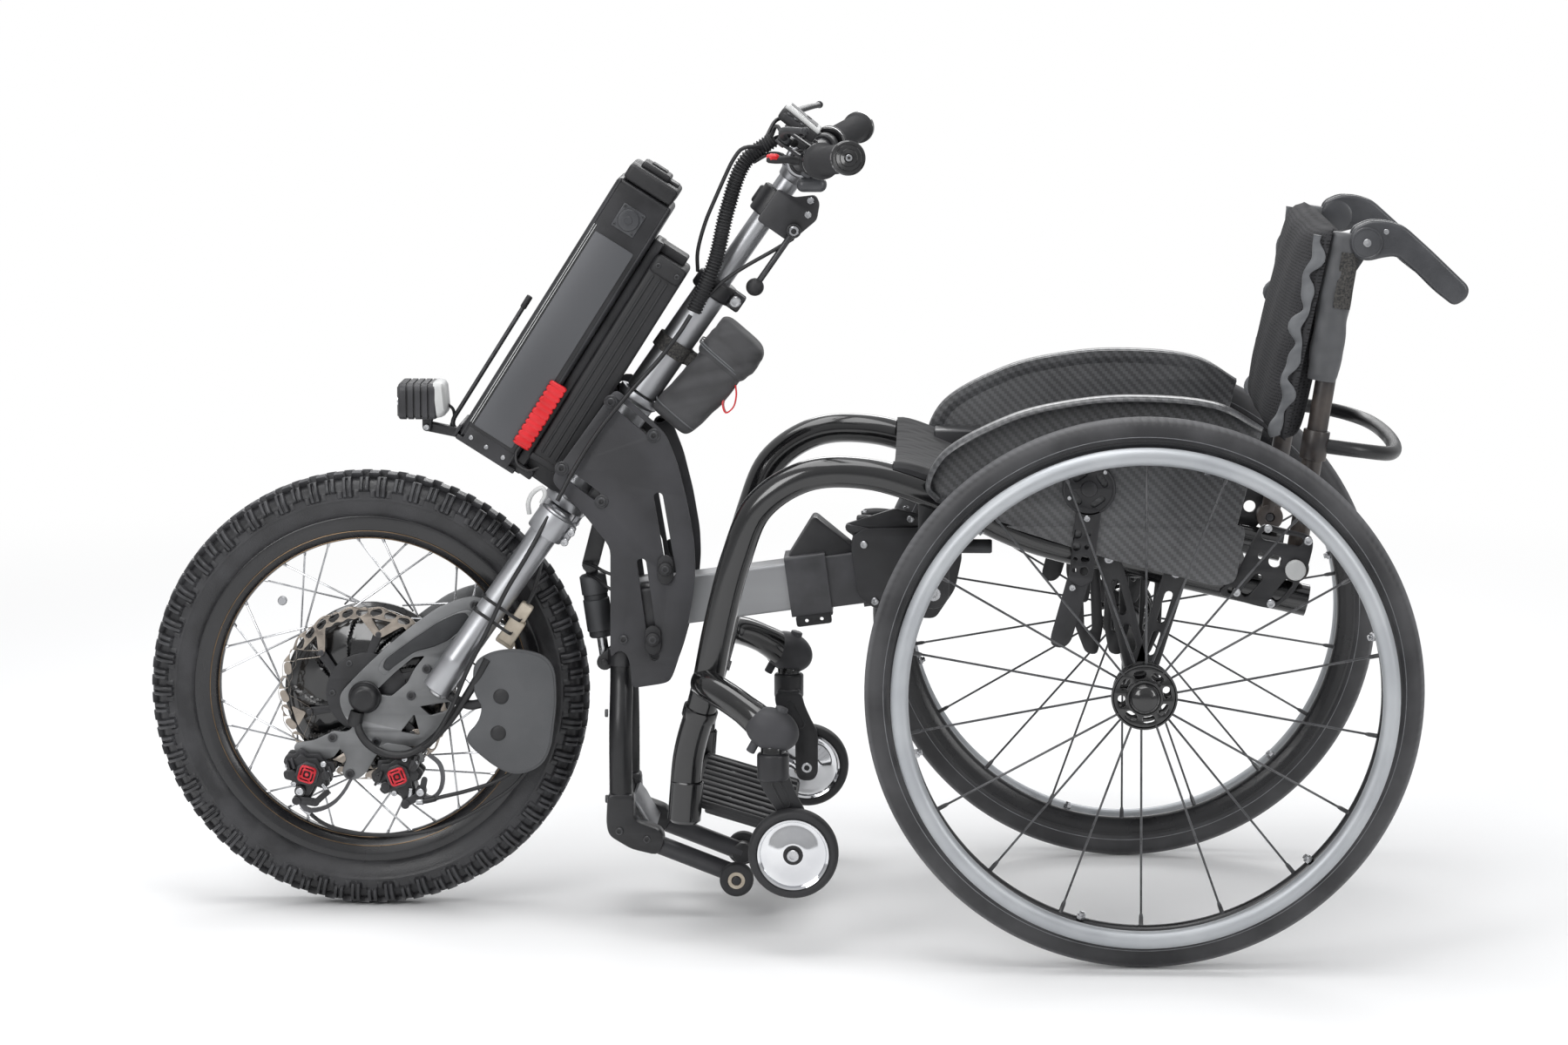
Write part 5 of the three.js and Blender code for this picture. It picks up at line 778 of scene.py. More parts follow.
softBox("overheadBox", (-0.3, -0.2, 2.8), (0, 0, 0.3), (2.6, 1.6), 42)
softBox("frontBox", (-1.6, -2.6, 1.9), (0, 0, 0.4), (1.2, 1.6), 34)
softBox("sideBox", (2.4, -1.9, 1.5), (0.3, 0, 0.4), (0.7, 1.6), 18)
softBox("backBox", (0.4, 2.8, 2.0), (0, 0, 0.4), (2.2, 0.9), 26)
print("stage ready")

axle = vec(*vehicle["frontAxle"])

# Front tyre: a bulging carcass section goes round the wheel. On it, blocks stand up wherever both
# the share of a pitch and the distance from the crown lie between a block's limits. A span or share
# is (from, to, ramp at each end).
frontTyre = {
    "pitches": 76, "steps": 18, "block": 7.0, "firstStep": 14, "bulgeRadius": 221,
    "carcass": [(0, 242), (6.5, 241.7), (13, 240.5), (18.6, 237.6), (22.4, 233.2), (24.8, 227.5),
                (25.8, 221), (24.8, 213.5), (22.0, 206), (18.2, 200), (14.2, 197.2)],
    "stations": [0, 0.8, 1.5, 4, 7.5, 10.8, 11.5, 14.4, 15.2, 17.5, 18.3, 19.7, 20.5, 24.6, 27, 29.2, 30,
                 31.2, 32, 34.4, 36.4, 37.6, 38.6, 40.2, 41.2, 41.9, 45, 49, 53, 57, 61, 64.6],
    "centreShare": (0.0, 0.58, 0.05), "centreSpan": (1.15, 11.15, 0.7),
    "shoulderShare": (0.03, 0.58, 0.06), "shoulderFrom": (14.8, 15.1), "shoulderTo": (37.4, 31.4),
    "shoulderRamp": 1.6, "slotShare": (0.25, 0.36, 0.06), "slotSpan": (18.0, 40.0, 0.8), "slotDepth": 0.5,
    "lineSpan": (40.2, 41.2, 0.8), "lineHeight": 0.12,
    "spurShare": (0.66, 0.95, 0.05), "spurSpan": (30.0, 38.0, 1.2), "spurHeight": 0.16,
}


# 1 between the limits and 0 outside, with a ramp of the given width at each end
def plateau(values, low, high, ramp):
    return np.clip((values - low) / ramp + 0.5, 0, 1) * np.clip((high - values) / ramp + 0.5, 0, 1)


# reach = carcass radius + block height * how far the carcass faces outward
def makeFrontTyre():
    look = frontTyre
    carcass = smoothPath(look["carcass"], 240)
    run = runAlong(carcass)
    s = np.minimum(np.array(look["stations"], float), run[-1])
    halfY, halfR = np.interp(s, run, carcass[:, 0]), np.interp(s, run, carcass[:, 1])
    y = np.concatenate([-halfY[:0:-1], halfY])
    radius = np.concatenate([halfR[:0:-1], halfR])
    away = np.concatenate([s[:0:-1], s])
    side = np.concatenate([-np.ones(len(s) - 1), [0], np.ones(len(s) - 1)])
    outY, outR = y, radius - look["bulgeRadius"]
    length = np.hypot(outY, outR)
    outY, outR = outY / length, outR / length
    count = look["pitches"] * look["steps"]
    share = (np.arange(count) % look["steps"] / look["steps"])[:, None]
    even = (np.arange(count) // look["steps"] % 2 == 0)[:, None]
    left = (share + np.where(side > 0, 0.0, 0.5)) % 1.0
    shoulder = (left + 0.5) % 1.0
    centre = plateau(left, *look["centreShare"]) * plateau(away, *look["centreSpan"])
    inner, outer = np.where(even, *look["shoulderFrom"]), np.where(even, *look["shoulderTo"])
    edge = plateau(shoulder, *look["shoulderShare"]) * plateau(away, inner, outer, look["shoulderRamp"])
    edge = edge * np.interp(away, [0, 27, 37], [1, 1, 0.55])
    groove = look["slotDepth"] * plateau(shoulder, *look["slotShare"]) * plateau(away, *look["slotSpan"])
    rib = look["lineHeight"] * plateau(away, *look["lineSpan"])
    spur = plateau(away, *look["spurSpan"]) * plateau(shoulder, *look["spurShare"])
    rib = rib + look["spurHeight"] * spur
    height = look["block"] * (np.maximum(centre, edge * (1 - groove)) + rib * (1 - edge))
    turn = (2 * math.pi * (np.arange(count) + look["firstStep"]) / count - math.pi / 2)[:, None]
    reach = radius + height * outR
    points = np.stack([reach * np.cos(turn), y + height * outY, axle[2] + reach * np.sin(turn)], axis=-1)
    return gridShell(points, closeU=True, closeV=True)


addPiece("frontTyreRubber", "front_wheel", "treadRubber", [makeFrontTyre()], "front_tyre", sharp=30)

# Rim: a closed section spun round the axle, with thin pale lines where its edges were turned.
frontRim = {
    "section": [(196.3, -13), (199.2, -14.6), (199.4, -16.2), (197.4, -17), (190, -16.6), (181, -14),
                (174.6, -10), (171.2, -5), (170.2, 0), (171.2, 5), (174.6, 10), (181, 14), (190, 16.6),
                (197.4, 17), (199.4, 16.2), (199.2, 14.6), (196.3, 13)],
    "spokes": 36, "spokeRadius": 1.15, "flange": 96.5, "flangeHalf": 20, "cross": math.pi * 0.19,
}
rimShell = roundedRing(frontRim["section"], 1.6, axle, sides=180)


# spoke ends: (cos, sin) of a turn at the rim and of that turn led or lagged at the hub flange
def spokeEnds(count, hubRadius, hubHalf, gap, rimRadius, rimHalf, cross):
    i = np.arange(count)
    side = np.where(i % 2 == 1, 1, -1)
    turn = (i + 0.5) / count * 2 * math.pi
    led = i // 2 % 2 == 1
    lead = turn + np.where(led, cross, -cross)
    face = side * (hubHalf + np.where(led, gap, -gap))
    hub = np.stack([hubRadius * np.cos(lead), face, hubRadius * np.sin(lead)], axis=-1)
    rim = np.stack([rimRadius * np.cos(turn), side * rimHalf, rimRadius * np.sin(turn)], axis=-1)
    return hub, rim


# A spoke is a thin rod between its ends; its nipple is spun on the rim end, set back along the spoke.
def spokeShells(centre, ends, radius, nipple, back):
    spokes, nipples = [], []
    for hub, rim in zip(*ends):
        spokes.append(rod(centre + hub, centre + rim, radius, 0.3, 8))
        nipples.append(spun(nipple, centre + rim + unit(hub - rim) * back, rim - hub, 8))
    return spokes, nipples


frontEnds = spokeEnds(frontRim["spokes"], frontRim["flange"], frontRim["flangeHalf"], 1.6, 173, 2.2,
                      frontRim["cross"])
frontSpokes, frontNipples = spokeShells(axle, frontEnds, frontRim["spokeRadius"], [
    (0, 4), (1.2, 4.2), (1.7, 5), (1.8, 9), (2.4, 10), (2.4, 13), (0, 13)], 11)
addPiece("frontRimShell", "front_wheel", "rimAnodised", [rimShell], "front_rim")
addPiece("frontRimLines", "front_wheel", "bronzeEdge", [
    spun(circle(0.55, 8) + (r, y), axle, sides=160, closed=True)
    for r, y in ((172.4, -7.6), (172.4, 7.6), (181.2, -14.4), (181.2, 14.4))])
addPiece("frontSpokeSet", "front_wheel", "steel", frontSpokes)
addPiece("frontNippleSet", "front_wheel", "steel", frontNipples)
addPiece("spokeMagnet", "front_wheel", "silverAlloy", [
    spun([(0, -3), (4.4, -3), (5.2, -2.2), (5.2, 2.2), (4.4, 3), (0, 3)], (-97.5, -13, 349.8), (0, 1, 0),
         24)])

# Hub motor: a spun drum, and on each side a cover whose height falls along nine curling vanes,
# height = base of the radius + vane * (1 - share of the turn between two vanes).
hubMotor = {"vanes": 9, "curl": 0.62, "vane": 6.5, "inner": 36, "outer": 88, "rampShare": 0.06,
            "baseAt": [31, 36, 60, 80, 91], "base": [36.5, 31.5, 29.5, 24.5, 20.5]}


# one cover as a grid of radius by turn
def motorCover(side):
    inner, outer, vanes = hubMotor["inner"], hubMotor["outer"], hubMotor["vanes"]
    radius = np.array([31, 33.5, 36, *np.linspace(38, 84, 16), 86.5, 88, 91])[:, None]
    turn = np.linspace(0, 2 * math.pi, vanes * 24, endpoint=False)
    base = np.interp(radius, hubMotor["baseAt"], hubMotor["base"])
    share = (turn * vanes / 2 / math.pi + hubMotor["curl"] * (radius - inner) / (outer - inner)) % 1.0
    vane = np.where(share < hubMotor["rampShare"], share / hubMotor["rampShare"], (1 - share) ** 0.8)
    lift = plateau(radius, inner - 1.0, outer - 1.0, 3.0) * hubMotor["vane"] * vane
    height = base + lift * np.interp(radius, [inner, 60, outer], [0.75, 1.0, 0.55])
    points = np.stack([radius * np.cos(turn), side * height, radius * np.sin(turn)], axis=-1)
    return gridShell(points + axle * (1, 0, 1), closeV=True)


motorDrum = spun(softCorners([(0, -30), (88, -19), (91, -21.6), (95, -21.6), (95, -17.5), (89.5, -16),
                              (89.5, 16), (95, 17.5), (95, 21.6), (91, 21.6), (88, 19), (0, 30)], 1.0, 3,
                              closed=False), axle, sides=120)
motorBoss = [spun([(0, side * 37.8), (17, side * 37.8), (19, side * 37.2), (20, side * 36.4),
                   (30, side * 36.4), (31.5, side * 35.6), (32, side * 33), (32, side * 20)], axle,
                   sides=60) for side in (-1, 1)]
coverBolts = [screw(axle + (26 * math.cos(a), side * 36.4, 26 * math.sin(a)), (0, side, 0),
                    2.6, 1.3, sides=12)
              for side in (-1, 1) for a in np.linspace(0.3, 6.5, 6)[:-1]]
addPiece("motorCovers", "front_wheel", "glossCoat",
         [motorDrum, motorCover(-1), motorCover(1), *motorBoss],
         "hub_motor", sharp=28)
addPiece("motorCoverBolts", "front_wheel", "blackSteel", coverBolts)

# Brake disc: a narrow scalloped band pierced like a chain, and six forked feet on a dark carrier.
disc = {"outer": 100, "scallop": 1.6, "lobes": 36, "bandIn": 86.5, "slots": 36, "feet": 6, "footAt": 66,
        "footHalf": 0.2, "from": -40.3, "to": -38.3}


# places (x, z) round the axle
def polarLoop(radius, turn):
    return np.stack([np.asarray(radius) * np.cos(turn) + axle[0],
                     np.asarray(radius) * np.sin(turn) + axle[2]], axis=-1)


discTurn = np.linspace(0, 2 * math.pi, 432, endpoint=False)
discEdge = polarLoop(disc["outer"] - disc["scallop"] * (1 - np.cos(disc["lobes"] / 2 * discTurn)), discTurn)
discStep = 2 * math.pi / disc["slots"]
chainSlots = [slotLoop(polarLoop(94.4, a - 0.033), polarLoop(92.0, a + 0.033), 7.4, 6)
              for a in (np.arange(disc["slots"]) + 0.25) * discStep]
# the band's inner edge runs in to a foot six times, so its opening is one loop of arcs and feet
innerLoop, footWindows, footRivets, carrierArms = [], [], [], []
for i in range(disc["feet"]):
    a = (i + 0.3) / disc["feet"] * 2 * math.pi
    half, step = disc["footHalf"], 2 * math.pi / disc["feet"]
    innerLoop.append(polarLoop([disc["footAt"], disc["footAt"]], np.array([a - 0.06, a + 0.06])))
    wave = disc["bandIn"] - 1.2 * np.cos(np.linspace(-1, 1, 14) * 9)
    innerLoop.append(polarLoop(wave, np.linspace(a + half + 0.09, a + step - half - 0.09, 14)))
    windowTurn = np.array([a - half + 0.065, a + half - 0.065, a])
    footWindows.append(softCorners(polarLoop([86.4, 86.4, 73.0], windowTurn), 1.6, 3))
    at = polarLoop(68.5, a)
    footRivets.append(spun([(0, -41.7), (2.6, -41.6), (3.4, -41.1), (3.4, -40.2), (0, -40.2)],
                           (at[0], 0, at[1]), sides=16))
    armTurn = a + np.array([-0.075, -0.03, 0.03, 0.075, 0.2, 0.42, -0.02, 0.02])
    armLoop = softCorners(polarLoop([73, 72, 72, 73, 46, 34, 34, 46], armTurn), 3, 4)
    carrierArms.append(plateShell(armLoop, -37.9, -34.6, 0.6))
addPiece("brakeDisc", "front_wheel", "discSteel", [
    plateShell(discEdge, disc["from"], disc["to"], 0.3, [softCorners(np.concatenate(innerLoop), 2.2, 3),
        *chainSlots, *footWindows])], "brake_rotor", sharp=30)
addPiece("discCarrier", "front_wheel", "blackAnodised", carrierArms + [
    plateShell(circle(46, 96) + (axle[0], axle[2]), -38.2, -34.4, 0.8,
               [circle(15, 40) + (axle[0], axle[2])])] + footRivets)
addPiece("discCarrierScrews", "front_wheel", "blackSteel", [
    screw((axle[0] + 39 * math.cos(a), -38.2, axle[2] + 39 * math.sin(a)), (0, -1, 0), 3.4, 1.6, sides=14)
    for a in np.arange(6) / 6 * 2 * math.pi])

# Fork ends: a cut plate with a long dark insert in its upper arch, held by black screws.
forkEnd = {
    "outline": [(-30, 238), (-29, 250), (-16, 264.5), (0.5, 281.4), (25.2, 304.3), (52.1, 327.0),
                (81.8, 348.2), (103.5, 357.5), (122, 362), (139, 357), (140, 346), (128, 330), (112, 296),
                (101, 262), (97, 242), (92, 226), (82, 207), (64, 191), (40, 188.6), (22.9, 188.7),
                (12, 181), (-1.2, 158), (-13, 150), (-25, 151.5), (-29, 162), (-22.7, 172), (-26, 184),
                (-40, 190.5), (-45, 199), (-40, 207.5), (-22, 205.5), (-14, 212), (-24, 222)],
    "low": 41.6, "high": 47,
    "wedge": [(8, 250), (29, 247.2), (47, 262.7), (55.5, 279), (67, 293.5), (54, 291.5), (34, 275)],
    "triangles": [[(60.9, 235.7), (95.5, 241.3), (91.5, 231.1), (72.6, 225.5)],
                  [(38.9, 206.5), (54.5, 226.7), (60.7, 203)],
                  [(74, 257), (84, 274.8), (97, 289.8), (97.5, 264.0)]],
    "insert": [(14, 276.8), (18.2, 287.6), (36, 301), (55.9, 315.2), (83.6, 334), (107.2, 345), (120, 347),
               (124, 338), (112, 324.6), (97, 311.8), (79.4, 303.6), (56, 297.3), (36, 283), (22.0, 271.4)],
    "screws": [(69.2, 278.7), (51.2, 248.0), (11.2, 194.6), (-38.1, 199.5), (-19.0, 158), (123.8, 352)],
}
plateLoop = softCorners(forkEnd["outline"], 7, 4)
insertLoop = softCorners(forkEnd["insert"], 5, 4)
insertIn = drawnIn(insertLoop, 0.9)
plateOpenings = [softCorners(loop, 2.5, 4) for loop in [forkEnd["wedge"], *forkEnd["triangles"]]]
plateOpenings.append(hole(axle[0], axle[2], 8))
plateShells = [plateShell(plateLoop, -forkEnd["high"], -forkEnd["low"], 0.7, plateOpenings),
               plateShell(insertLoop, -49.2, -46.8, 0.9, [insertIn])]
insertShells = [plateShell(insertIn, -48.0, -46.9, 0.5)]
forkEndScrews = [screw((x, -forkEnd["high"], z), (0, -1, 0), 5.2, 2.8) for x, z in forkEnd["screws"]]
for side, name in sideNames:
    addPiece(name + "ForkEnd", "steering", "plateAlloy", onSide(plateShells, side),
             f"dropout_plate_{name}")
    addPiece(name + "ForkInsert", "steering", "darkAlloy", onSide(insertShells, side))
    addPiece(name + "ForkEndScrews", "steering", "blackSteel", onSide(forkEndScrews, side))

# Axle: a dome over the near end, where the motor cable leaves, and a nut on the far end.
addPiece("axleDome", "steering", "cableSheath", [
    spun(softCorners([(0, -66), (11, -65.6), (15.2, -62), (16.8, -55), (17, -50.2), (18.6, -49.4),
                      (18.6, -47.6), (0, -47.4)], 1.5, 4, closed=False),
         axle - (1, 0, 3), sides=64),
    spun([(7.4, -15), (8.6, -9), (7.8, 2), (0, 3)], (-9, -56, 229), (0.25, 0, 1), 28)], "front_axle")
addPiece("axleShaft", "steering", "steel", [
    rod((0, -50, 249), (0, 53, 249), 7, 0.8, 32),
    spun([(7, 47.3), (15.5, 47.3), (15.5, 49), (14, 49.4), (14, 56), (12, 57.6), (8, 57.6), (7, 60)], axle,
         sides=6)])

# Calipers: a cast body straddling the disc, a red adjuster with raised squares, a bent arm, a banjo.
caliperBody = np.array([
    (-31, 3), (-30, 13), (-21, 15), (-17, 25), (-6, 21), (6, 25), (12, 19), (24, 20), (29, 11), (22, 4),
    (27, -6), (19, -13), (13, -11), (11, -26), (3, -36), (-7, -31), (-6, -20), (-15, -14), (-24, -15),
    (-28, -7), (-20, -3)])


# Its parts are drawn round (0, 0) and turned by the lean to their place (x, z) on the fork end.
def makeCaliper(name, x, z, lean, mount, arm, armRoot):
    c, s = math.cos(lean), math.sin(lean)
    onCaliper = lambda points: np.asarray(points, float) @ np.array([[c, s], [-s, c]]) + (x, z)
    across = lambda place, fromY, toY, *size: rod((place[0], fromY, place[1]),
                                              (place[0], toY, place[1]), *size)
    knobAt = onCaliper((0, 2))
    loop = softCorners(onCaliper(caliperBody), 3, 3)
    inner = softCorners(onCaliper(caliperBody * 0.84), 2.6, 3)
    core = circle(14, 8, 0.39 + lean) + knobAt
    bodies = [plateShell(loop, -56, -47.6, 1.0), plateShell(inner, -64, -55.5, 1.2),
              plateShell(core, -70.5, -63.8, 1.6), plateShell(loop, -33.5, -25, 1.0)]
    # cooling fins and the arm that the wire pulls
    bodies += [boxShell(np.insert(onCaliper(place), 1, -66), (3, 7, 12), 0.8, turnedAxes(lean))
               for place in ((-19, 8), (-24, 5), (19, 9), (24, 12))]
    bodies += [plateShell(slotLoop(*onCaliper([(-2, -30), (18, -27)]), 9, 6), -69, -64.5, 0.8),
               plateShell(slotLoop(*onCaliper([(18, -27), (27, -12)]), 7, 6), -70, -66.5, 0.8),
               across(onCaliper((-3, -31)), -71.5, -56, 5, 0.8, 18),
               plateShell(softCorners(onCaliper(rectangle(24, 10) + (0, -17)), 3, 3), -48, -24.5, 0.8)]
    bodies += [across(onCaliper(place), -69, -47, 5.2, 1.0, 20) for place in ((-17, -4), (20, 6))]
    arms = [sweep(smoothPath(arm, 16), rectangle(4, 7.2), np.linspace(1.25, 0.9, 16)),
            across(armRoot, -70.5, -56, 6.2, 1.0, 24)]
    square = lambda width, corner: softCorners(onCaliper(rectangle(width, width) + (0, 2)), corner, 5)
    knobs = [plateShell(square(19.2, 5), -73.6, -69.8, 0.7, [square(14.8, 3.6)]),
             plateShell(square(12, 2.8), -73.8, -69.9, 0.6, [square(7.8, 2)]),
             across(knobAt, -74, -70, 2.2, 0.5, 16)]
    for way in (vec(c, -s), vec(-c, s), vec(s, c), vec(-s, -c)):
        knobs.append(plateShell(slotLoop(knobAt + way * 5.6, knobAt + way * 8, 2.6, 5), -73.2, -69.9, 0.4))
    ends = onCaliper([(-24, 2), (23, 9), (-12, -16), (14, 17)])
    metal = [screw((end[0], -58 - 6 * (k % 2), end[1]), (0, -1, 0), 3.6, 3.2, sides=16)
             for k, end in enumerate(ends)]
    metal.append(screw((armRoot[0], -70.5, armRoot[1]), (0, -1, 0), 4.4, 2.2, sides=16))
    addPiece(name + "Body", "steering", "blackAnodised", bodies + arms,
             f"caliper_{name.replace('Caliper', '')}")
    addPiece(name + "Foot", "steering", "plateAlloy",
             [plateShell(softCorners(mount, 3.5, 4), -47.2, -42.2, 0.6)])
    addPiece(name + "Knob", "steering", "redAnodised", knobs)
    addPiece(name + "Screws", "steering", "steel", metal)


makeCaliper("frontCaliper", -65, 160, -0.3, [(-83, 186), (-80, 193), (-60, 196), (-38, 206), (-32, 200),
                                             (-30, 186), (-38, 176), (-56, 172), (-74, 178)],
            [(-72, -63, 144), (-74, -64, 132), (-66, -64, 120), (-50, -64, 121), (-36, -64, 128),
             (-24, -64, 141), (-16, -63, 155)], (-73, 142))
makeCaliper("rearCaliper", 38, 158, 0.35, [(12, 186), (22, 194), (44, 191), (62, 184), (66, 172),
                                           (50, 168), (28, 172), (14, 178)],
            [(62, -63, 140), (74, -64, 134), (84, -64, 142), (88, -64, 158), (84, -64, 174),
             (72, -63, 184)], (63, 142))

# Cables at the fork end: each a route of points, closed by a smooth curve.
cableRoutes = {
    "motorLead": {"radius": 4.6, "points": [(-9, -56, 226), (-6, -60, 209), (6, -64, 194),
                                            (26, -66, 184.5), (48, -67, 184.8), (72, -69, 198),
                                            (94, -73, 221), (112, -80, 246), (128, -88, 272),
                                            (142, -90, 298)]},
    "frontBrakeWire": {"radius": 2.3, "points": [(-66, -64, 119), (-54, -65, 108.5), (-39, -65, 100.5),
        (-4, -64, 92.5), (31.4, -63, 91.5), (70.8, -64, 96.5), (106, -66, 110), (142, -68, 131),
        (168, -70, 150), (190, -72, 178)]},
    "rearBrakeWire": {"radius": 2.3, "points": [(70, -66, 131), (84, -67, 135.5), (115, -68, 143.5),
        (150, -69, 156), (176, -71, 174), (192, -72, 196)]},
    "hoseEnds": {"radius": 3.4, "points": [(60, -65, 131), (68, -66, 131.5), (80, -67, 134.5)]},
}
for name, route in cableRoutes.items():
    path = smoothPath(route["points"], 60)
    addPiece(name, "steering", "cableSheath", [tube(path, route["radius"], 16)])
addPiece("wireFerrules", "steering", "steel", [
    rod((-72, -64, 124), (-62, -64.5, 115), 3.4, 0.6, 16), rod((58, -65, 131), (66, -66, 131), 4.2, 0.6,
        16),
    rod((52, -66, 146), (50, -66, 130), 2.6, 0.5, 12), rod((-48, -66, 150), (-40, -66, 138), 2.4, 0.5, 12)])

# Motor guard: a bean-shaped cover with a rolled edge and two flat buttons, on an arm from the fork.
guardLoop = softCorners([(127.1, 295.1), (146.7, 306.5), (173.9, 310), (204, 303.8), (217.4, 287.8),
                         (219, 248.4), (211.9, 195), (200.0, 175), (172.6, 165.6), (149.3, 175.2),
                         (119.4, 200.3), (117.4, 212.1), (130.3, 224.5), (136.4, 243.9), (127.3, 256.5),
                         (125.2, 275.4)], 14, 6)
guardShells = [plateShell(guardLoop, -90.5, -84.2, 1.2),
               plateShell(drawnIn(guardLoop, 0.965), -92, -90.2, 0.8)]
guardArm = tube(smoothPath([(138, -86, 248), (122, -80, 244), (108, -70, 246), (96, -64, 252)], 14),
                5.5, 16)
addPiece("motorGuardCover", "steering", "guardPlastic", guardShells, "motor_guard")
addPiece("motorGuardButtons", "steering", "blackNylon", [
    spun([(0, -94.6), (5, -94.3), (7.6, -93.4), (8.6, -92.2), (9, -91.4)], (x, 0, z), sides=36)
    for x, z in ((157, 256), (153.6, 214.4))] + [guardArm])
print("front wheel and fork ends made")

# Fork: two stanchions in clamped crown rings, and lugs bolted to the fork ends. Heights run up the axis.
fork = {"side": -66, "foot": -250, "screws": (-14, -27)}
legs = [spun([(0, -250), (14.6, -250), (16, -248.6), (16, -214), (16.4, -213), (16.4, -206), (16, -205),
              (16, -6), (14.8, -4.6), (10, -4.6), (9.4, -6.4), (0, -6.4)], (0, fork["side"], 0), (0, 0, 1),
              48)]
crownRings = [roundedRing([(16, -34), (21.5, -34), (21.5, -6.5), (16, -6.5)], 1.6, (0, fork["side"], 0),
                          (0, 0, 1), 48)]
crownEars = [boxShell((19, fork["side"], -20), (16, 15, 24), 3)] + [rod((24, -58, z), (24, -75, z), 3, 0.6,
    16) for z in fork["screws"]]
lugs = [boxShell((0, -57, -232), (20, 20, 36), 4), boxShell((8, -52, -214), (12, 9, 26), 3)]
addPiece("forkLegs", "steering", "silverAlloy", mastShells(bothSides(legs)), "fork")
addPiece("forkCrown", "steering", "silverAlloy", mastShells(
    bothSides(crownRings + crownEars + lugs) + [boxShell((0, 0, -20), (36, 96, 26), 9, segments=4)]))
addPiece("forkCrownScrews", "steering", "steel", mastShells(bothSides([
    screw((24, -75, z), (0, -1, 0), 4.4, 3.4) for z in fork["screws"]] + [
    screw((3, fork["side"], fork["foot"] - 0.4), (0, 0, -1), 9, 4)])))

# Small loop clip in front of the crown.
clipLoop = [(-26, -60, -26), (-34, -62, -16), (-36, -63, -4), (-31, -64, 7), (-24, -64, 3), (-22, -64, -8)]
addPiece("crownClip", "steering", "paleShell",
         mastShells([tube(smoothPath(clipLoop, 30), 2.6, 12)]))

# Head tube with its two bearing cups, the block between the side plates and the cheeks of the drive.
headTube = roundedRing([(19, -5.6), (25.2, -5.6), (25.2, 5.5), (22, 8.5), (22, 138), (25, 141), (25, 149),
                        (19, 149)], 1.0, (0, 0, 0), (0, 0, 1), 56)
gusset = boxShell((37, 0, 66), (44, 107, 90), 5)
gussetRib = boxShell((44, 0, 18), (18, 60, 12), 3)
# the stand's linear drive hangs between two cheeks at either pin; pins are (x, z) on the vehicle
drive = {"y": -16, "cheek": 9.8, "thick": 2.5, "top": (252, 395), "foot": (268, 284)}
drivePin = offMast(drive["top"])


def cheekPlates(start, end, bevel):
    middles = (drive["y"] - drive["cheek"], drive["y"] + drive["cheek"])
    return [plateShell(slotLoop(start, end, 18), y - drive["thick"], y + drive["thick"], bevel)
            for y in middles]


cheeks = cheekPlates((37, 29), drivePin, 0.8)
addPiece("headTubeShell", "chassis", "silverAlloy", mastShells([headTube]), "head_tube")
addPiece("headGusset", "chassis", "standEnamel", mastShells([gusset, gussetRib, *cheeks, rod(
    (drivePin[0], -31.5, drivePin[1]), (drivePin[0], -0.5, drivePin[1]), 4, 0.6, 20)]))
headRings = [spun(circle(1.1, 8) + (23.5, z), (0, 0, 0), (0, 0, 1), 56, closed=True) for z in (-1, 145.5)]
addPiece("headCupRings", "chassis", "blackAnodised", mastShells(headRings))

# Stem: a wide tube, a split collar with its screw, a thinner tube, and the clamp round the bar.
stem = {"collar": 295.3, "bar": 468}
stemTubes = [spun([(0, 150.6), (18, 150.6), (19, 151.6), (19, 291), (18, 292), (0, 292)], (0, 0, 0),
                  (0, 0, 1), 48),
             spun([(0, 285), (12.7, 285), (12.7, 452), (0, 452)], (0, 0, 0), (0, 0, 1), 40)]
collar = [roundedRing([(13, 284.6), (22.6, 284.6), (25, 287), (25, 303), (22, 306), (13, 306)], 1.2,
                      (0, 0, 0), (0, 0, 1), 48),
          *[boxShell((27, y, stem["collar"]), (19, 9, 20), 3) for y in (6.8, -6.8)]]
barClamp = [roundedRing([(11.4, -23), (17.5, -23), (20, -20.5), (20, 20.5), (17.5, 23), (11.4, 23)], 1.4,
                        (0, 0, stem["bar"]), (0, 1, 0), 48),
            spun([(12.6, 440), (14.6, 442), (15.5, 449), (18, 452)], (0, 0, 0), (0, 0, 1), 40)]
addPiece("stemTubes", "steering", "silverAlloy", mastShells(stemTubes + barClamp), "stem")
addPiece("stemCollar", "steering", "blackAnodised", mastShells(collar))
stemScrews = [screw((28, way * 11.4, stem["collar"]), (0, way, 0), 6.6, height)
              for way, height in ((-1, 5), (1, 3))]
stemScrews += [screw((s * 8, y, stem["bar"] + 19.2), (0, 0, 1), 2.6, 2, sides=12) for s in (-1, 1)
               for y in (-14, 14)]
addPiece("stemScrews", "steering", "steel", mastShells(stemScrews))

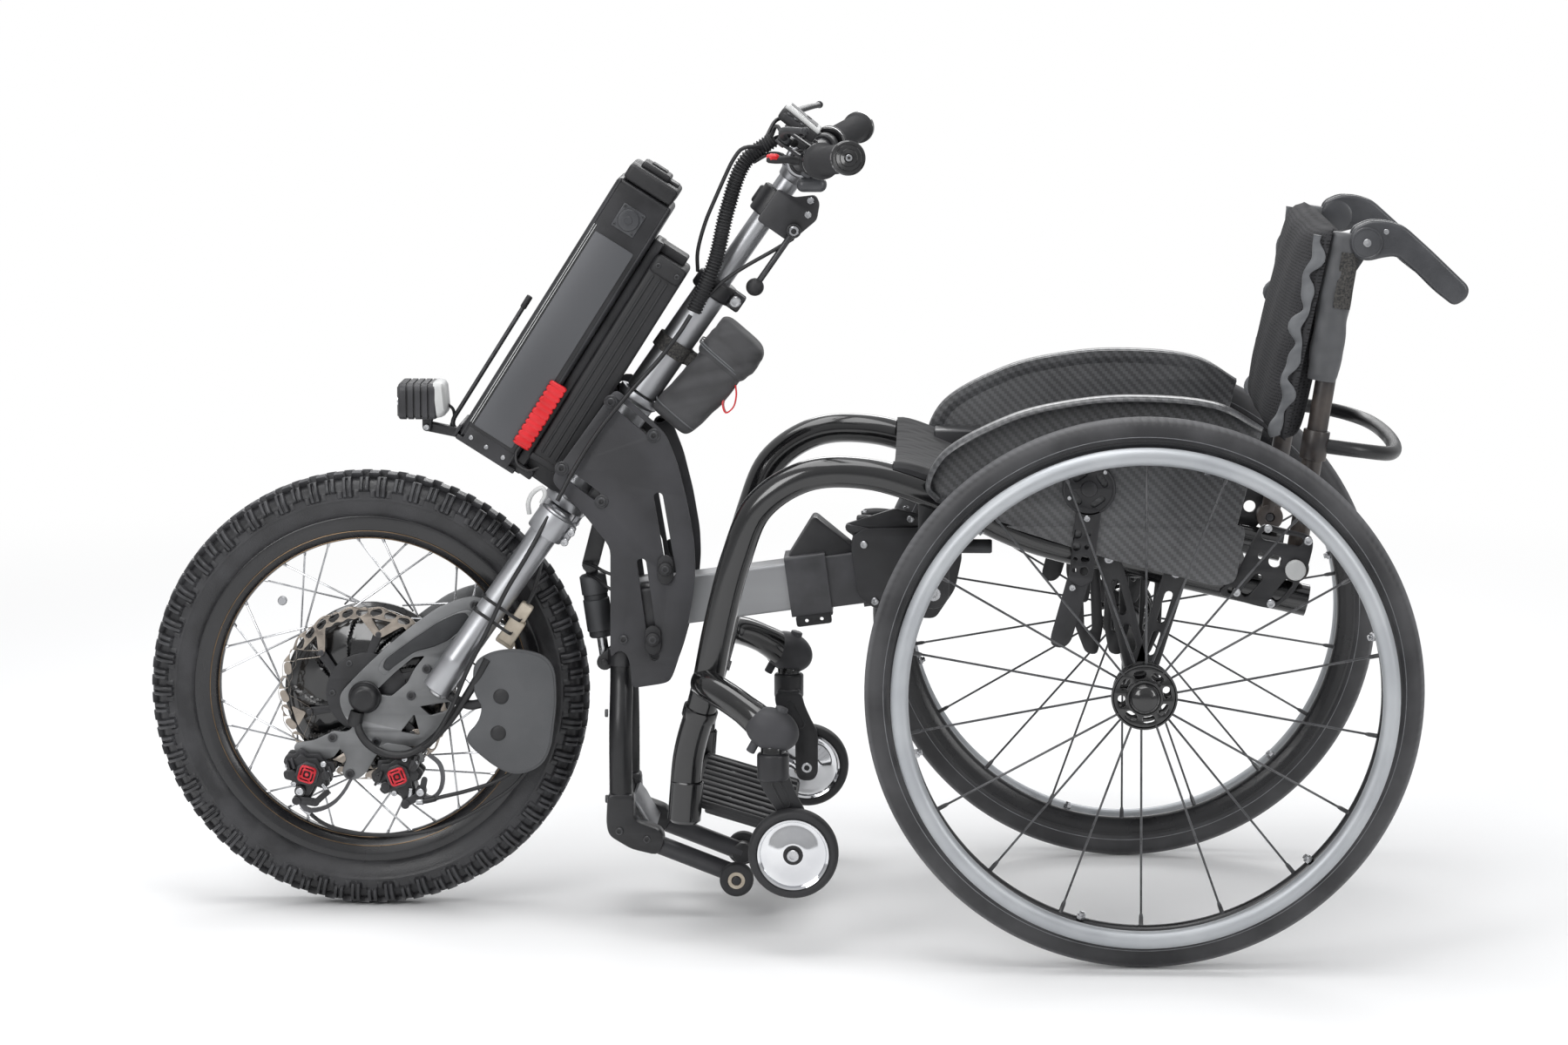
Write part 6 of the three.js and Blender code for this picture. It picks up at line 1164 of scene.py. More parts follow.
# Handlebar: straight between its bends, then back and up; the grips follow its ends.
bar = {"radius": 11, "bend": (0, -60, stem["bar"]), "end": (34, -275, 516), "bendRadius": 26, "perch": 145}
barEnd, barBend = vec(*bar["end"]), vec(*bar["bend"])
barOut = unit(barEnd - barBend)
barPoint = lambda fromEnd: barEnd - barOut * fromEnd
barLine = np.array([barEnd, barBend, barBend * (1, -1, 1), barEnd * (1, -1, 1)])
barPath = softCorners(barLine, bar["bendRadius"], 9, closed=False)
perchAt = barPoint(bar["perch"])
pivotAt = perchAt - (42, 0, 0)
perch = [roundedRing([(11, -9), (13.6, -9), (15, -7.6), (15, 7.6), (13.6, 9), (11, 9)], 0.8, perchAt,
                     barOut, 40)]
x, y, z = perchAt
px, py = pivotAt[:2]
perchLoop = np.array([(x - 8, y - 8), (x - 8, y + 9), (px + 9, py + 8.5), (px - 8, py + 6),
                      (px - 8, py - 7), (px + 6, py - 9)])
for low, high in ((-7.6, -4.4), (7.1, 10.3)):
    corners, faces = plateShell(softCorners(perchLoop * (1, -1), 5, 4), low, high, 0.7)
    perch.append((np.stack([corners[:, 0], -corners[:, 2], z + corners[:, 1]], axis=-1), faces))
perch.append(rod(pivotAt - (0, 0, 9.4), pivotAt + (0, 0, 11.4), 3.2, 0.6, 16))
perch.append(rod(perchAt + (-19, 0, 1.5), perchAt + (-12, 0, 1.5), 6.5, 1, 20))
barrel = [spun([(0, 0), (4.2, 0), (5.2, 1), (5.2, 11), (3.6, 12), (3.6, 18), (2.4, 19), (0, 19)],
               pivotAt + (10, 11, 1.5), (-0.25, 1, 0), 20)]
addPiece("handlebarTube", "steering", "blackAnodised",
         mastShells([tube(barPath, bar["radius"], 28)] + bothSides(perch)), "handlebar")
addPiece("perchBarrels", "steering", "blackSteel", mastShells(bothSides(barrel)))
addPiece("perchScrews", "steering", "steel", mastShells(bothSides([
    screw(pivotAt + (0, 0, 10.6), (0, 0, 1), 4.6, 2.0), screw(perchAt + (10, 6, -9), (0.5, 0, -1), 2.8, 5,
        sides=12)])))
grip = {"length": 125, "radius": 15.1, "rib": 0.7, "pitch": 4.2}
gripRun = np.arange(8, 118, grip["pitch"] / 6)
gripRibs = grip["radius"] + grip["rib"] * np.cos(gripRun / grip["pitch"] * 2 * math.pi)
gripProfile = [(11.6, 0), (19.2, 0), (20, 1), (20, 5), (17, 6.4), *zip(gripRibs, gripRun), (17.2, 119),
               (18.2, 120.4), (18.2, 122), (17.4, 122.6), (0, 122.6)]
gripCap = [spun([(0, 131.2), (4.4, 131), (5, 130), (9, 130.9), (9.8, 129.9), (13.4, 130.6), (14.2, 129.5),
                 (17, 130), (18.6, 128.6), (18.6, 123.6), (17, 122.4)],
                barPoint(grip["length"]), barOut, 44),
           roundedRing([(11.2, -3), (18.8, -3), (20, -2), (20, 2), (18.8, 3), (11.2, 3)], 0.6,
                       barPoint(128), barOut, 44)]
gripShell = spun(gripProfile, barPoint(grip["length"]), barOut, 44)
for side, name in sideNames:
    addPiece(name + "Grip", "steering", "gripRubber", mastShells(onSide([gripShell], side)),
             f"grip_{name}")
addPiece("gripCaps", "steering", "glossCoat", mastShells(bothSides(gripCap)))
addPiece("gripCapScrews", "steering", "steel",
         mastShells(bothSides([screw(barPoint(-5.6), barOut, 3.6, 1.2, sides=20)])))

# Brake levers: a hub, a blade that bows away from the bar and a ball at its end.
blade = smoothPath([pivotAt + barOut * 3 - (2.7, 0, 0), pivotAt + barOut * 20 - (9, 0, 0),
                    pivotAt + barOut * 46 - (13.6, 0, 0),
                    pivotAt + barOut * 90 - (12, 0, 0), pivotAt + barOut * 126 - (8.6, 0, 0)], 40)
bladeSize = np.interp(np.linspace(0, 1, 40), [0, 0.15, 0.5, 0.9, 1], [1.25, 1.15, 1.0, 0.85, 0.9])
leverTip = pivotAt + barOut * 130 - (8.4, 0, 0)
leverShells = [sweep(blade, oval(3.6, 4.1, 16), bladeSize),
               roundedRing([(3.7, -4), (8, -4), (8, 4), (3.7, 4)], 0.9, pivotAt, (0, 0, 1), 32),
               spun(ballProfile(4.4, 13), leverTip, barOut, 24)]
for side, name in sideNames:
    addPiece(name + "BrakeLever", f"brake_lever_{name}_arm", "darkAlloy",
             mastShells(onSide(leverShells, side)), f"brake_lever_{name}")

# Display: a tilted housing with a pale lid and a dark screen, on two rings round the bar.
displayAxes = turnedAxes(math.radians(4))
onDisplay = lambda x, y, z: vec(-27, 0, 499) + vec(x, y, z) @ displayAxes
displayBody = [boxShell(onDisplay(0, 0, -1), (48, 74, 15), 4, displayAxes)]
for y in (-31, 31):
    displayBody.append(roundedRing([(11.3, -6), (13.6, -6), (15, -4.6), (15, 4.6), (13.6, 6), (11.3, 6)],
                                   0.7, (0, y, stem["bar"]), (0, 1, 0), 36))
    displayBody.append(boxShell((-8, y, 485), (22, 11.6, 14), 2))
displayBody.append(boxShell(onDisplay(-6, -39.5, -2), (30, 8, 9), 3, displayAxes))
addPiece("displayBody", "steering", "blackNylon", mastShells(displayBody), "display")
addPiece("displayLid", "steering", "paleShell",
         mastShells([boxShell(onDisplay(0, 0, 7.6), (47, 73, 5.6), 2.6, displayAxes)]))
addPiece("displayScreen", "steering", "darkGlass",
         mastShells([boxShell(onDisplay(-1, 0, 10.2), (38, 56, 1.4), 0.6, displayAxes)]))
addPiece("displayButtons", "steering", "darkAlloy", mastShells([
    spun([(0, 0), (2.8, 0), (3.0, 0.8), (2.4, 1.6), (0, 1.9)], onDisplay(-6 + dx, -39.5, 2.4), (0, 0, 1),
         20) for dx in (-9, 0, 9)]))

# Thumb lever of the motor: a split ring, a paddle and its red face.
throttleAt = barPoint(167)
paddleWay = unit(vec(-1, 0, -0.6))
throttleRing = roundedRing([(11.5, -6), (14.4, -6), (15, -5.2), (15, 5.2), (14.4, 6), (11.5, 6)], 0.6,
                           throttleAt, -barOut, 40)
paddleSide = unit(np.cross(paddleWay, barOut))
paddlePath = smoothPath([throttleAt + paddleWay * 12.4, throttleAt + paddleWay * 24 + paddleSide * 1.0,
                         throttleAt + paddleWay * 38, throttleAt + paddleWay * 50.5], 18)
paddle = sweep(paddlePath, oval(4.6, 4.4, 20), np.interp(np.arange(18), [0, 3, 13, 16, 17],
    [0.9, 0.8, 1.0, 0.95, 0.6]))
paddleFace = sweep(paddlePath[11:] + paddleSide * 1.2, oval(5.2, 4.6, 20),
                   np.interp(np.arange(7), [0, 1, 4, 6], [0.75, 1.0, 1.0, 0.62]))
addPiece("throttlePaddle", "throttle", "blackNylon", mastShells([throttleRing, paddle]),
         "throttle_lever")
addPiece("throttleTip", "throttle", "redPlastic", mastShells([paddleFace]))
thumbKey = [boxShell(throttleAt + (13, 2, -21), (33, 20, 16), 7.6, turnedAxes(-vehicle["lean"]), 6),
            boxShell(throttleAt + (2, 2, -14), (12, 12, 10), 3)]
addPiece("thumbKey", "throttle", "handlePlastic", mastShells(thumbKey))

# Release: a plate clamped on the stem, its screws, and a rod with a ball.
releaseLoop = softCorners([(-5, 386), (-5, 428), (15, 430), (33, 446), (42, 441), (50, 424), (43, 398),
                           (40, 386)], 4, 4)
releaseBody = [plateShell(releaseLoop, -30, -22.5, 1.4), boxShell((11, -12, 408), (20, 22, 17), 3),
               roundedRing([(13.1, 391), (18.6, 391), (20, 392.4), (20, 423.6), (18.6, 425), (13.1, 425)],
                           1.0, (0, 0, 0), (0, 0, 1), 44),
               rod((36, -41, 400), (36, -22, 400), 4, 0.5, 20), boxShell((-16, 6, 408), (14, 12, 22), 3)]
addPiece("releasePlate", "steering", "blackAnodised", mastShells(releaseBody),
         "release_bracket")
plateScrewPlaces = ((36, -39.2, 400, 5.6, 3.2), (32, -30, 437.6, 4, 2.4), (38.6, -30, 423, 4, 2.4))
addPiece("releaseScrews", "steering", "steel", mastShells([
    screw((x, y, z), (0, -1, 0), radius, height) for x, y, z, radius, height in plateScrewPlaces] + [
    screw((-16, -0.4, 408), (0, -1, 0), 3.4, 2.6, sides=16)]))
ballAt = vec(36, -34.3, 324)
addPiece("releaseArm", "release_arm", "blackSteel", mastShells([
    roundedRing([(4.6, -38.1), (8, -38.1), (8, -30.6), (4.6, -30.6)], 0.7, (36, 0, 400), (0, 1, 0), 32),
    rod((36, -34.3, 393.5), ballAt, 3.6, 0.4, 18)]), "release_lever")
addPiece("releaseBall", "release_arm", "blackNylon",
         mastShells([spun(ballProfile(10, 21), ballAt, (0, 0, 1), 32)]))

# Loom: a corrugated hose, radius = mean + rib * wave along its length, from the bar down the stem.
loom = {"top": 470, "foot": 262, "stand": 40, "radius": 8.3, "rib": 0.85, "pitch": 3.6,
        "route": [(0, -1, -0.4), (0.19, -1.3, -0.5), (0.45, -0.95, -0.65), (0.72, -0.4, -0.735),
                  (1, -0.1, -0.795)]}
loomDrop = loom["top"] - loom["foot"]
loomPath = smoothPath([(forward * loom["stand"], side * loom["stand"], loom["top"] - down * loomDrop)
                       for down, forward, side in loom["route"]], 361)
loomWave = np.cos(runAlong(loomPath) / loom["pitch"] * 2 * math.pi)
loomRadius = loom["radius"] + loom["rib"] * np.clip(1.6 * loomWave, -1, 1)
addPiece("controlLoom", "steering", "blackNylon",
         mastShells([tube(loomPath, loomRadius, 20)]), "cable_loom", sharp=50)

# Thin wires between the controls, the loom and the display.
controlWires = {
    "thinWire": [(-38, -18, 456), (-52, -32, 452), (-63, -40, 442), (-64, -41, 426), (-61.6, -40, 409.5),
                 (-56, -40, 380), (-50, -38, 352), (-38, -24, 318), (-26, -14, 300)],
    "releaseWire": [(40, -30, 392), (30, -36, 370), (14, -34, 336), (4, -30, 310), (0, -26.4, 290),
                    (-2, -24.6, 272), (-4, -24, 262)],
    "displayWire": [(-14, -38, 492), (-22, -40, 486), (-34, -28, 478), (-40, -18, 470), (-38, -15, 458)],
    "brakeWireNear": [pivotAt + (9, 22, 1.5), pivotAt + (6, 44, 0), pivotAt + (4, 66, -8), (-46, -34, 484),
                      (-44, -20, 466), (-50, -18, 440)],
    "brakeWireFar": [(pivotAt + (9, 22, 1.5)) * (1, -1, 1), (pivotAt + (6, 44, 0)) * (1, -1, 1),
                     (-40, 28, 494), (-50, 4, 486), (-48, -14, 462), (-50, -20, 436)],
    "throttleWire": [throttleAt + barOut * -6 - (8, 0, 6), throttleAt - barOut * 30 - (14, 0, 10),
                     (-24, -44, 462), (-36, -22, 452), (-44, -20, 436)],
}
for name, route in controlWires.items():
    addPiece(name, "steering", "cableSheath",
             mastShells([tube(smoothPath(route, 40), 2.2, 12)]))

# Cables that leave the loom: one stays with the side plates, one turns with the fork.
vehicleCables = {
    "sideCableRun": ("chassis", "side_cable", [(366.5, -38.5, 677.5), (356, -46, 661), (334, -58, 632),
        (300, -66, 594), (266, -67.3, 552), (238, -69.3, 508), (220, -75.3, 474)]),
    "forkCableRun": ("steering", "fork_cable", [(211, -84, 458), (188, -89.6, 416), (162, -88.6, 372),
        (142, -88, 330), (118, -88, 282), (98, -86, 236), (76, -77, 202), (60, -66, 190)]),
}
for name, (body, node, route) in vehicleCables.items():
    addPiece(name, body, "cableSheath", [tube(smoothPath(route, 80), 2.5, 14)], node)

# Connectors tied behind the leg: ivory shells in a stack with their wires and dark ties.
plugAxes = turnedAxes(vehicle["lean"] - 0.03)
plugSizes = (((167, -62, 326), (19, 22, 30)), ((180, -62, 347), (15, 20, 20)),
             ((159.5, -62, 313), (22, 12, 9)), ((172, -62, 338), (20, 12, 5)))
plugs = [boxShell(at, size, 2.6, plugAxes) for at, size in plugSizes]
addPiece("connectorStack", "steering", "ivoryNylon", plugs)
ties = [sweep(softCorners(onMast([(-17.5, -49, z), (-17.5, -83, z), (34, -83, z), (34, -49, z)]), 8, 5),
              rectangle(3.6, 1), closed=True) for z in (-128, -146)]
wires = [tube(smoothPath([(184 + k, -60 - 2 * k, 356), (189 + 2 * k, -58, 366 + 2 * k),
                          (194 + k, -56 + 3 * k, 384), (202, -50 + 4 * k, 410), (212, -44, 440)], 24),
              1.5, 8) for k in range(3)]
addPiece("connectorTies", "steering", "cableSheath", ties + wires)

# Battery: an extruded case with softened edges, a graphite side panel, a port plate, seams along
# its length.
packAxes = turnedAxes(math.radians(-2.5))
packMiddle = vec(-115, 0, 172)
onPack = lambda x, y, z: packMiddle + vec(x, y, z) @ packAxes
packBody = [boxShell(packMiddle, (70, 92, 340), 6, packAxes, 4)]
for x in (-31, 31):
    for side in (-1, 1):
        packBody.append(boxShell(onPack(x, side * 46, 0), (2.2, 1.6, 338), 0.7, packAxes))
addPiece("batteryHousing", "chassis", "blackAnodised", mastShells(packBody), "battery_case")
panelLoop = softCorners([(-25, -152), (25, -152), (25, 105), (-25, 105)], 2, 3)
for side, name in ((-1, "left"), (1, "right")):
    corners, faces = plateShell(panelLoop, -1.6, 0.0, 0.7)
    panel = (packMiddle + (corners + (0, side * 46.4, 0)) @ packAxes, faces)
    addPiece(name + "BatteryPanel", "chassis", "packSide", mastShells([panel]))
addPiece("batteryLines", "chassis", "paleShell", mastShells([
    boxShell(onPack(x, side * 46.6, -20), (0.8, 1.2, 262), 0.3, packAxes) for x in (-27.6, -30)
    for side in (-1, 1)]))
portPlate = boxShell(onPack(0, -46.6, 134), (29, 3, 29), 1.2, packAxes)
portCap = spun([(0, -51.4), (4, -51.4), (4.6, -50.6), (9, -50.6), (11.4, -50.2), (12.2, -49.2),
                (12.2, -46)], onPack(0, 0, 134), (0, 1, 0), 40)
addPiece("batteryPort", "chassis", "handlePlastic", mastShells([portPlate, portCap]))
addPiece("batteryPortScrews", "chassis", "darkAlloy", mastShells([
    screw(onPack(x, -48.1, 134 + z), (0, -1, 0), 1.7, 0.9, sides=12) for x in (-11.6, 11.6)
    for z in (-11.6, 11.6)]))
capShells = [boxShell(onPack(0, 0, 180.3), (62, 92, 19.6), 5, packAxes, 4),
             boxShell(onPack(-3, 0, 193), (36, 50, 9), 3.4, packAxes),
             boxShell(onPack(20, 0, 191), (14, 30, 5), 2, packAxes),
             boxShell(onPack(-2, 0, 198), (20, 22, 3), 1.4, packAxes)]
addPiece("batteryTop", "chassis", "blackNylon", mastShells(capShells), "battery_cap")

# Tray: a foot under the battery, a rail behind it, the bent guide rod before it and the lamp's arm.
trayShells = [boxShell(onPack(3, 0, -173.3), (76, 92, 6), 1.6, packAxes),
              boxShell(onPack(41.5, 0, -22), (12, 64, 306), 2.4, packAxes),
              boxShell(onPack(-37, 0, -168), (4, 90, 16), 1.4, packAxes),
              boxShell(onPack(2, -45.2, -166), (60, 2.6, 20), 1.0, packAxes),
              boxShell(onPack(2, 45.2, -166), (60, 2.6, 20), 1.0, packAxes)]
trayFoot = [boxShell((-40, 0, 34), (68, 39, 62), 4), boxShell((-72, 0, 6), (50, 70, 10), 2)]
lampPin = offMast((68, 548))
armFrom = onPack(-29, 0, -173.3)
lampArm = plateShell(slotLoop((armFrom[0], armFrom[2]), lampPin, 11), -6, 6, 1.4,
                     [circle(2.9, 20) + lampPin])
guideLine = [onPack(-24, 0, -176), onPack(-49, 0, -175), onPack(-49, 0, -4)]
guideRod = tube(softCorners(np.array(guideLine), 13, 8, closed=False), 2.6, 14)
addPiece("batteryTrayFoot", "chassis", "blackAnodised",
         mastShells(trayShells + trayFoot + [lampArm]), "battery_tray")
addPiece("batteryGuideRod", "chassis", "blackSteel", mastShells([guideRod]))
addPiece("batteryGuideTip", "chassis", "gripRubber",
         mastShells([rod(onPack(-49, 0, -18), onPack(-49, 0, -2), 3.6, 1.2, 16)]))
addPiece("trayScrews", "chassis", "steel", mastShells([
    screw(onPack(x, -46.5, -166), (0, -1, 0), 2.6, 1.4, sides=14) for x in (-20, 0, 22)] + [
    screw(vec(lampPin[0], -12.5, lampPin[1]), (0, -1, 0), 3.6, 2.2, sides=16)]))

# Ribbed red clip on the case behind the battery: a block with grooves cut across it.
clipFrom, clipTo = vec(220.9, -47, 601), vec(176.9, -47, 531.5)
clipWay = unit(clipTo - clipFrom)
clipSteps = np.linspace(0, np.linalg.norm(clipTo - clipFrom), 61)
ribbed = 1 - 0.16 * (np.sin(clipSteps / 7.4 * 2 * math.pi) < -0.55)
ribbed[0] = ribbed[-1] = 0.8
clipShell = sweep(clipFrom + clipWay * clipSteps[:, None], softCorners(rectangle(21, 9), 2.2, 4), ribbed)
addPiece("redClip", "chassis", "redPlastic", [clipShell], sharp=30)
clipCord = tube(smoothPath([(178, -47, 533), (172, -50, 524), (174, -54, 512), (186, -56, 505),
                            (198, -54, 508)], 24), 1.8, 10)
addPiece("redClipCord", "chassis", "cableSheath", [clipCord])

# Controller case behind the battery, with its overhanging lid and long grooves.
onCase = lambda x, y, z: onPack(66.5 + x, y, z - 15)
caseShells = [boxShell(onCase(0, 0, -2), (40, 84, 262), 4, packAxes),
              boxShell(onCase(0, 0, 124), (40, 90, 22), 6, packAxes, 4),
              boxShell(onCase(-1, 0, -132), (39, 87, 8), 2, packAxes),
              boxShell(onCase(-8, 0, 140), (40, 44, 12), 3, packAxes)]
caseShells += [boxShell(onCase(x, 0, -6), (3, 86.4, 236), 1.2, packAxes) for x in (-11, -2, 7)]
addPiece("controllerCase", "chassis", "blackNylon", mastShells(caseShells), "controller_box")
addPiece("controllerScrews", "chassis", "blackSteel", mastShells([
    screw(onCase(x, -45, 124), (0, -1, 0), 2.8, 1.6, sides=14) for x in (-12, 12)]))

# Headlight: a finned barrel with softened square section, its dark lens, a back painted pale as a painted
# highlight on the lamp's rear, and swivel lugs.
lampRun = [0, 1.5, 3, 9, 9.4, 11, 11.4, 17, 17.4, 19, 19.4, 25, 25.4, 27, 27.4, 33, 33.4, 35, 35.4, 41, 43]
lampSize = [0.9, 0.98, 1, *[1, 0.93, 0.93, 1] * 4, 0.98, 0.93]
lampBackLine = [(79.5, 0, 579.5), (84, 0, 580), (88, 0, 580.4), (90.4, 0, 580.6)]
lampSection = softCorners(rectangle(62, 41.2), 9, 6)[:, ::-1]
lampBody = sweep([(38 + along, 0, 578.5) for along in lampRun], lampSection, lampSize)
lampBackHighlight = sweep(lampBackLine, lampSection, [0.97, 0.95, 0.88, 0.7])
lampLugs = [plateShell(slotLoop((68, 548), (68, 566), 10), y - 2, y + 2, 0.7) for y in (-8.3, 8.3)]
lampFoot = [boxShell((69, 0, 558.5), (16, 20, 5), 2), rod((68, -10.3, 548), (68, 10.3, 548), 2.5, 0.3, 14)]
addPiece("lampBody", "headlamp", "blackAnodised", [lampBody, *lampLugs, *lampFoot],
         "headlight", sharp=30)
# the back is painted pale: a painted highlight on the lamp's rear end
addPiece("lampBackHighlight", "headlamp", "paleShell", [lampBackHighlight])
lampFace = boxShell((37.8, 0, 578.5), (1.6, 52, 33), 0.6)
addPiece("lampFace", "headlamp", "darkGlass", [lampFace])
addPiece("lampLenses", "headlamp", "chrome",
         [spun([(0, -3.5), (6, -3.2), (10.5, -1.0), (11.6, 0.6), (12.4, 0.6), (12.6, -0.6)],
               (37.4, y, 578.5), (-1, 0, 0), 36) for y in (-14, 14)])
lampWire = tube(smoothPath([(90, 6, 572), (96, 7, 566), (97, 7, 556), (94, 6, 548), (98, 6, 540)], 24),
                1.8, 10)
addPiece("lampWire", "headlamp", "cableSheath", [lampWire])
print("fork, stem, controls and battery made")

# Side plates: cut outline with long slots; the outer face stays bare; screws and oval clamp knobs.
sidePlate = {
    "corner": (214.3, 260.1), "size": (158, 338), "low": 54, "high": 60,
    "outline": [(0.441, 1), (0.637, 0.918), (0.792, 0.852), (0.875, 0.753), (0.945, 0.62), (0.993, 0.487),
                (1, 0.4), (0.985, 0.32), (0.942, 0.206), (0.87, 0.085), (0.828, 0.031), (0.785, 0.018),
                (0.543, 0), (0.541, 0.071), (0.509, 0.121), (0.445, 0.127), (0.395, 0.1), (0.4, 0.472),
                (0.21, 0.585), (0, 0.684), (0, 0.714)],
    "slots": [((0.46, 0.945), (0.68, 0.86)), ((0.13, 0.705), (0.3, 0.645)), ((0.74, 0.64), (0.83, 0.39)),
              ((0.62, 0.42), (0.71, 0.11))],
    "screws": [(0.41, 0.955), (0.71, 0.845), (0.06, 0.735), (0.34, 0.625), (0.49, 0.165)],
    "knobs": [(0.79, 0.4), (0.7, 0.165)],
}
plateSpread = lambda shares: spread(shares, *sidePlate["size"], *sidePlate["corner"])
plateEdge = softCorners(plateSpread(sidePlate["outline"]), 9, 4)
plateSlots = [slotLoop(*plateSpread(ends), 10.5, 8) for ends in sidePlate["slots"]]
plateScrews = [screw((x, -sidePlate["high"], z), (0, -1, 0), 5, 3.2, sides=20)
               for x, z in plateSpread(sidePlate["screws"])]
plateWashers = [spun([(0, -61.2), (7.2, -61.2), (7.8, -60.6), (7.8, -59.5), (0, -59.5)], (x, 0, z),
                     sides=28) for x, z in plateSpread(sidePlate["screws"])[:4]]
knobShells, knobBolts = [], []
for x, z in plateSpread(sidePlate["knobs"]):
    knobShells += [plateShell(slotLoop((x, z - 7.5), (x, z + 7.5), 18, 10), -64.5, -60.1, 1.4),
                   spun([(0, -69), (5.4, -69), (7.4, -67.6), (8.2, -64.4), (8.2, -60)], (x, 0, z + 1),
                        sides=32)]
    knobBolts.append(screw((x, -68.6, z + 1), (0, -1, 0), 4.2, 1.2, sides=20))
farSlots = [slotLoop(*(plateSpread(ends) + (3, 8)), 26, 8) for ends in sidePlate["slots"]]
for side, name in sideNames:
    plateCuts = plateSlots if side > 0 else farSlots
    plateMain = plateShell(plateEdge, -sidePlate["high"], -sidePlate["low"], 0.8, plateCuts)
    addPiece(name + "SidePlate", "chassis", "satinCoat", onSide([plateMain], side),
             f"side_plate_{name}")
    addPiece(name + "SidePlateScrews", "chassis", "blackSteel",
             onSide(plateScrews + plateWashers + knobBolts, side))
    addPiece(name + "SideClamps", "chassis", "blackNylon", onSide(knobShells, side))

# Docking beam: a square tube with rounded edges, a block in its front end, and its welded joint.
beam = {"start": (300, 346), "rise": math.radians(7.9), "length": 300, "height": 54, "width": 44,
        "block": 46}
beamAxes = turnedAxes(-beam["rise"])
onBeam = lambda along, y, up: vec(beam["start"][0], 0, beam["start"][1]) + vec(along, y, up) @ beamAxes
beamLoop = softCorners(rectangle(beam["width"], beam["height"]), 4, 5)
beamInner = softCorners(rectangle(beam["width"] - 6, beam["height"] - 6), 2.5, 5)


# a section (y, up) carried along the beam from one place to another, hollow where an inner one is given
def alongBeam(loop, fromAlong, toAlong, inner=None):
    loops = [np.stack([onBeam(a, *point) for point in loop]) for a in (fromAlong, toAlong)]
    if inner is None:
        return cappedGrid(np.array(loops))
    loops += [np.stack([onBeam(a, *point) for point in inner]) for a in (toAlong, fromAlong)]
    return gridShell(np.array(loops), closeU=True, closeV=True)


addPiece("dockBeam", "chassis", "beamAlloy", [
    alongBeam(beamLoop, beam["block"], beam["length"], beamInner), alongBeam(beamLoop, 0, beam["block"])],
    "docking_beam")
addPiece("dockBeamBlock", "chassis", "standEnamel",
         [boxShell(onBeam(23, 0, 0), (46, 107, 50), 4, beamAxes)])

# Sleeve on the beam: a folded band with a tab below and a raised wedge of plates above.
sleeveLoop = softCorners(rectangle(58.6, 68.6), 4, 4)
sleeveBore = softCorners(rectangle(45, 55), 3, 4)
sleeve = alongBeam(sleeveLoop, 176, 222, sleeveBore)
wedgeLoop = [(473, 402), (501.6, 449), (506, 449), (549, 414), (549, 404)]
tabLoop = [(onBeam(a, 0, u)[0], onBeam(a, 0, u)[2])
           for a, u in ((180, -33), (220, -33), (220, -46), (180, -46))]
bracketShells = [sleeve, alongBeam(softCorners(rectangle(49, 59), 3, 4), 221, 262, sleeveBore),
                 plateShell(softCorners(wedgeLoop, 2.5, 3), -20, 20, 1.0)] + bothSides([
    plateShell(softCorners(tabLoop, 3, 3), -28, -24, 0.7,
               [hole(*onBeam(192, 0, -40)[[0, 2]], 2), hole(*onBeam(209, 0, -40)[[0, 2]], 2)])])
addPiece("beamSleeve", "chassis", "blackAnodised", bracketShells, "beam_bracket")

# Receiver under the seat: a folded housing with a locking handle, a release pin and its screws.
receiver = {"corner": (553, 338), "size": (112, 103), "outline": [(-0.07, 0.75), (0, 0.24), (0.155, 0.11),
    (0.65, 0), (0.775, 0), (0.97, 0.32), (1.04, 0.68), (1, 0.9), (0.85, 1), (0.06, 0.98), (-0.06, 0.9)]}
receiverLoop = softCorners(spread(receiver["outline"], *receiver["size"], *receiver["corner"]), 6, 4)
receiverShells = [plateShell(receiverLoop, -37, -31, 1.0), plateShell(receiverLoop, 31, 37, 1.0),
                  plateShell(drawnIn(receiverLoop, 0.93), -32, 32, 0.5),
                  alongBeam(softCorners(rectangle(58, 66), 3, 4), 258, beam["length"], sleeveBore)]
handleSize = np.interp(np.arange(24), [0, 2, 6, 18, 21, 23], [0.6, 1, 1.05, 0.95, 1.1, 0.7])
mechLoop = softCorners([(538.7, 436), (538.7, 443), (560, 450), (594, 461), (627, 453), (624, 440),
                        (600, 426), (556, 424)], 3, 3)
mechBarLoop = softCorners([(539, 437), (539, 444), (599, 432), (599, 424)], 2.5, 3)
receiverShells += [plateShell(mechLoop, -30, -24, 0.9), plateShell(mechBarLoop, -35, -30, 0.9)]
receiverShells += [tube(smoothPath([(556, 0, 450), (575, 0, 451), (590, 0, 450), (611, 0, 449)], 24),
                        6 * handleSize, 18),
                   rod((588, 0, 450), (588, 0, 438), 6, 0.8, 20), boxShell((588, 0, 441), (30, 26, 8), 3),
                   boxShell((560, -20, 447), (18, 12, 10), 3), boxShell((600, 18, 444), (26, 14, 10), 3)]
addPiece("dockReceiver", "chassis", "blackAnodised", receiverShells, "dock_receiver")
addPiece("dockPin", "chassis", "darkAlloy", [
    spun([(0, 0), (6.5, 0), (8, 1.4), (8, 14), (7, 15), (7, 22), (8, 23), (8, 60), (6.8, 62), (0, 62)],
         (641, 0, 414.4), (1, 0, 0), 28)])
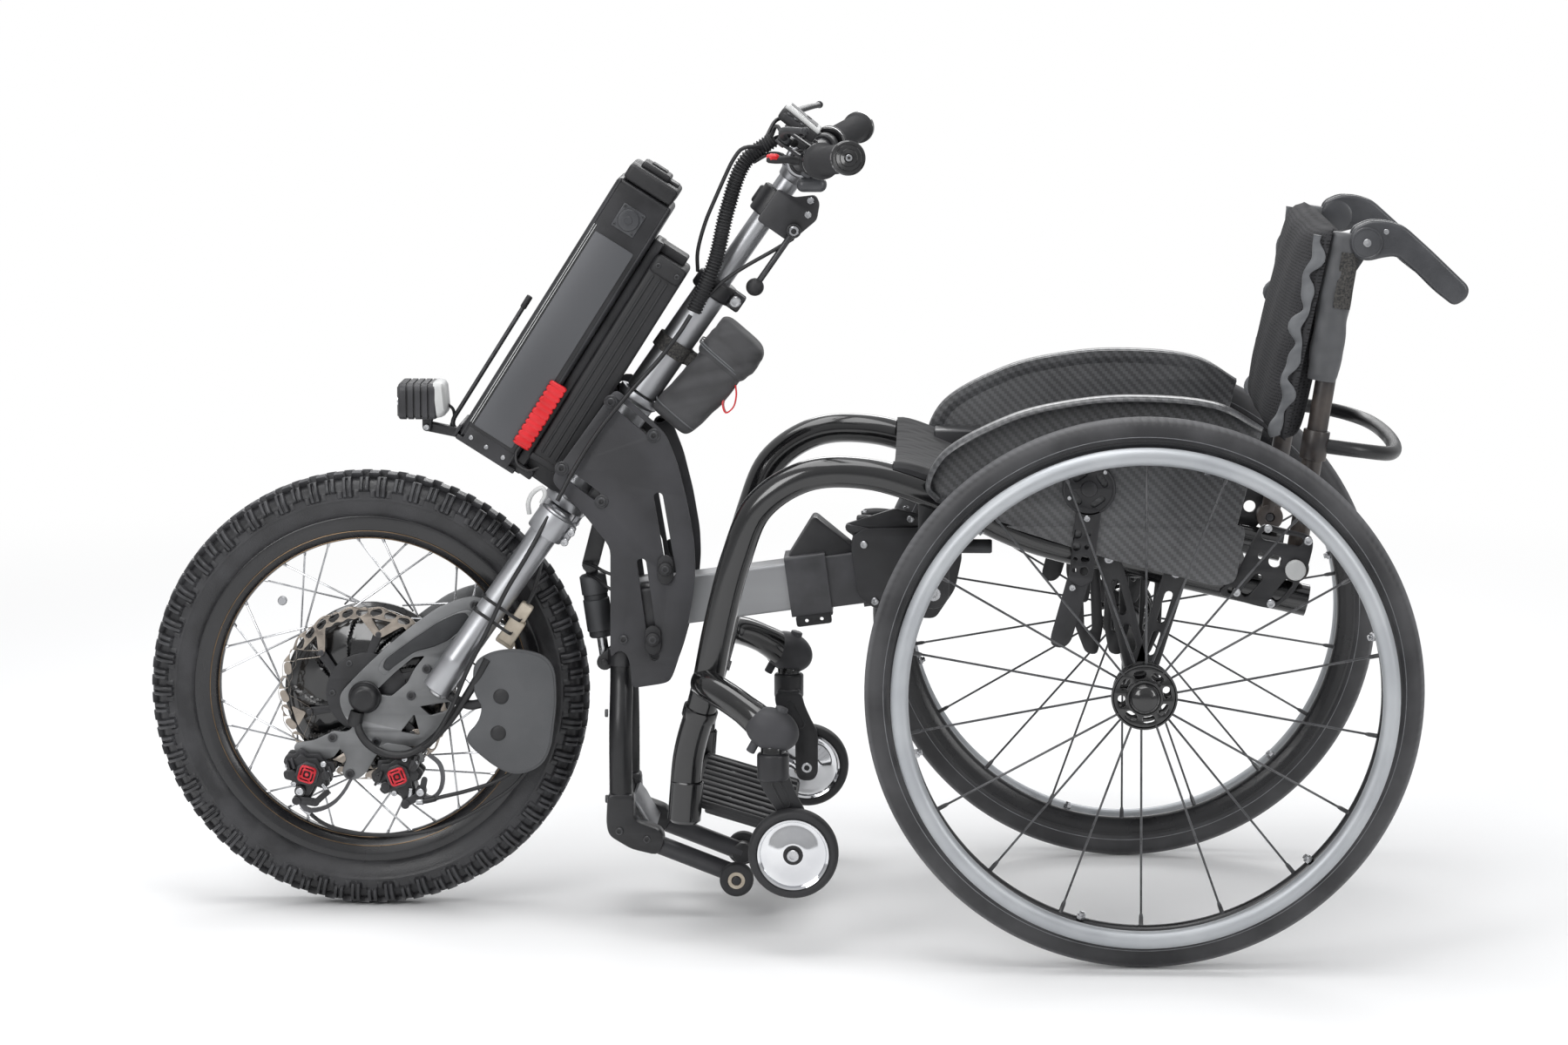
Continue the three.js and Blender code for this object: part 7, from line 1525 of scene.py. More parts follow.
addPiece("dockScrews", "chassis", "steel", [
    screw((x, -37, z), (0, -1, 0), 4.2, 2.6) for x, z in ((559.5, 421), (630, 372), (572, 357))] + [
    screw((611.4, -30, 449), (0, -1, 0), 4.2, 2.6)] + [
    screw((x, y, 455.5), (0, 0, 1), 3.2, 1.6, sides=14) for x, y in ((560, -20), (606, 18))])

# Parking stand: each leg hangs from the plates, with a moulded knee, a kicked foot tube and a roller.
stand = {"pivot": (288, 300), "side": -60, "roller": (419, 48), "tube": 13}
rollerAt = lambda y: (stand["roller"][0], y, stand["roller"][1])
legLine = [(288, -40, 300), (288, -40, 270), (288, -60, 214), (288, -60, 128)]
legShell = tube(smoothPath(legLine, 40), stand["tube"], 28)
kneeLoop = softCorners([(273.5, 142), (303, 142), (304, 112), (334, 101), (338, 88), (330, 72), (300, 79),
                        (275, 94), (272, 108)], 7, 4)
knee = [plateShell(kneeLoop, -74, -46, 3.0)]
footTube = tube([(318, stand["side"], 87), rollerAt(stand["side"])], 10.5, 24)
standBits = [legShell, *knee, footTube,
             roundedRing([(11, -4), (15.6, -4), (15.6, 14), (11, 14)], 1.0, (288, -40, 288), (0, 0, 1), 36),
             rod(rollerAt(-60), rollerAt(-92), 4.8, 0.8, 20),
             rod(rollerAt(-50), rollerAt(-70), 12, 1.6, 28)]
standShells = bothSides(standBits) + [rod((288, -53.6, 300), (288, 53.6, 300), 9, 0.8, 28),
                                      rod((288, -60, 129), (288, 60, 129), 9, 0.6, 28)]
standShells += cheekPlates(stand["pivot"], drive["foot"], 0.7)
standShells.append(rod((268, -31.5, 284), (268, -0.5, 284), 4, 0.6, 20))
footPanel = [(299, 130), (306, 121), (313, 108), (323, 94), (326, 96), (316.5, 110), (309.5, 123),
             (302.5, 132)]
addPiece("standFootPanel", "stand", "silverAlloy", [plateShell(footPanel, -47, 47, 0.4)])
addPiece("standLegs", "stand", "standEnamel", standShells, "stand_frame")
addPiece("standScrews", "stand", "blackSteel", bothSides([
    screw((x, -74, z), (0, -1, 0), 4.2, 2.6) for x, z in ((318, 91), (287, 100))] + [
    screw((273.4, -60, z), (-1, 0, 0), 4.6, 3.0) for z in (232, 134)] + [
    screw((288, -53, 300), (0, -1, 0), 6, 0.8)]))
for side, name in ((-1, "left"), (1, "right")):
    centre = rollerAt(side * 81.8)
    tread = roundedRing([(9.4, -8.5), (16, -8.5), (18.4, -7), (19, -4), (19, 4), (18.4, 7), (16, 8.5),
                         (9.4, 8.5)], 1.0, centre, sides=56)
    bush = roundedRing([(5.4, -8.7), (9.6, -8.7), (9.6, 8.7), (5.4, 8.7)], 0.6, centre, sides=40)
    addPiece(name + "RollerTread", f"stand_roller_{name}_wheel", "gripRubber", [tread],
             f"stand_roller_{name}")
    addPiece(name + "RollerBush", f"stand_roller_{name}_wheel", "ivoryNylon", [bush])

# Linear drive of the stand: an upper eye, a stepped housing, and the rod with its lower eye.
driveTop, driveFoot = [vec(x, drive["y"], z) for x, z in (drive["top"], drive["foot"])]
driveWay = unit(driveFoot - driveTop)
driveHousing = [roundedRing([(4.4, -7), (9, -7), (9, 7), (4.4, 7)], 0.8, driveTop, (0, 1, 0), 32),
                spun([(0, 4), (7, 4), (7, 11), (12.5, 12), (15, 14), (15, 34), (13.8, 35), (13.8, 40),
                      (15, 41), (15, 76), (13.6, 77), (13.6, 82), (12, 84), (7, 84)],
                     driveTop, driveWay, 40)]
addPiece("driveHousing", "drive_body", "darkAlloy", driveHousing, "actuator_body")
addPiece("driveRod", "drive_rod", "steel", [
    rod(driveTop + driveWay * 58, driveTop + driveWay * 106, 5.8, 0.4, 24),
    roundedRing([(4.4, -7), (9, -7), (9, 7), (4.4, 7)], 0.8, driveFoot, (0, 1, 0), 32)], "actuator_rod")
driveWires = [tube(smoothPath(points, 30), 1.9, 10) for points in (
    [(246, -30, 398), (257, -40, 396), (272, -50, 390), (297, -56, 383)],
    [(250, -28, 384), (262, -40, 380), (276, -52, 372), (300, -56, 364)])]
addPiece("driveWires", "chassis", "cableSheath", driveWires)

# Wheelchair frame: one bent tube a side through the frame's points, closed at its foot.
chair = {"corner": (364, 134), "length": 677, "height": 388, "foot": 150, "flare": 42, "tube": 17,
         "points": [(0, 0, 0), (0.008, 0, 0.18), (0.036, 0.34, 0.36), (0.059, 0.6, 0.557),
                    (0.089, 0.83, 0.76), (0.125, 0.95, 0.905), (0.2, 1, 0.992), (0.297, 1, 1),
                    (0.408, 1, 0.943), (0.555, 1, 0.827), (0.762, 1, 0.742), (1, 1, 0.65)]}
framePoints = np.array([
    (chair["corner"][0] + a * chair["length"], -chair["foot"] - o * chair["flare"],
     chair["corner"][1] + u * chair["height"])
    for a, o, u in chair["points"]])
framePath = smoothPath(framePoints, 140)
frameTube = tube(framePath, chair["tube"], 36)
railZ = lambda x: np.interp(x, framePath[40:, 0], framePath[40:, 2])
footCap = [spun([(0, 0), (15, 0.6), (18.4, 4), (18.4, 46), (17.4, 47), (17, 47.4)],
                framePoints[0] - (0, 0, 7), framePoints[1] - framePoints[0], 36),
           roundedRing([(16.8, -6), (19.4, -6), (19.4, 6), (16.8, 6)], 0.8, framePath[17],
                       framePath[18] - framePath[17], 36)]
egg, eggFaces = spun(ballProfile(1, 25), (0, 0, 0), (0, 0, 1), 48)
knuckle = (vec(465, -242, 250) + (egg * (30, 20, 23.5)) @ turnedAxes(0.42), eggFaces)
knuckleStem = spun([(11, 220), (13.4, 222), (13.4, 232), (11, 236)], (466, -242, 0), (0, 0, 1), 36)
knuckleBolts = [rod((447, -242, 236), (441, -242, 225), 5, 1.2, 18),
                rod((472, -242, 262), (476, -242, 274.5), 7, 1.6, 18)]
armLine = [(388, -170, 288), (398, -192, 286), (420, -216, 277), (445, -234, 262), (460, -242, 250)]
castorArm = sweep(smoothPath(armLine, 30), oval(13, 12, 28),
                  np.interp(np.arange(30), [0, 8, 20, 29], [1.35, 1.3, 1.3, 1.5]))
sideShells = [frameTube, *footCap, castorArm, knuckleStem]
addPiece("chairTubes", "chassis", "glossCoat", bothSides(sideShells), "chair_frame")
addPiece("castorKnuckles", "chassis", "satinCoat", bothSides([knuckle, *knuckleBolts]))

# Cross tubes, hangers, the camber tube and the plates that carry the axle.
crossShells = [rod((638, -196, 392), (638, 196, 392), 14, 0.8, 32),
               rod((862.8, -251.7, 298), (862.8, 251.7, 298), 16, 1.0, 36)]
hangers = [plateShell(slotLoop((638, 392), (638, float(railZ(638)) - 4), 34), -196.5, -187.5, 1.2,
                      [hole(638, 440, 6)])]
axleClamp = [roundedRing([(16, -14), (20.5, -14), (20.5, 14), (16, 14)], 1.2, (862.8, -205, 298),
                         (0, 1, 0), 40),
             roundedRing([(16, -6), (19, -6), (19, 6), (16, 6)], 1.2, (862.8, -242, 298), (0, 1, 0), 40)]
struts, strutScrews = [], []
for fromX in (826.8, 898.8):
    top = vec(fromX, float(railZ(fromX)))
    foot = vec(862.8, 298)
    way = unit(foot - top)
    side = vec(-way[1], way[0])
    length = np.linalg.norm(foot - top)
    slots = [slotLoop(top + way * length * a, top + way * length * b, 9, 6)
             for a, b in ((0.2, 0.42), (0.56, 0.72))]
    struts.append(plateShell(slotLoop(top, foot, 26, 10), -209, -201, 1.2, slots))
    strutScrews.append(screw((top[0], -209, top[1]), (0, -1, 0), 5, 3))
# carriers that hold the axle tube from the rails, inside the wheel
carriers = []
for x in (806, 838, 876):
    out = x - 838
    top = float(railZ(x))
    carrierLoop = [(x - 13, top - 6), (x + 11, top - 8), (x + 13 - out * 0.1, 352),
                   (x + 4 - out * 0.2, 322), (x - 9 - out * 0.2, 324), (x - 15, 356)]
    carrierSlot = slotLoop((x - 2, 400), (x - 3 - out * 0.1, 352), 8, 6)
    carriers.append(plateShell(softCorners(carrierLoop, 6, 4), -176, -170, 1.0, [carrierSlot]))
addPiece("crossTubes", "chassis", "standEnamel",
         crossShells + bothSides(hangers + axleClamp + struts + carriers))
bracketSpread = lambda shares: spread(shares, 102.6, 93.6, 943.3, 379.4)
bracketLoop = softCorners(bracketSpread([
    (0.463, 1), (0.979, 0.86), (1, 0.751), (0.945, 0.487), (0.791, 0.178), (0.596, 0), (0.398, 0.043),
    (0, 0.172), (0.117, 0.327), (0.253, 0.526), (0.348, 0.769)]), 7, 4)
bracketHoles = [slotLoop(*bracketSpread(ends), 10, 8)
                for ends in (((0.5, 0.86), (0.84, 0.79)), ((0.3, 0.2), (0.42, 0.36)),
                             ((0.62, 0.14), (0.74, 0.3)))]
bracketHoles += [hole(*bracketSpread((0.46, 0.62)), 4), hole(*bracketSpread((0.14, 0.22)), 3.4),
                 hole(*bracketSpread((0.6, 0.56)), 7)]
backPlates = [plateShell(bracketLoop, -212, -206, 1.0, bracketHoles),
              rod((1026.6, -211, 423), (1026.6, -178, 423), 4.6, 0.6, 20)]
addPiece("backBrackets", "chassis", "blackAnodised", bothSides(backPlates))
knobDisc = spun([(0, -219.4), (3, -219), (9.6, -219), (11, -217.8), (11, -213), (9, -212)],
                (1026.6, 0, 423), sides=40)
addPiece("backKnobs", "chassis", "paleShell", bothSides([knobDisc]))
frameScrews = [screw((x, -212, z), (0, -1, 0), 4.6, 3)
               for x, z in bracketSpread([(0.52, 0.94), (0.94, 0.8), (0.2, 0.2), (0.56, 0.07)])]
frameScrews += [*strutScrews, screw((638, -196.5, 392), (0, -1, 0), 8, 2.4)]
addPiece("frameScrews", "chassis", "steel", bothSides(frameScrews))
addPiece("seatClamps", "chassis", "blackAnodised",
         bothSides([boxShell((664, -178, 509), (54, 46, 34), 2.5)]))

# Castor forks: a housing stub, one curved arm with an oval opening, and the wheel's axle.
castorHead = [spun(softCorners([(0, 195), (15.6, 195), (17.4, 197), (17.4, 222.5), (15.6, 224.4),
                                (12.4, 225), (12.4, 227.4), (0, 227.4)], 1.0, 3, closed=False),
                   (466, -242, 0), (0, 0, 1), 40),
              rod((466, -242, 222), (466, -242, 257), 6, 0.6, 20)]
armLoop = softCorners([(450, 204), (481.5, 204), (485, 189), (493, 171), (501, 157), (501, 106), (495, 98),
                       (480, 98), (474.5, 106), (474, 150), (464, 165), (455, 179), (450, 192)], 6, 5)
castorArmShell = plateShell(armLoop, -229.7, -222.7, 2.2)
slotEnds = ((469, 188), (480, 166))
slotRing = plateShell(slotLoop(*slotEnds, 11), -223.2, -221.9, 0.5, [slotLoop(*slotEnds, 7)])
slotRings = [slotRing, movedBy(slotRing, (0, -7.4, 0))]
castorAxle = [rod((488, -257, 114), (488, -222, 114), 5, 0.8, 20)]
castorShoulder = [boxShell((466, -234, 202), (28, 20, 12), 4)]
for side, name in sideNames:
    addPiece(name + "CastorFork", f"castor_swivel_{name}", "blackAnodised", onSide(
        castorHead + [castorArmShell] + slotRings + castorAxle + castorShoulder, side),
        f"castor_fork_{name}")
    addPiece(name + "CastorAxleEnds", f"castor_swivel_{name}", "steel", onSide([
        screw((488, -256.4, 114), (0, -1, 0), 6.5, 2.2), screw((488, -222.9, 114), (0, 1, 0), 6, 2)], side))

# Castor wheels: a mirror-bright shallow cone, a dark hub ring and a smooth black tyre.
castorMiddle = vec(488, -242, 114)
castorTread = roundedRing([(38.5, -8), (40, -10.6), (44, -12), (47.4, -10), (49, -5), (49, 5), (47.4, 10),
                           (44, 12), (40, 10.6), (38.5, 8)], 1.6, castorMiddle, sides=96)
dishTurn = np.linspace(0, 2 * math.pi, 180, endpoint=False)[:, None]
dishRadius = np.array([10.8, 12.4, 14, 16, 19, 22, 25, 28, 31, 33.4, 35, 36.4, 38.6])[None, :]
dishDepth = np.interp(dishRadius, [10.8, 12.4, 16, 31, 35, 36.4, 38.6],
                      [11.4, 11.4, 10.8, 6.6, 6.6, 10.4, 11.4]) + 0 * dishTurn
dishes = [gridShell(castorMiddle + np.stack([
    dishRadius * np.cos(dishTurn), side * dishDepth, dishRadius * np.sin(dishTurn)], axis=-1), closeU=True)
    for side in (-1, 1)]
rimRing = spun([(38.6, -11.6), (39.6, -10), (39.6, 10), (38.6, 11.6)], castorMiddle, sides=180)
castorHub = [roundedRing([(5.4, -11.8), (10.2, -11.8), (11.2, -11), (11.2, 11), (10.2, 11.8), (5.4, 11.8)],
                         0.6, castorMiddle, sides=48)]
for side, name in sideNames:
    addPiece(name + "CastorDish", f"castor_roll_{name}", "chrome",
             onSide(dishes + [rimRing], side), f"castor_wheel_{name}")
    addPiece(name + "CastorTyre", f"castor_roll_{name}", "gripRubber",
             onSide([castorTread], side))
    addPiece(name + "CastorHub", f"castor_roll_{name}", "blackNylon",
             onSide(castorHub, side))

# Footplate: a sloping moulded plate with nine ribs and turned-down edges.
footAxes = turnedAxes(math.radians(16.5))
onFoot = lambda along, y, up: vec(372, 0, 146) + vec(along, y, up) @ footAxes
footShells = [boxShell(onFoot(58, 0, -0.4), (115, 268, 6), 2.4, footAxes)] + [
    boxShell(onFoot(58, -112 + i * 28, 4), (108, 13, 4.4), 1.8, footAxes) for i in range(9)]
footShells += [boxShell(onFoot(58, y, 1.4), (112, 7, 8.4), 2.6, footAxes) for y in (-129, 129)]
addPiece("footplateRibbed", "chassis", "blackNylon", footShells, "footplate")
addPiece("footplateScrews", "chassis", "steel",
         [screw(onFoot(a, y, 2.4), footAxes[2], 4, 1.6, sides=16) for a in (38, 78) for y in (-70, 70)])
addPiece("footplateBrackets", "chassis", "standEnamel",
         [boxShell(onFoot(58, y, -8), (84, 20, 9), 3, footAxes) for y in (-100, 0, 100)])
print("docking, stand, frame and castors made")


# Rear wheels. The near one is made at its place and the far one is its mirror image.
rearWheel = {"pitches": 200, "steps": 5, "spokes": 18, "spokeRadius": 1.25, "flange": 32.4,
             "flangeHalf": 16, "cross": 0.05}
rearAxle = vec(vehicle["rearAxle"][0], -vehicle["rearTrack"] / 2, vehicle["rearAxle"][1])


# Tyre: a round section; narrow slanting cuts lower the crown where the share of a pitch is small.
def makeRearTyre():
    section = smoothPath([(-10.6, 272.2), (-12.4, 275), (-13, 280), (-12.2, 287), (-9.2, 293), (-4.8, 297),
                          (0, 298), (4.8, 297), (9.2, 293), (12.2, 287), (13, 280), (12.4, 275),
                          (10.6, 272.2)], 37)
    y, radius = section[:, 0], section[:, 1]
    count = rearWheel["pitches"] * rearWheel["steps"]
    i = np.arange(count)[:, None]
    share = (i / rearWheel["steps"] + np.abs(y) / 13.0 * 0.9) % 1.0
    cut = 0.9 * (1 - plateau(share, 0.18, 0.95, 0.18)) * plateau(np.abs(y), 3.2, 10.6, 0.8)
    rib = 0.7 * plateau(np.abs(y), 2.2, 3.0, 0.6) + 0.25 * plateau(np.abs(y), 12.5, 12.9, 0.2)
    reach = radius - cut - rib
    turn = 2 * math.pi * i / count
    points = np.stack([reach * np.cos(turn), y + 0 * turn, reach * np.sin(turn)], axis=-1) + rearAxle
    return gridShell(points, closeU=True, closeV=True)


rearTyreShell = makeRearTyre()
rearLines = [spun(circle(0.55, 6) + (277.6, y), rearAxle, sides=180, closed=True) for y in (-12.7, 12.7)]
rearRimShell = roundedRing([(271.7, -8.6), (273.9, -10), (274, -11.2), (270, -11.5), (262.6, -9.8),
                            (255, -6.2), (252, -2.5), (252, 2.5), (255, 6.2), (262.6, 9.8), (270, 11.5),
                            (274, 11.2), (273.9, 10), (271.7, 8.6)], 1.6, rearAxle, sides=240)
rearEnds = spokeEnds(rearWheel["spokes"], rearWheel["flange"], rearWheel["flangeHalf"], 2.8, 255.5, 1.5,
                     rearWheel["cross"])
rearSpokes, rearNipples = spokeShells(rearAxle, rearEnds, rearWheel["spokeRadius"], [
    (0, -4), (1.6, -3.4), (2.3, 0), (2.4, 8), (3, 9), (3, 11), (0, 11)], 12)


# slots of one width at even turns round a middle, each bent as far as its half turn to either side
def slotsRound(middle, radius, halfTurn, width, turns):
    return [slotLoop(*(circle(radius, 1, a + s * halfTurn)[0] + middle for s in (-1, 1)), width, 6)
            for a in turns]


rearPlace = rearAxle[[0, 2]]
flangeHoles = slotsRound(rearPlace, 24.5, 0.12, 8, np.arange(8) / 8 * 2 * math.pi + 0.2)
hubShells = [plateShell(circle(35, 96) + rearPlace, -296.5, -291.6, 1.2, flangeHoles),
             plateShell(circle(33, 96) + rearPlace, -264.4, -259.6, 1.2, flangeHoles),
             spun(softCorners([(0, -26), (15, -26), (19.4, -24.5), (19.4, -19.5), (15, -17), (12.6, -12),
                               (12.6, 12), (15, 17), (16, 26), (7, 26), (0, 20)], 1.4, 3, closed=False),
                  rearAxle, sides=56),
             spun([(32.4, -18.8), (33.4, -20), (35, -20), (35.4, -18.6), (35.4, -14)], rearAxle, sides=96)]
hubDome = [spun(softCorners([(0, -36.4), (7, -35.8), (12.6, -33.4), (16, -29.4), (17, -26.4), (17, -25.6),
                             (0, -25.6)], 1.6, 4, closed=False), rearAxle, sides=56),
           roundedRing([(17, -27), (19, -27), (19.6, -26), (17, -25)], 0.3, rearAxle, sides=56)]

# Hand rim: a round tube on six bolted feet.
handRim = {"radius": 260, "stand": 35, "tube": 9.5, "feet": 6}
rimTube = spun(circle(handRim["tube"], 28) + (handRim["radius"], -handRim["stand"]), rearAxle, sides=240,
               closed=True)
rimFeet, rimNuts = [], []
for i in range(handRim["feet"]):
    a = (i + 0.25) / handRim["feet"] * 2 * math.pi
    out, around = vec(math.sin(a), 0, math.cos(a)), vec(math.cos(a), 0, -math.sin(a))
    base = rearAxle + out * 262
    rimFeet.append(boxShell(base + (0, -20.5, 0), (13, 20, 4), 1.2, np.array([around, (0, 1, 0), out])))
    rimNuts.append(spun([(0, 0), (4.4, 0), (5, 0.8), (5, 4.6), (3.2, 5.4), (3.2, 8), (0, 8.4)],
                        rearAxle + out * 252.5 + (0, -6, 0), -out + vec(0, -0.25, 0), 6))
wheelSets = [
    ("RearTyre", "tyre", "slickRubber", [rearTyreShell], "rear_tyre_", 40),
    ("RearTyreLine", "grey_plastic", "reflexLine", rearLines, None, 38),
    ("RearRim", "anodised", "rimAnodised", [rearRimShell], "rear_wheel_", 38),
    ("RearSpokes", "steel", "blackSteel", rearSpokes + rearNipples, None, 38),
    ("RearHub", "black_paint", "glossCoat", hubShells, None, 38),
    ("RearHubDome", "black_plastic", "glossCoat", hubDome, None, 38),
    ("HandRimNuts", "steel", "steel", rimNuts, None, 38),
]
for side, name in sideNames:
    body = f"rear_wheel_{name}_body"
    for part, slot, finish, shells, node, sharp in wheelSets:
        addPiece(name + part, body, finish, onSide(shells, side), node + name if node else (),
                 sharp=sharp)
    addPiece(name + "HandRim", body, "handRim", onSide([rimTube, *rimFeet], side),
             f"pushrim_{name}")

# Side guards: a laminate plate whose top edge rolls outward over the tyre and turns down at its lip.
guard = {"corner": (629, 405), "size": (360, 209), "out": 222,
         "outline": [(0.033, 0.44), (0, 0.51), (0.044, 0.69), (0.25, 0.895), (0.42, 0.97), (0.61, 1),
                     (0.87, 0.957), (1, 0.833), (0.955, 0.33), (0.925, 0.03), (0.867, 0.014), (0.55, 0.15),
                     (0.228, 0.325)], "crest": 8}
guardOutline = spread(guard["outline"], *guard["size"], *guard["corner"])
guardCrest = smoothPath(guardOutline[:guard["crest"]], 90)
guardFoot = softCorners(guardOutline[guard["crest"]:], 10, 5)
guardEdge = np.concatenate([guardCrest, guardFoot])
crestAlong = np.gradient(guardCrest, axis=0)
crestAlong /= np.linalg.norm(crestAlong, axis=1)[:, None]
crestUp = np.stack([-crestAlong[:, 1], crestAlong[:, 0]], axis=-1)
lipSection = np.concatenate([smoothPath([(0, -16), (0, -8), (1.2, -3.4), (5, -0.6), (12, 0), (21, -0.4),
                                         (25.4, -2), (27, -5.4)], 18),
                             smoothPath([(24.6, -6), (23.4, -4.2), (19, -3.2), (12, -3), (6.8, -3.6),
                                         (4.2, -6), (3.6, -9), (3.6, -16)], 18)])
lipReach = np.interp(np.linspace(0, 1, 90), [0, 0.06, 0.2, 0.9, 1], [0.25, 0.6, 1, 1, 0.5])[:, None]
lipPoints = np.stack([guardCrest[:, :1] + crestUp[:, :1] * lipSection[:, 1],
                      -guard["out"] - lipSection[:, 0] * lipReach,
                      guardCrest[:, 1:] + crestUp[:, 1:] * lipSection[:, 1]], axis=-1)
lipShell = cappedGrid(lipPoints)
guardShells = [plateShell(guardEdge - (0, 1.5), -225.6, -222, 0.8), lipShell]
guardPivot = (804, 512)
pivotMiddle = (guardPivot[0], 0, guardPivot[1])
discSlots = slotsRound(guardPivot, 17.5, 0.3, 6.5, np.arange(4) / 4 * 2 * math.pi + 0.6)
guardPads = [plateShell(circle(28, 72) + guardPivot, -231, -225.4, 1.2, discSlots),
             spun([(25.6, -231.6), (26.4, -232), (28, -232), (28.6, -231)], pivotMiddle, sides=72),
             spun([(0, -233.6), (6, -233.6), (8.4, -232.6), (9, -231)], pivotMiddle, sides=40)]
stripLoop = softCorners([(791, 494), (817, 489), (808.6, 412), (796, 406), (783, 414)], 4, 4)
stripHoles = [hole(x, z, r) for x, z, r in ((792, 463, 4.6), (803.6, 462, 2.4), (791, 449.6, 4.6),
                                            (802, 449, 2.4), (790, 436, 2.4), (800.6, 435.6, 4.6),
                                            (789, 424, 2.4), (799.4, 423, 4.6))]
tongueLoop = softCorners([(783, 420), (806, 414), (786, 345), (777, 338), (765, 341), (764, 350)], 6, 5)
guardStrip = [plateShell(stripLoop, -232, -228.6, 0.8, stripHoles),
              plateShell(tongueLoop, -228.8, -225.2, 1.0)]
guardScrews = [screw((x, -232, z), (0, -1, 0), 3.4, 2, sides=16) for x, z in ((802, 480), (787, 405))]
guardScrews += [screw((x, -231, z), (0, -1, 0), 2.2, 1.2, sides=12)
                for x, z in ((783, 502), (821, 530), (786, 532))]
for side, name in sideNames:
    addPiece(name + "GuardShell", "chassis", "carbonTwill", onSide(guardShells, side),
             f"side_guard_{name}")
    addPiece(name + "GuardPivot", "chassis", "blackAnodised",
             onSide(guardPads + guardStrip, side))
    addPiece(name + "GuardScrews", "chassis", "steel", onSide(guardScrews, side))

# Backrest canes with their eyes and rows of drilled holes shown as dark discs of painted shade, the tongues
# of the handles and the bar behind.
back = {"foot": (1027, -188, 423), "lean": 49, "rise": 325}
caneUp = unit(vec(back["lean"], 0, back["rise"]))
caneAhead = vec(-caneUp[2], 0, caneUp[0])
caneSide = -back["foot"][1]
onBack = lambda up, forward, y: vec(back["foot"][0], y, back["foot"][2]) + caneUp * up + caneAhead * forward
caneTop = onBack(math.hypot(back["lean"], back["rise"]), 0, -caneSide)
canes = [rod(onBack(6, 0, -188), caneTop, 11, 1.2, 36),
         roundedRing([(5.2, -205.4), (15, -205.4), (15, -177.6), (5.2, -177.6)], 1.2, (1027, 0, 423),
                     sides=48),
         roundedRing([(10.6, 118), (14.4, 118), (14.4, 150), (10.6, 150)], 1.2, back["foot"], caneUp, 40)]
# the drilled holes are small dark glossy discs on the cane: painted shade of their insides
caneHoleShade = [spun([(0, 0), (2.6, 0), (3.4, 0.5), (3.6, 1.2), (0, 1.2)], onBack(up, 0, -199.6), (0, -1, 0),
                  20) for up in (52, 78, 104)]
tongueLoop = slotLoop((caneTop[0] - 3, caneTop[2] - 12), (1098, 774), 17, 10)
tongues = [plateShell(tongueLoop, -192.5, -183.5, 0.8)]
barMiddle = onBack(134, 0, 0)
loopLine = np.array([(barMiddle[0], -188, barMiddle[2]), (barMiddle[0] + 50, -183, barMiddle[2] - 7),
                     (barMiddle[0] + 84, -150, barMiddle[2] - 14)])
loopLine = np.concatenate([loopLine, (loopLine * (1, -1, 1))[::-1]])
stabiliser = [tube(smoothPath(loopLine, 80), 8, 24)]
addPiece("backCanes", "backrest", "caneLacquer", bothSides(canes), "back_frame")
addPiece("backTongues", "backrest", "darkAlloy", bothSides(tongues))
addPiece("backBar", "backrest", "standEnamel", stabiliser)
addPiece("caneHoleShadeDiscs", "backrest", "darkGlass", bothSides(caneHoleShade))

# Folding handles: one thick slab with big rounded edges, a disc over its pivot and a rib inside the bend.
handleLoop = softCorners([(1079, 774), (1083, 790), (1100, 798), (1121, 797), (1139, 791), (1167, 766),
                          (1208, 727), (1206, 715), (1192, 706), (1170, 723), (1152, 741), (1130, 760),
                          (1114, 758), (1100, 754), (1084, 758)], 7, 5)
handleRib = softCorners([(1112, 790), (1122, 793), (1137, 787), (1165, 762), (1203, 726), (1200, 716),
                         (1192, 711), (1153, 746), (1130, 764), (1116, 763)], 5, 4)
handleShells = [plateShell(handleLoop, -202, -192.8, 6.5, rounds=4),
                plateShell(handleLoop, -183.2, -174, 6.5, rounds=4),
                plateShell(handleRib, -194, -182, 1.0),
                spun([(0, -203.4), (14, -203.2), (17, -202.2), (18, -200.6), (18, -196), (0, -196)],
                     (1098, 0, 774), sides=64),
                spun([(0, -172.6), (14, -172.8), (17, -173.8), (18, -175.4), (18, -180), (0, -180)],
                     (1098, 0, 774), sides=64),
                rod((1098, -194, 774), (1098, -182, 774), 5, 0.4, 20)]
handleRings = [spun([(14.6, -203.4), (15.4, -204), (16.4, -203.8), (17, -202.8)], (1098, 0, 774), sides=64)]
handleBolts = [screw((1098, -203.2, 774), (0, -1, 0), 4.4, 1.4),
               screw((1118, -202, 786), (0, -1, 0), 3.0, 1.0, sides=16)]
for side, name in sideNames:
    addPiece(name + "PushHandle", f"handle_{name}", "handlePlastic",
             onSide(handleShells + handleRings, side), f"push_handle_{name}")
    addPiece(name + "PushHandleBolts", f"handle_{name}", "steel", onSide(handleBolts, side))
print("rear wheels, guards and backrest frame made")


# places on the backrest, given up the canes, ahead of them and across, in arrays of any one shape
def onCane(up, forward, y):
    x = back["foot"][0] + caneUp[0] * up + caneAhead[0] * forward
    z = back["foot"][2] + caneUp[2] * up + caneAhead[2] * forward
    return np.stack([x, y + 0 * x, z], axis=-1)


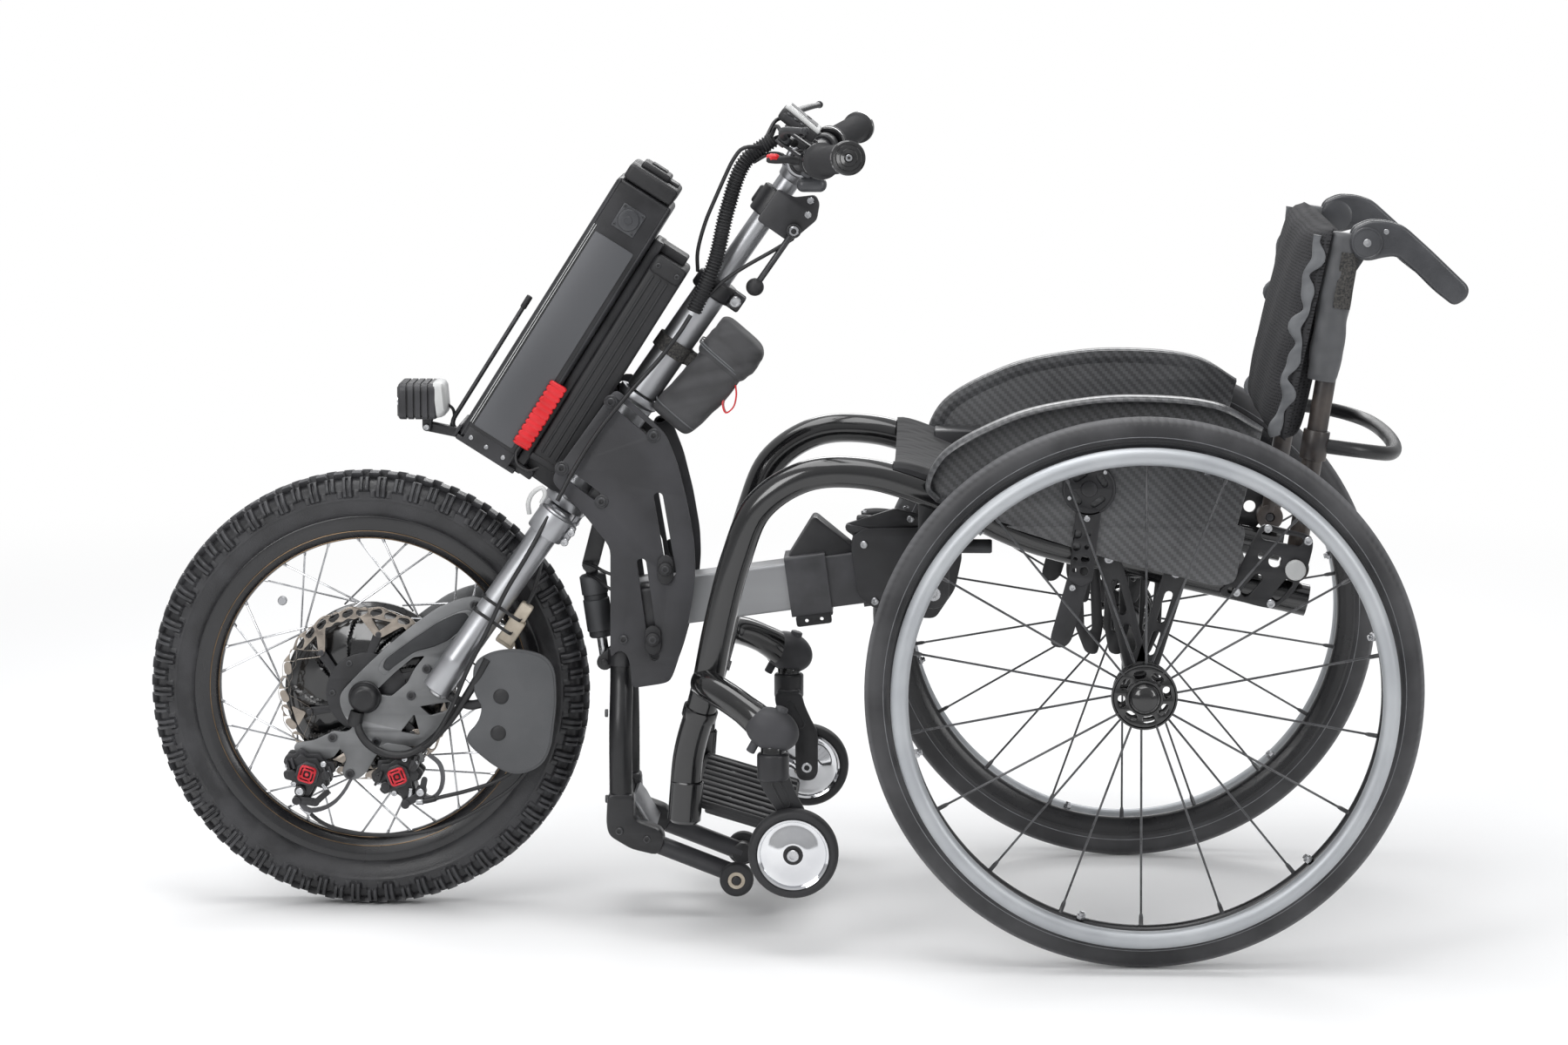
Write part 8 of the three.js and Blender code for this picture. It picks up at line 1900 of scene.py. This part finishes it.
# Backrest panel: a crowned pad, front = stand-off + crown * (1 - across squared) * rise, with its
# edges drawn in and slow folds across it; the back is flat against the canes.
backPanel = {"low": 134, "high": 366, "half": 200, "front": 42, "rear": 20, "crown": 6}
acrossShare = np.sin(np.linspace(-math.pi / 2, math.pi / 2, 61))
upShare = np.linspace(0, 1, 61)
across, upward = np.meshgrid(acrossShare, upShare)
edgeIn = (1 - np.abs(across) ** 8) * (1 - np.abs(2 * upward - 1) ** 14)
sideFolds = 0.9 * np.sin(upward * 23 + 3.0 * across) * np.exp(-((np.abs(across) - 0.86) / 0.16) ** 2)
folds = sideFolds + 0.8 * np.sin(across * 9 + upward * 7)
standOff = backPanel["rear"] + 13 * (1 - upward)
panelCrown = backPanel["crown"] * (1 - across ** 2) * np.sin(upward * math.pi * 0.8 + 0.3)
frontAt = standOff + (backPanel["front"] - backPanel["rear"] + panelCrown + folds) * edgeIn ** 0.5
topArch = 4 * np.cos(across * math.pi / 2) * (upward > 0.99)
upAt = backPanel["low"] + upward * (backPanel["high"] - backPanel["low"]) + topArch
yAt = across * backPanel["half"]
frontGrid = onCane(upAt, frontAt, yAt)
rearAt = standOff - 20.0 * edgeIn ** 0.5 * np.clip((0.93 - np.abs(across)) / 0.06, 0, 1)
rearGrid = onCane(upAt, rearAt, yAt)
padded = addPiece("backPanelMesh", "backrest", "airMesh",
                  [gridShell(frontGrid), gridShell(rearGrid)], "back_upholstery", sharp=60, weld=0.05)


# Sleeve round a cane: an oval tube of cloth that wrinkles, radius = oval * (1 + folds), open cane below.
def makeSleeve(side):
    up = np.linspace(204, 364, 90)[:, None]
    turn = np.linspace(0, 2 * math.pi, 40, endpoint=False)[None, :]
    crease = 0.035 * np.sin(up / 9.0 + 2.2 * np.sin(turn)) + 0.03 * np.sin(up / 23.0 + 1.4 + turn)
    crease = crease + 0.02 * np.sin(up / 5.2 - 3 * turn)
    taper = np.interp(up, [204, 210, 230, 350, 361, 364], [0.86, 0.95, 1.0, 1.0, 0.93, 0.75])
    forward = 4.6 + 17.6 * np.cos(turn) * (1 + crease) * taper
    out = 14.2 * np.sin(turn) * (1 + crease) * taper
    return cappedGrid(onCane(up, forward, out - side * caneSide))


sleevePiece = addPiece("backSleeves", "backrest", "sleeveCloth", [makeSleeve(1), makeSleeve(-1)],
                       sharp=60)
pipeRun = np.linspace(0, 1, 70)
pipes = []
for side in (-1, 1):
    forward = 43 - 9 * pipeRun + 3.6 * np.sin(pipeRun * 26) + 1.6 * np.sin(pipeRun * 47 + 1)
    up = 138 + pipeRun * 220
    path = onCane(up, forward, side * (199.5 + 1.2 * np.sin(pipeRun * 31)))
    pipes.append(sweep(path, oval(6.2, 2.4, 14), 0.9 + 0.3 * np.sin(pipeRun * 37)))
addPiece("backPiping", "backrest", "piping", pipes, sharp=60)
hookFlaps = []
for side in (-1, 1):
    rows = np.linspace(284, 344, 24)[:, None]
    cols = np.linspace(-12, 7, 12)[None, :]
    bulge = 15.4 * np.sqrt(np.clip(1 - ((cols - 4.6) / 20) ** 2, 0, 1)) + 0.7 * np.sin(rows / 6 + cols / 5)
    outer = onCane(rows, cols, side * (caneSide + bulge))
    hookFlaps.append(slabShell(outer, outer - (0, side * 2.4, 0)))
addPiece("backHookFlaps", "backrest", "hookStrip", hookFlaps, sharp=50)

# Seat sling: one stretched sheet over the rails, height = rail top - sag * (1 - across squared), its
# two faces a few millimetres apart and its sides wrapped over the tubes.
sling = {"from": 594, "to": 988, "half": 205, "sag": 20, "thick": 6}
along, across = np.meshgrid(np.linspace(sling["from"], sling["to"], 60), np.linspace(-1, 1, 61),
                            indexing="ij")
railHeight = railZ(along)
slope = (railZ(along + 5) - railZ(along - 5)) / 10
topOfRail = railHeight + chair["tube"] * np.hypot(1, slope)
inside = np.clip(np.abs(across) * sling["half"] / 192, 0, 1)
wrap = np.clip((np.abs(across) * sling["half"] - 192) / chair["tube"], 0, 1)
wrapDrop = chair["tube"] * (1 - np.sqrt(np.clip(1 - wrap ** 2, 0, 1)))
sagged = topOfRail - sling["sag"] * np.clip(1 - inside ** 2, 0, 1) - wrapDrop
ripple = 0.8 * np.sin(along / 17 + 5 * across) * np.exp(-((np.abs(across) - 0.8) / 0.2) ** 2)
edgeSoft = np.clip(1 - np.abs(2 * (along - sling["from"]) / (sling["to"] - sling["from"]) - 1) ** 20, 0, 1)
upperFace = np.stack([along, across * sling["half"],
                      sagged + 1 + sling["thick"] * (0.3 + 0.7 * edgeSoft) + ripple], axis=-1)
lowerFace = np.stack([along, across * sling["half"], sagged + 1], axis=-1)
slingPiece = addPiece("seatSlingCloth", "chassis", "cloth", [slabShell(upperFace, lowerFace)],
                      "seat_sling", sharp=50)

# Tool bag: a loft of rounded sections that swell at the middle, sag at the foot and crease.
bagLook = {"middle": (50, 0, 209), "turn": math.radians(6)}
bagAxes = turnedAxes(bagLook["turn"])
onBag = lambda points: vec(*bagLook["middle"]) + np.asarray(points, float) @ bagAxes


# a circle's cosine or sine, pushed outward so that the circle becomes a rounded square
def pillow(values):
    return np.sign(values) * np.sqrt(np.abs(values))


# One section carried upward, with its reach = swell * creases * rounded ends.
def bagLoft(low, high, sizeX, sizeY, rows, crease, rounding):
    v = np.linspace(0, 1, rows)[:, None]
    turn = np.linspace(0, 2 * math.pi, 96, endpoint=False)[None, :]
    c, s = np.cos(turn), np.sin(turn)
    x, y = pillow(c), pillow(s)
    # the ends close on a rounded pillow edge: reach = (1 - share from the middle ** n) ** (1 / n)
    v = 0.5 - 0.5 * np.cos(v * math.pi)
    ends = np.clip(1 - np.abs(2 * v - 1) ** rounding, 0, 1) ** (1 / rounding)
    swell = 0.95 + 0.05 * np.sin(v * math.pi)
    waves = np.sin(v * 17 + 2 * turn) + 0.5 * np.sin(v * 33 - 3 * turn)
    folds = 1 + crease * waves * (0.4 + 0.6 * np.abs(c * s) * 2)
    reach = swell * folds * (0.3 + 0.7 * ends)
    lean = 4.0 * np.sin(v * math.pi) * crease * 40
    points = np.stack([x * sizeX / 2 * reach + lean, y * sizeY / 2 * reach,
                       low + v * (high - low) + 0 * x], axis=-1)
    return cappedGrid(onBag(points))


bagBody = bagLoft(-67, 54, 57, 64, 70, 0.026, 8)
bagFlap = bagLoft(14, 65, 65, 70, 44, 0.022, 5)
bagPiece = addPiece("toolBag", "steering", "bagNylon", mastShells([bagBody]), "tool_bag",
                    sharp=60)
flapPiece = addPiece("toolBagFlap", "steering", "bagNylon", mastShells([bagFlap]), sharp=60)
hemTurn = np.linspace(0, 2 * math.pi, 96, endpoint=False)
hemAcross, hemSide = pillow(np.cos(hemTurn)), pillow(np.sin(hemTurn))
hemLines = []
for z, reachX, reachY in ((27, 32.0, 34.4), (24.5, 31.8, 34.2), (-55, 27.6, 30.8)):
    hemLoop = onBag(np.column_stack([hemAcross * reachX, hemSide * reachY, np.full(96, z)]))
    hemLines.append(tube(hemLoop, 0.9, 8, closed=True))
addPiece("toolBagHems", "steering", "piping", mastShells(hemLines))
strap = [roundedRing([(19.4, 204), (22.2, 204), (22.2, 222), (19.4, 222)], 0.6, (0, 0, 0), (0, 0, 1), 40),
         boxShell((26, 0, 213), (14, 28, 16), 3)]
addPiece("toolBagStraps", "steering", "hookStrip", mastShells(strap))
redLoop = smoothPath(onBag([(30, -20, 14), (38, -22, 6), (44, -23, -6), (42, -23, -16), (34, -22, -12),
                            (29, -20, -4)]), 30)
addPiece("toolBagPull", "steering", "redPlastic",
         mastShells([sweep(redLoop, rectangle(1.6, 6.8))]))
print("soft goods made")
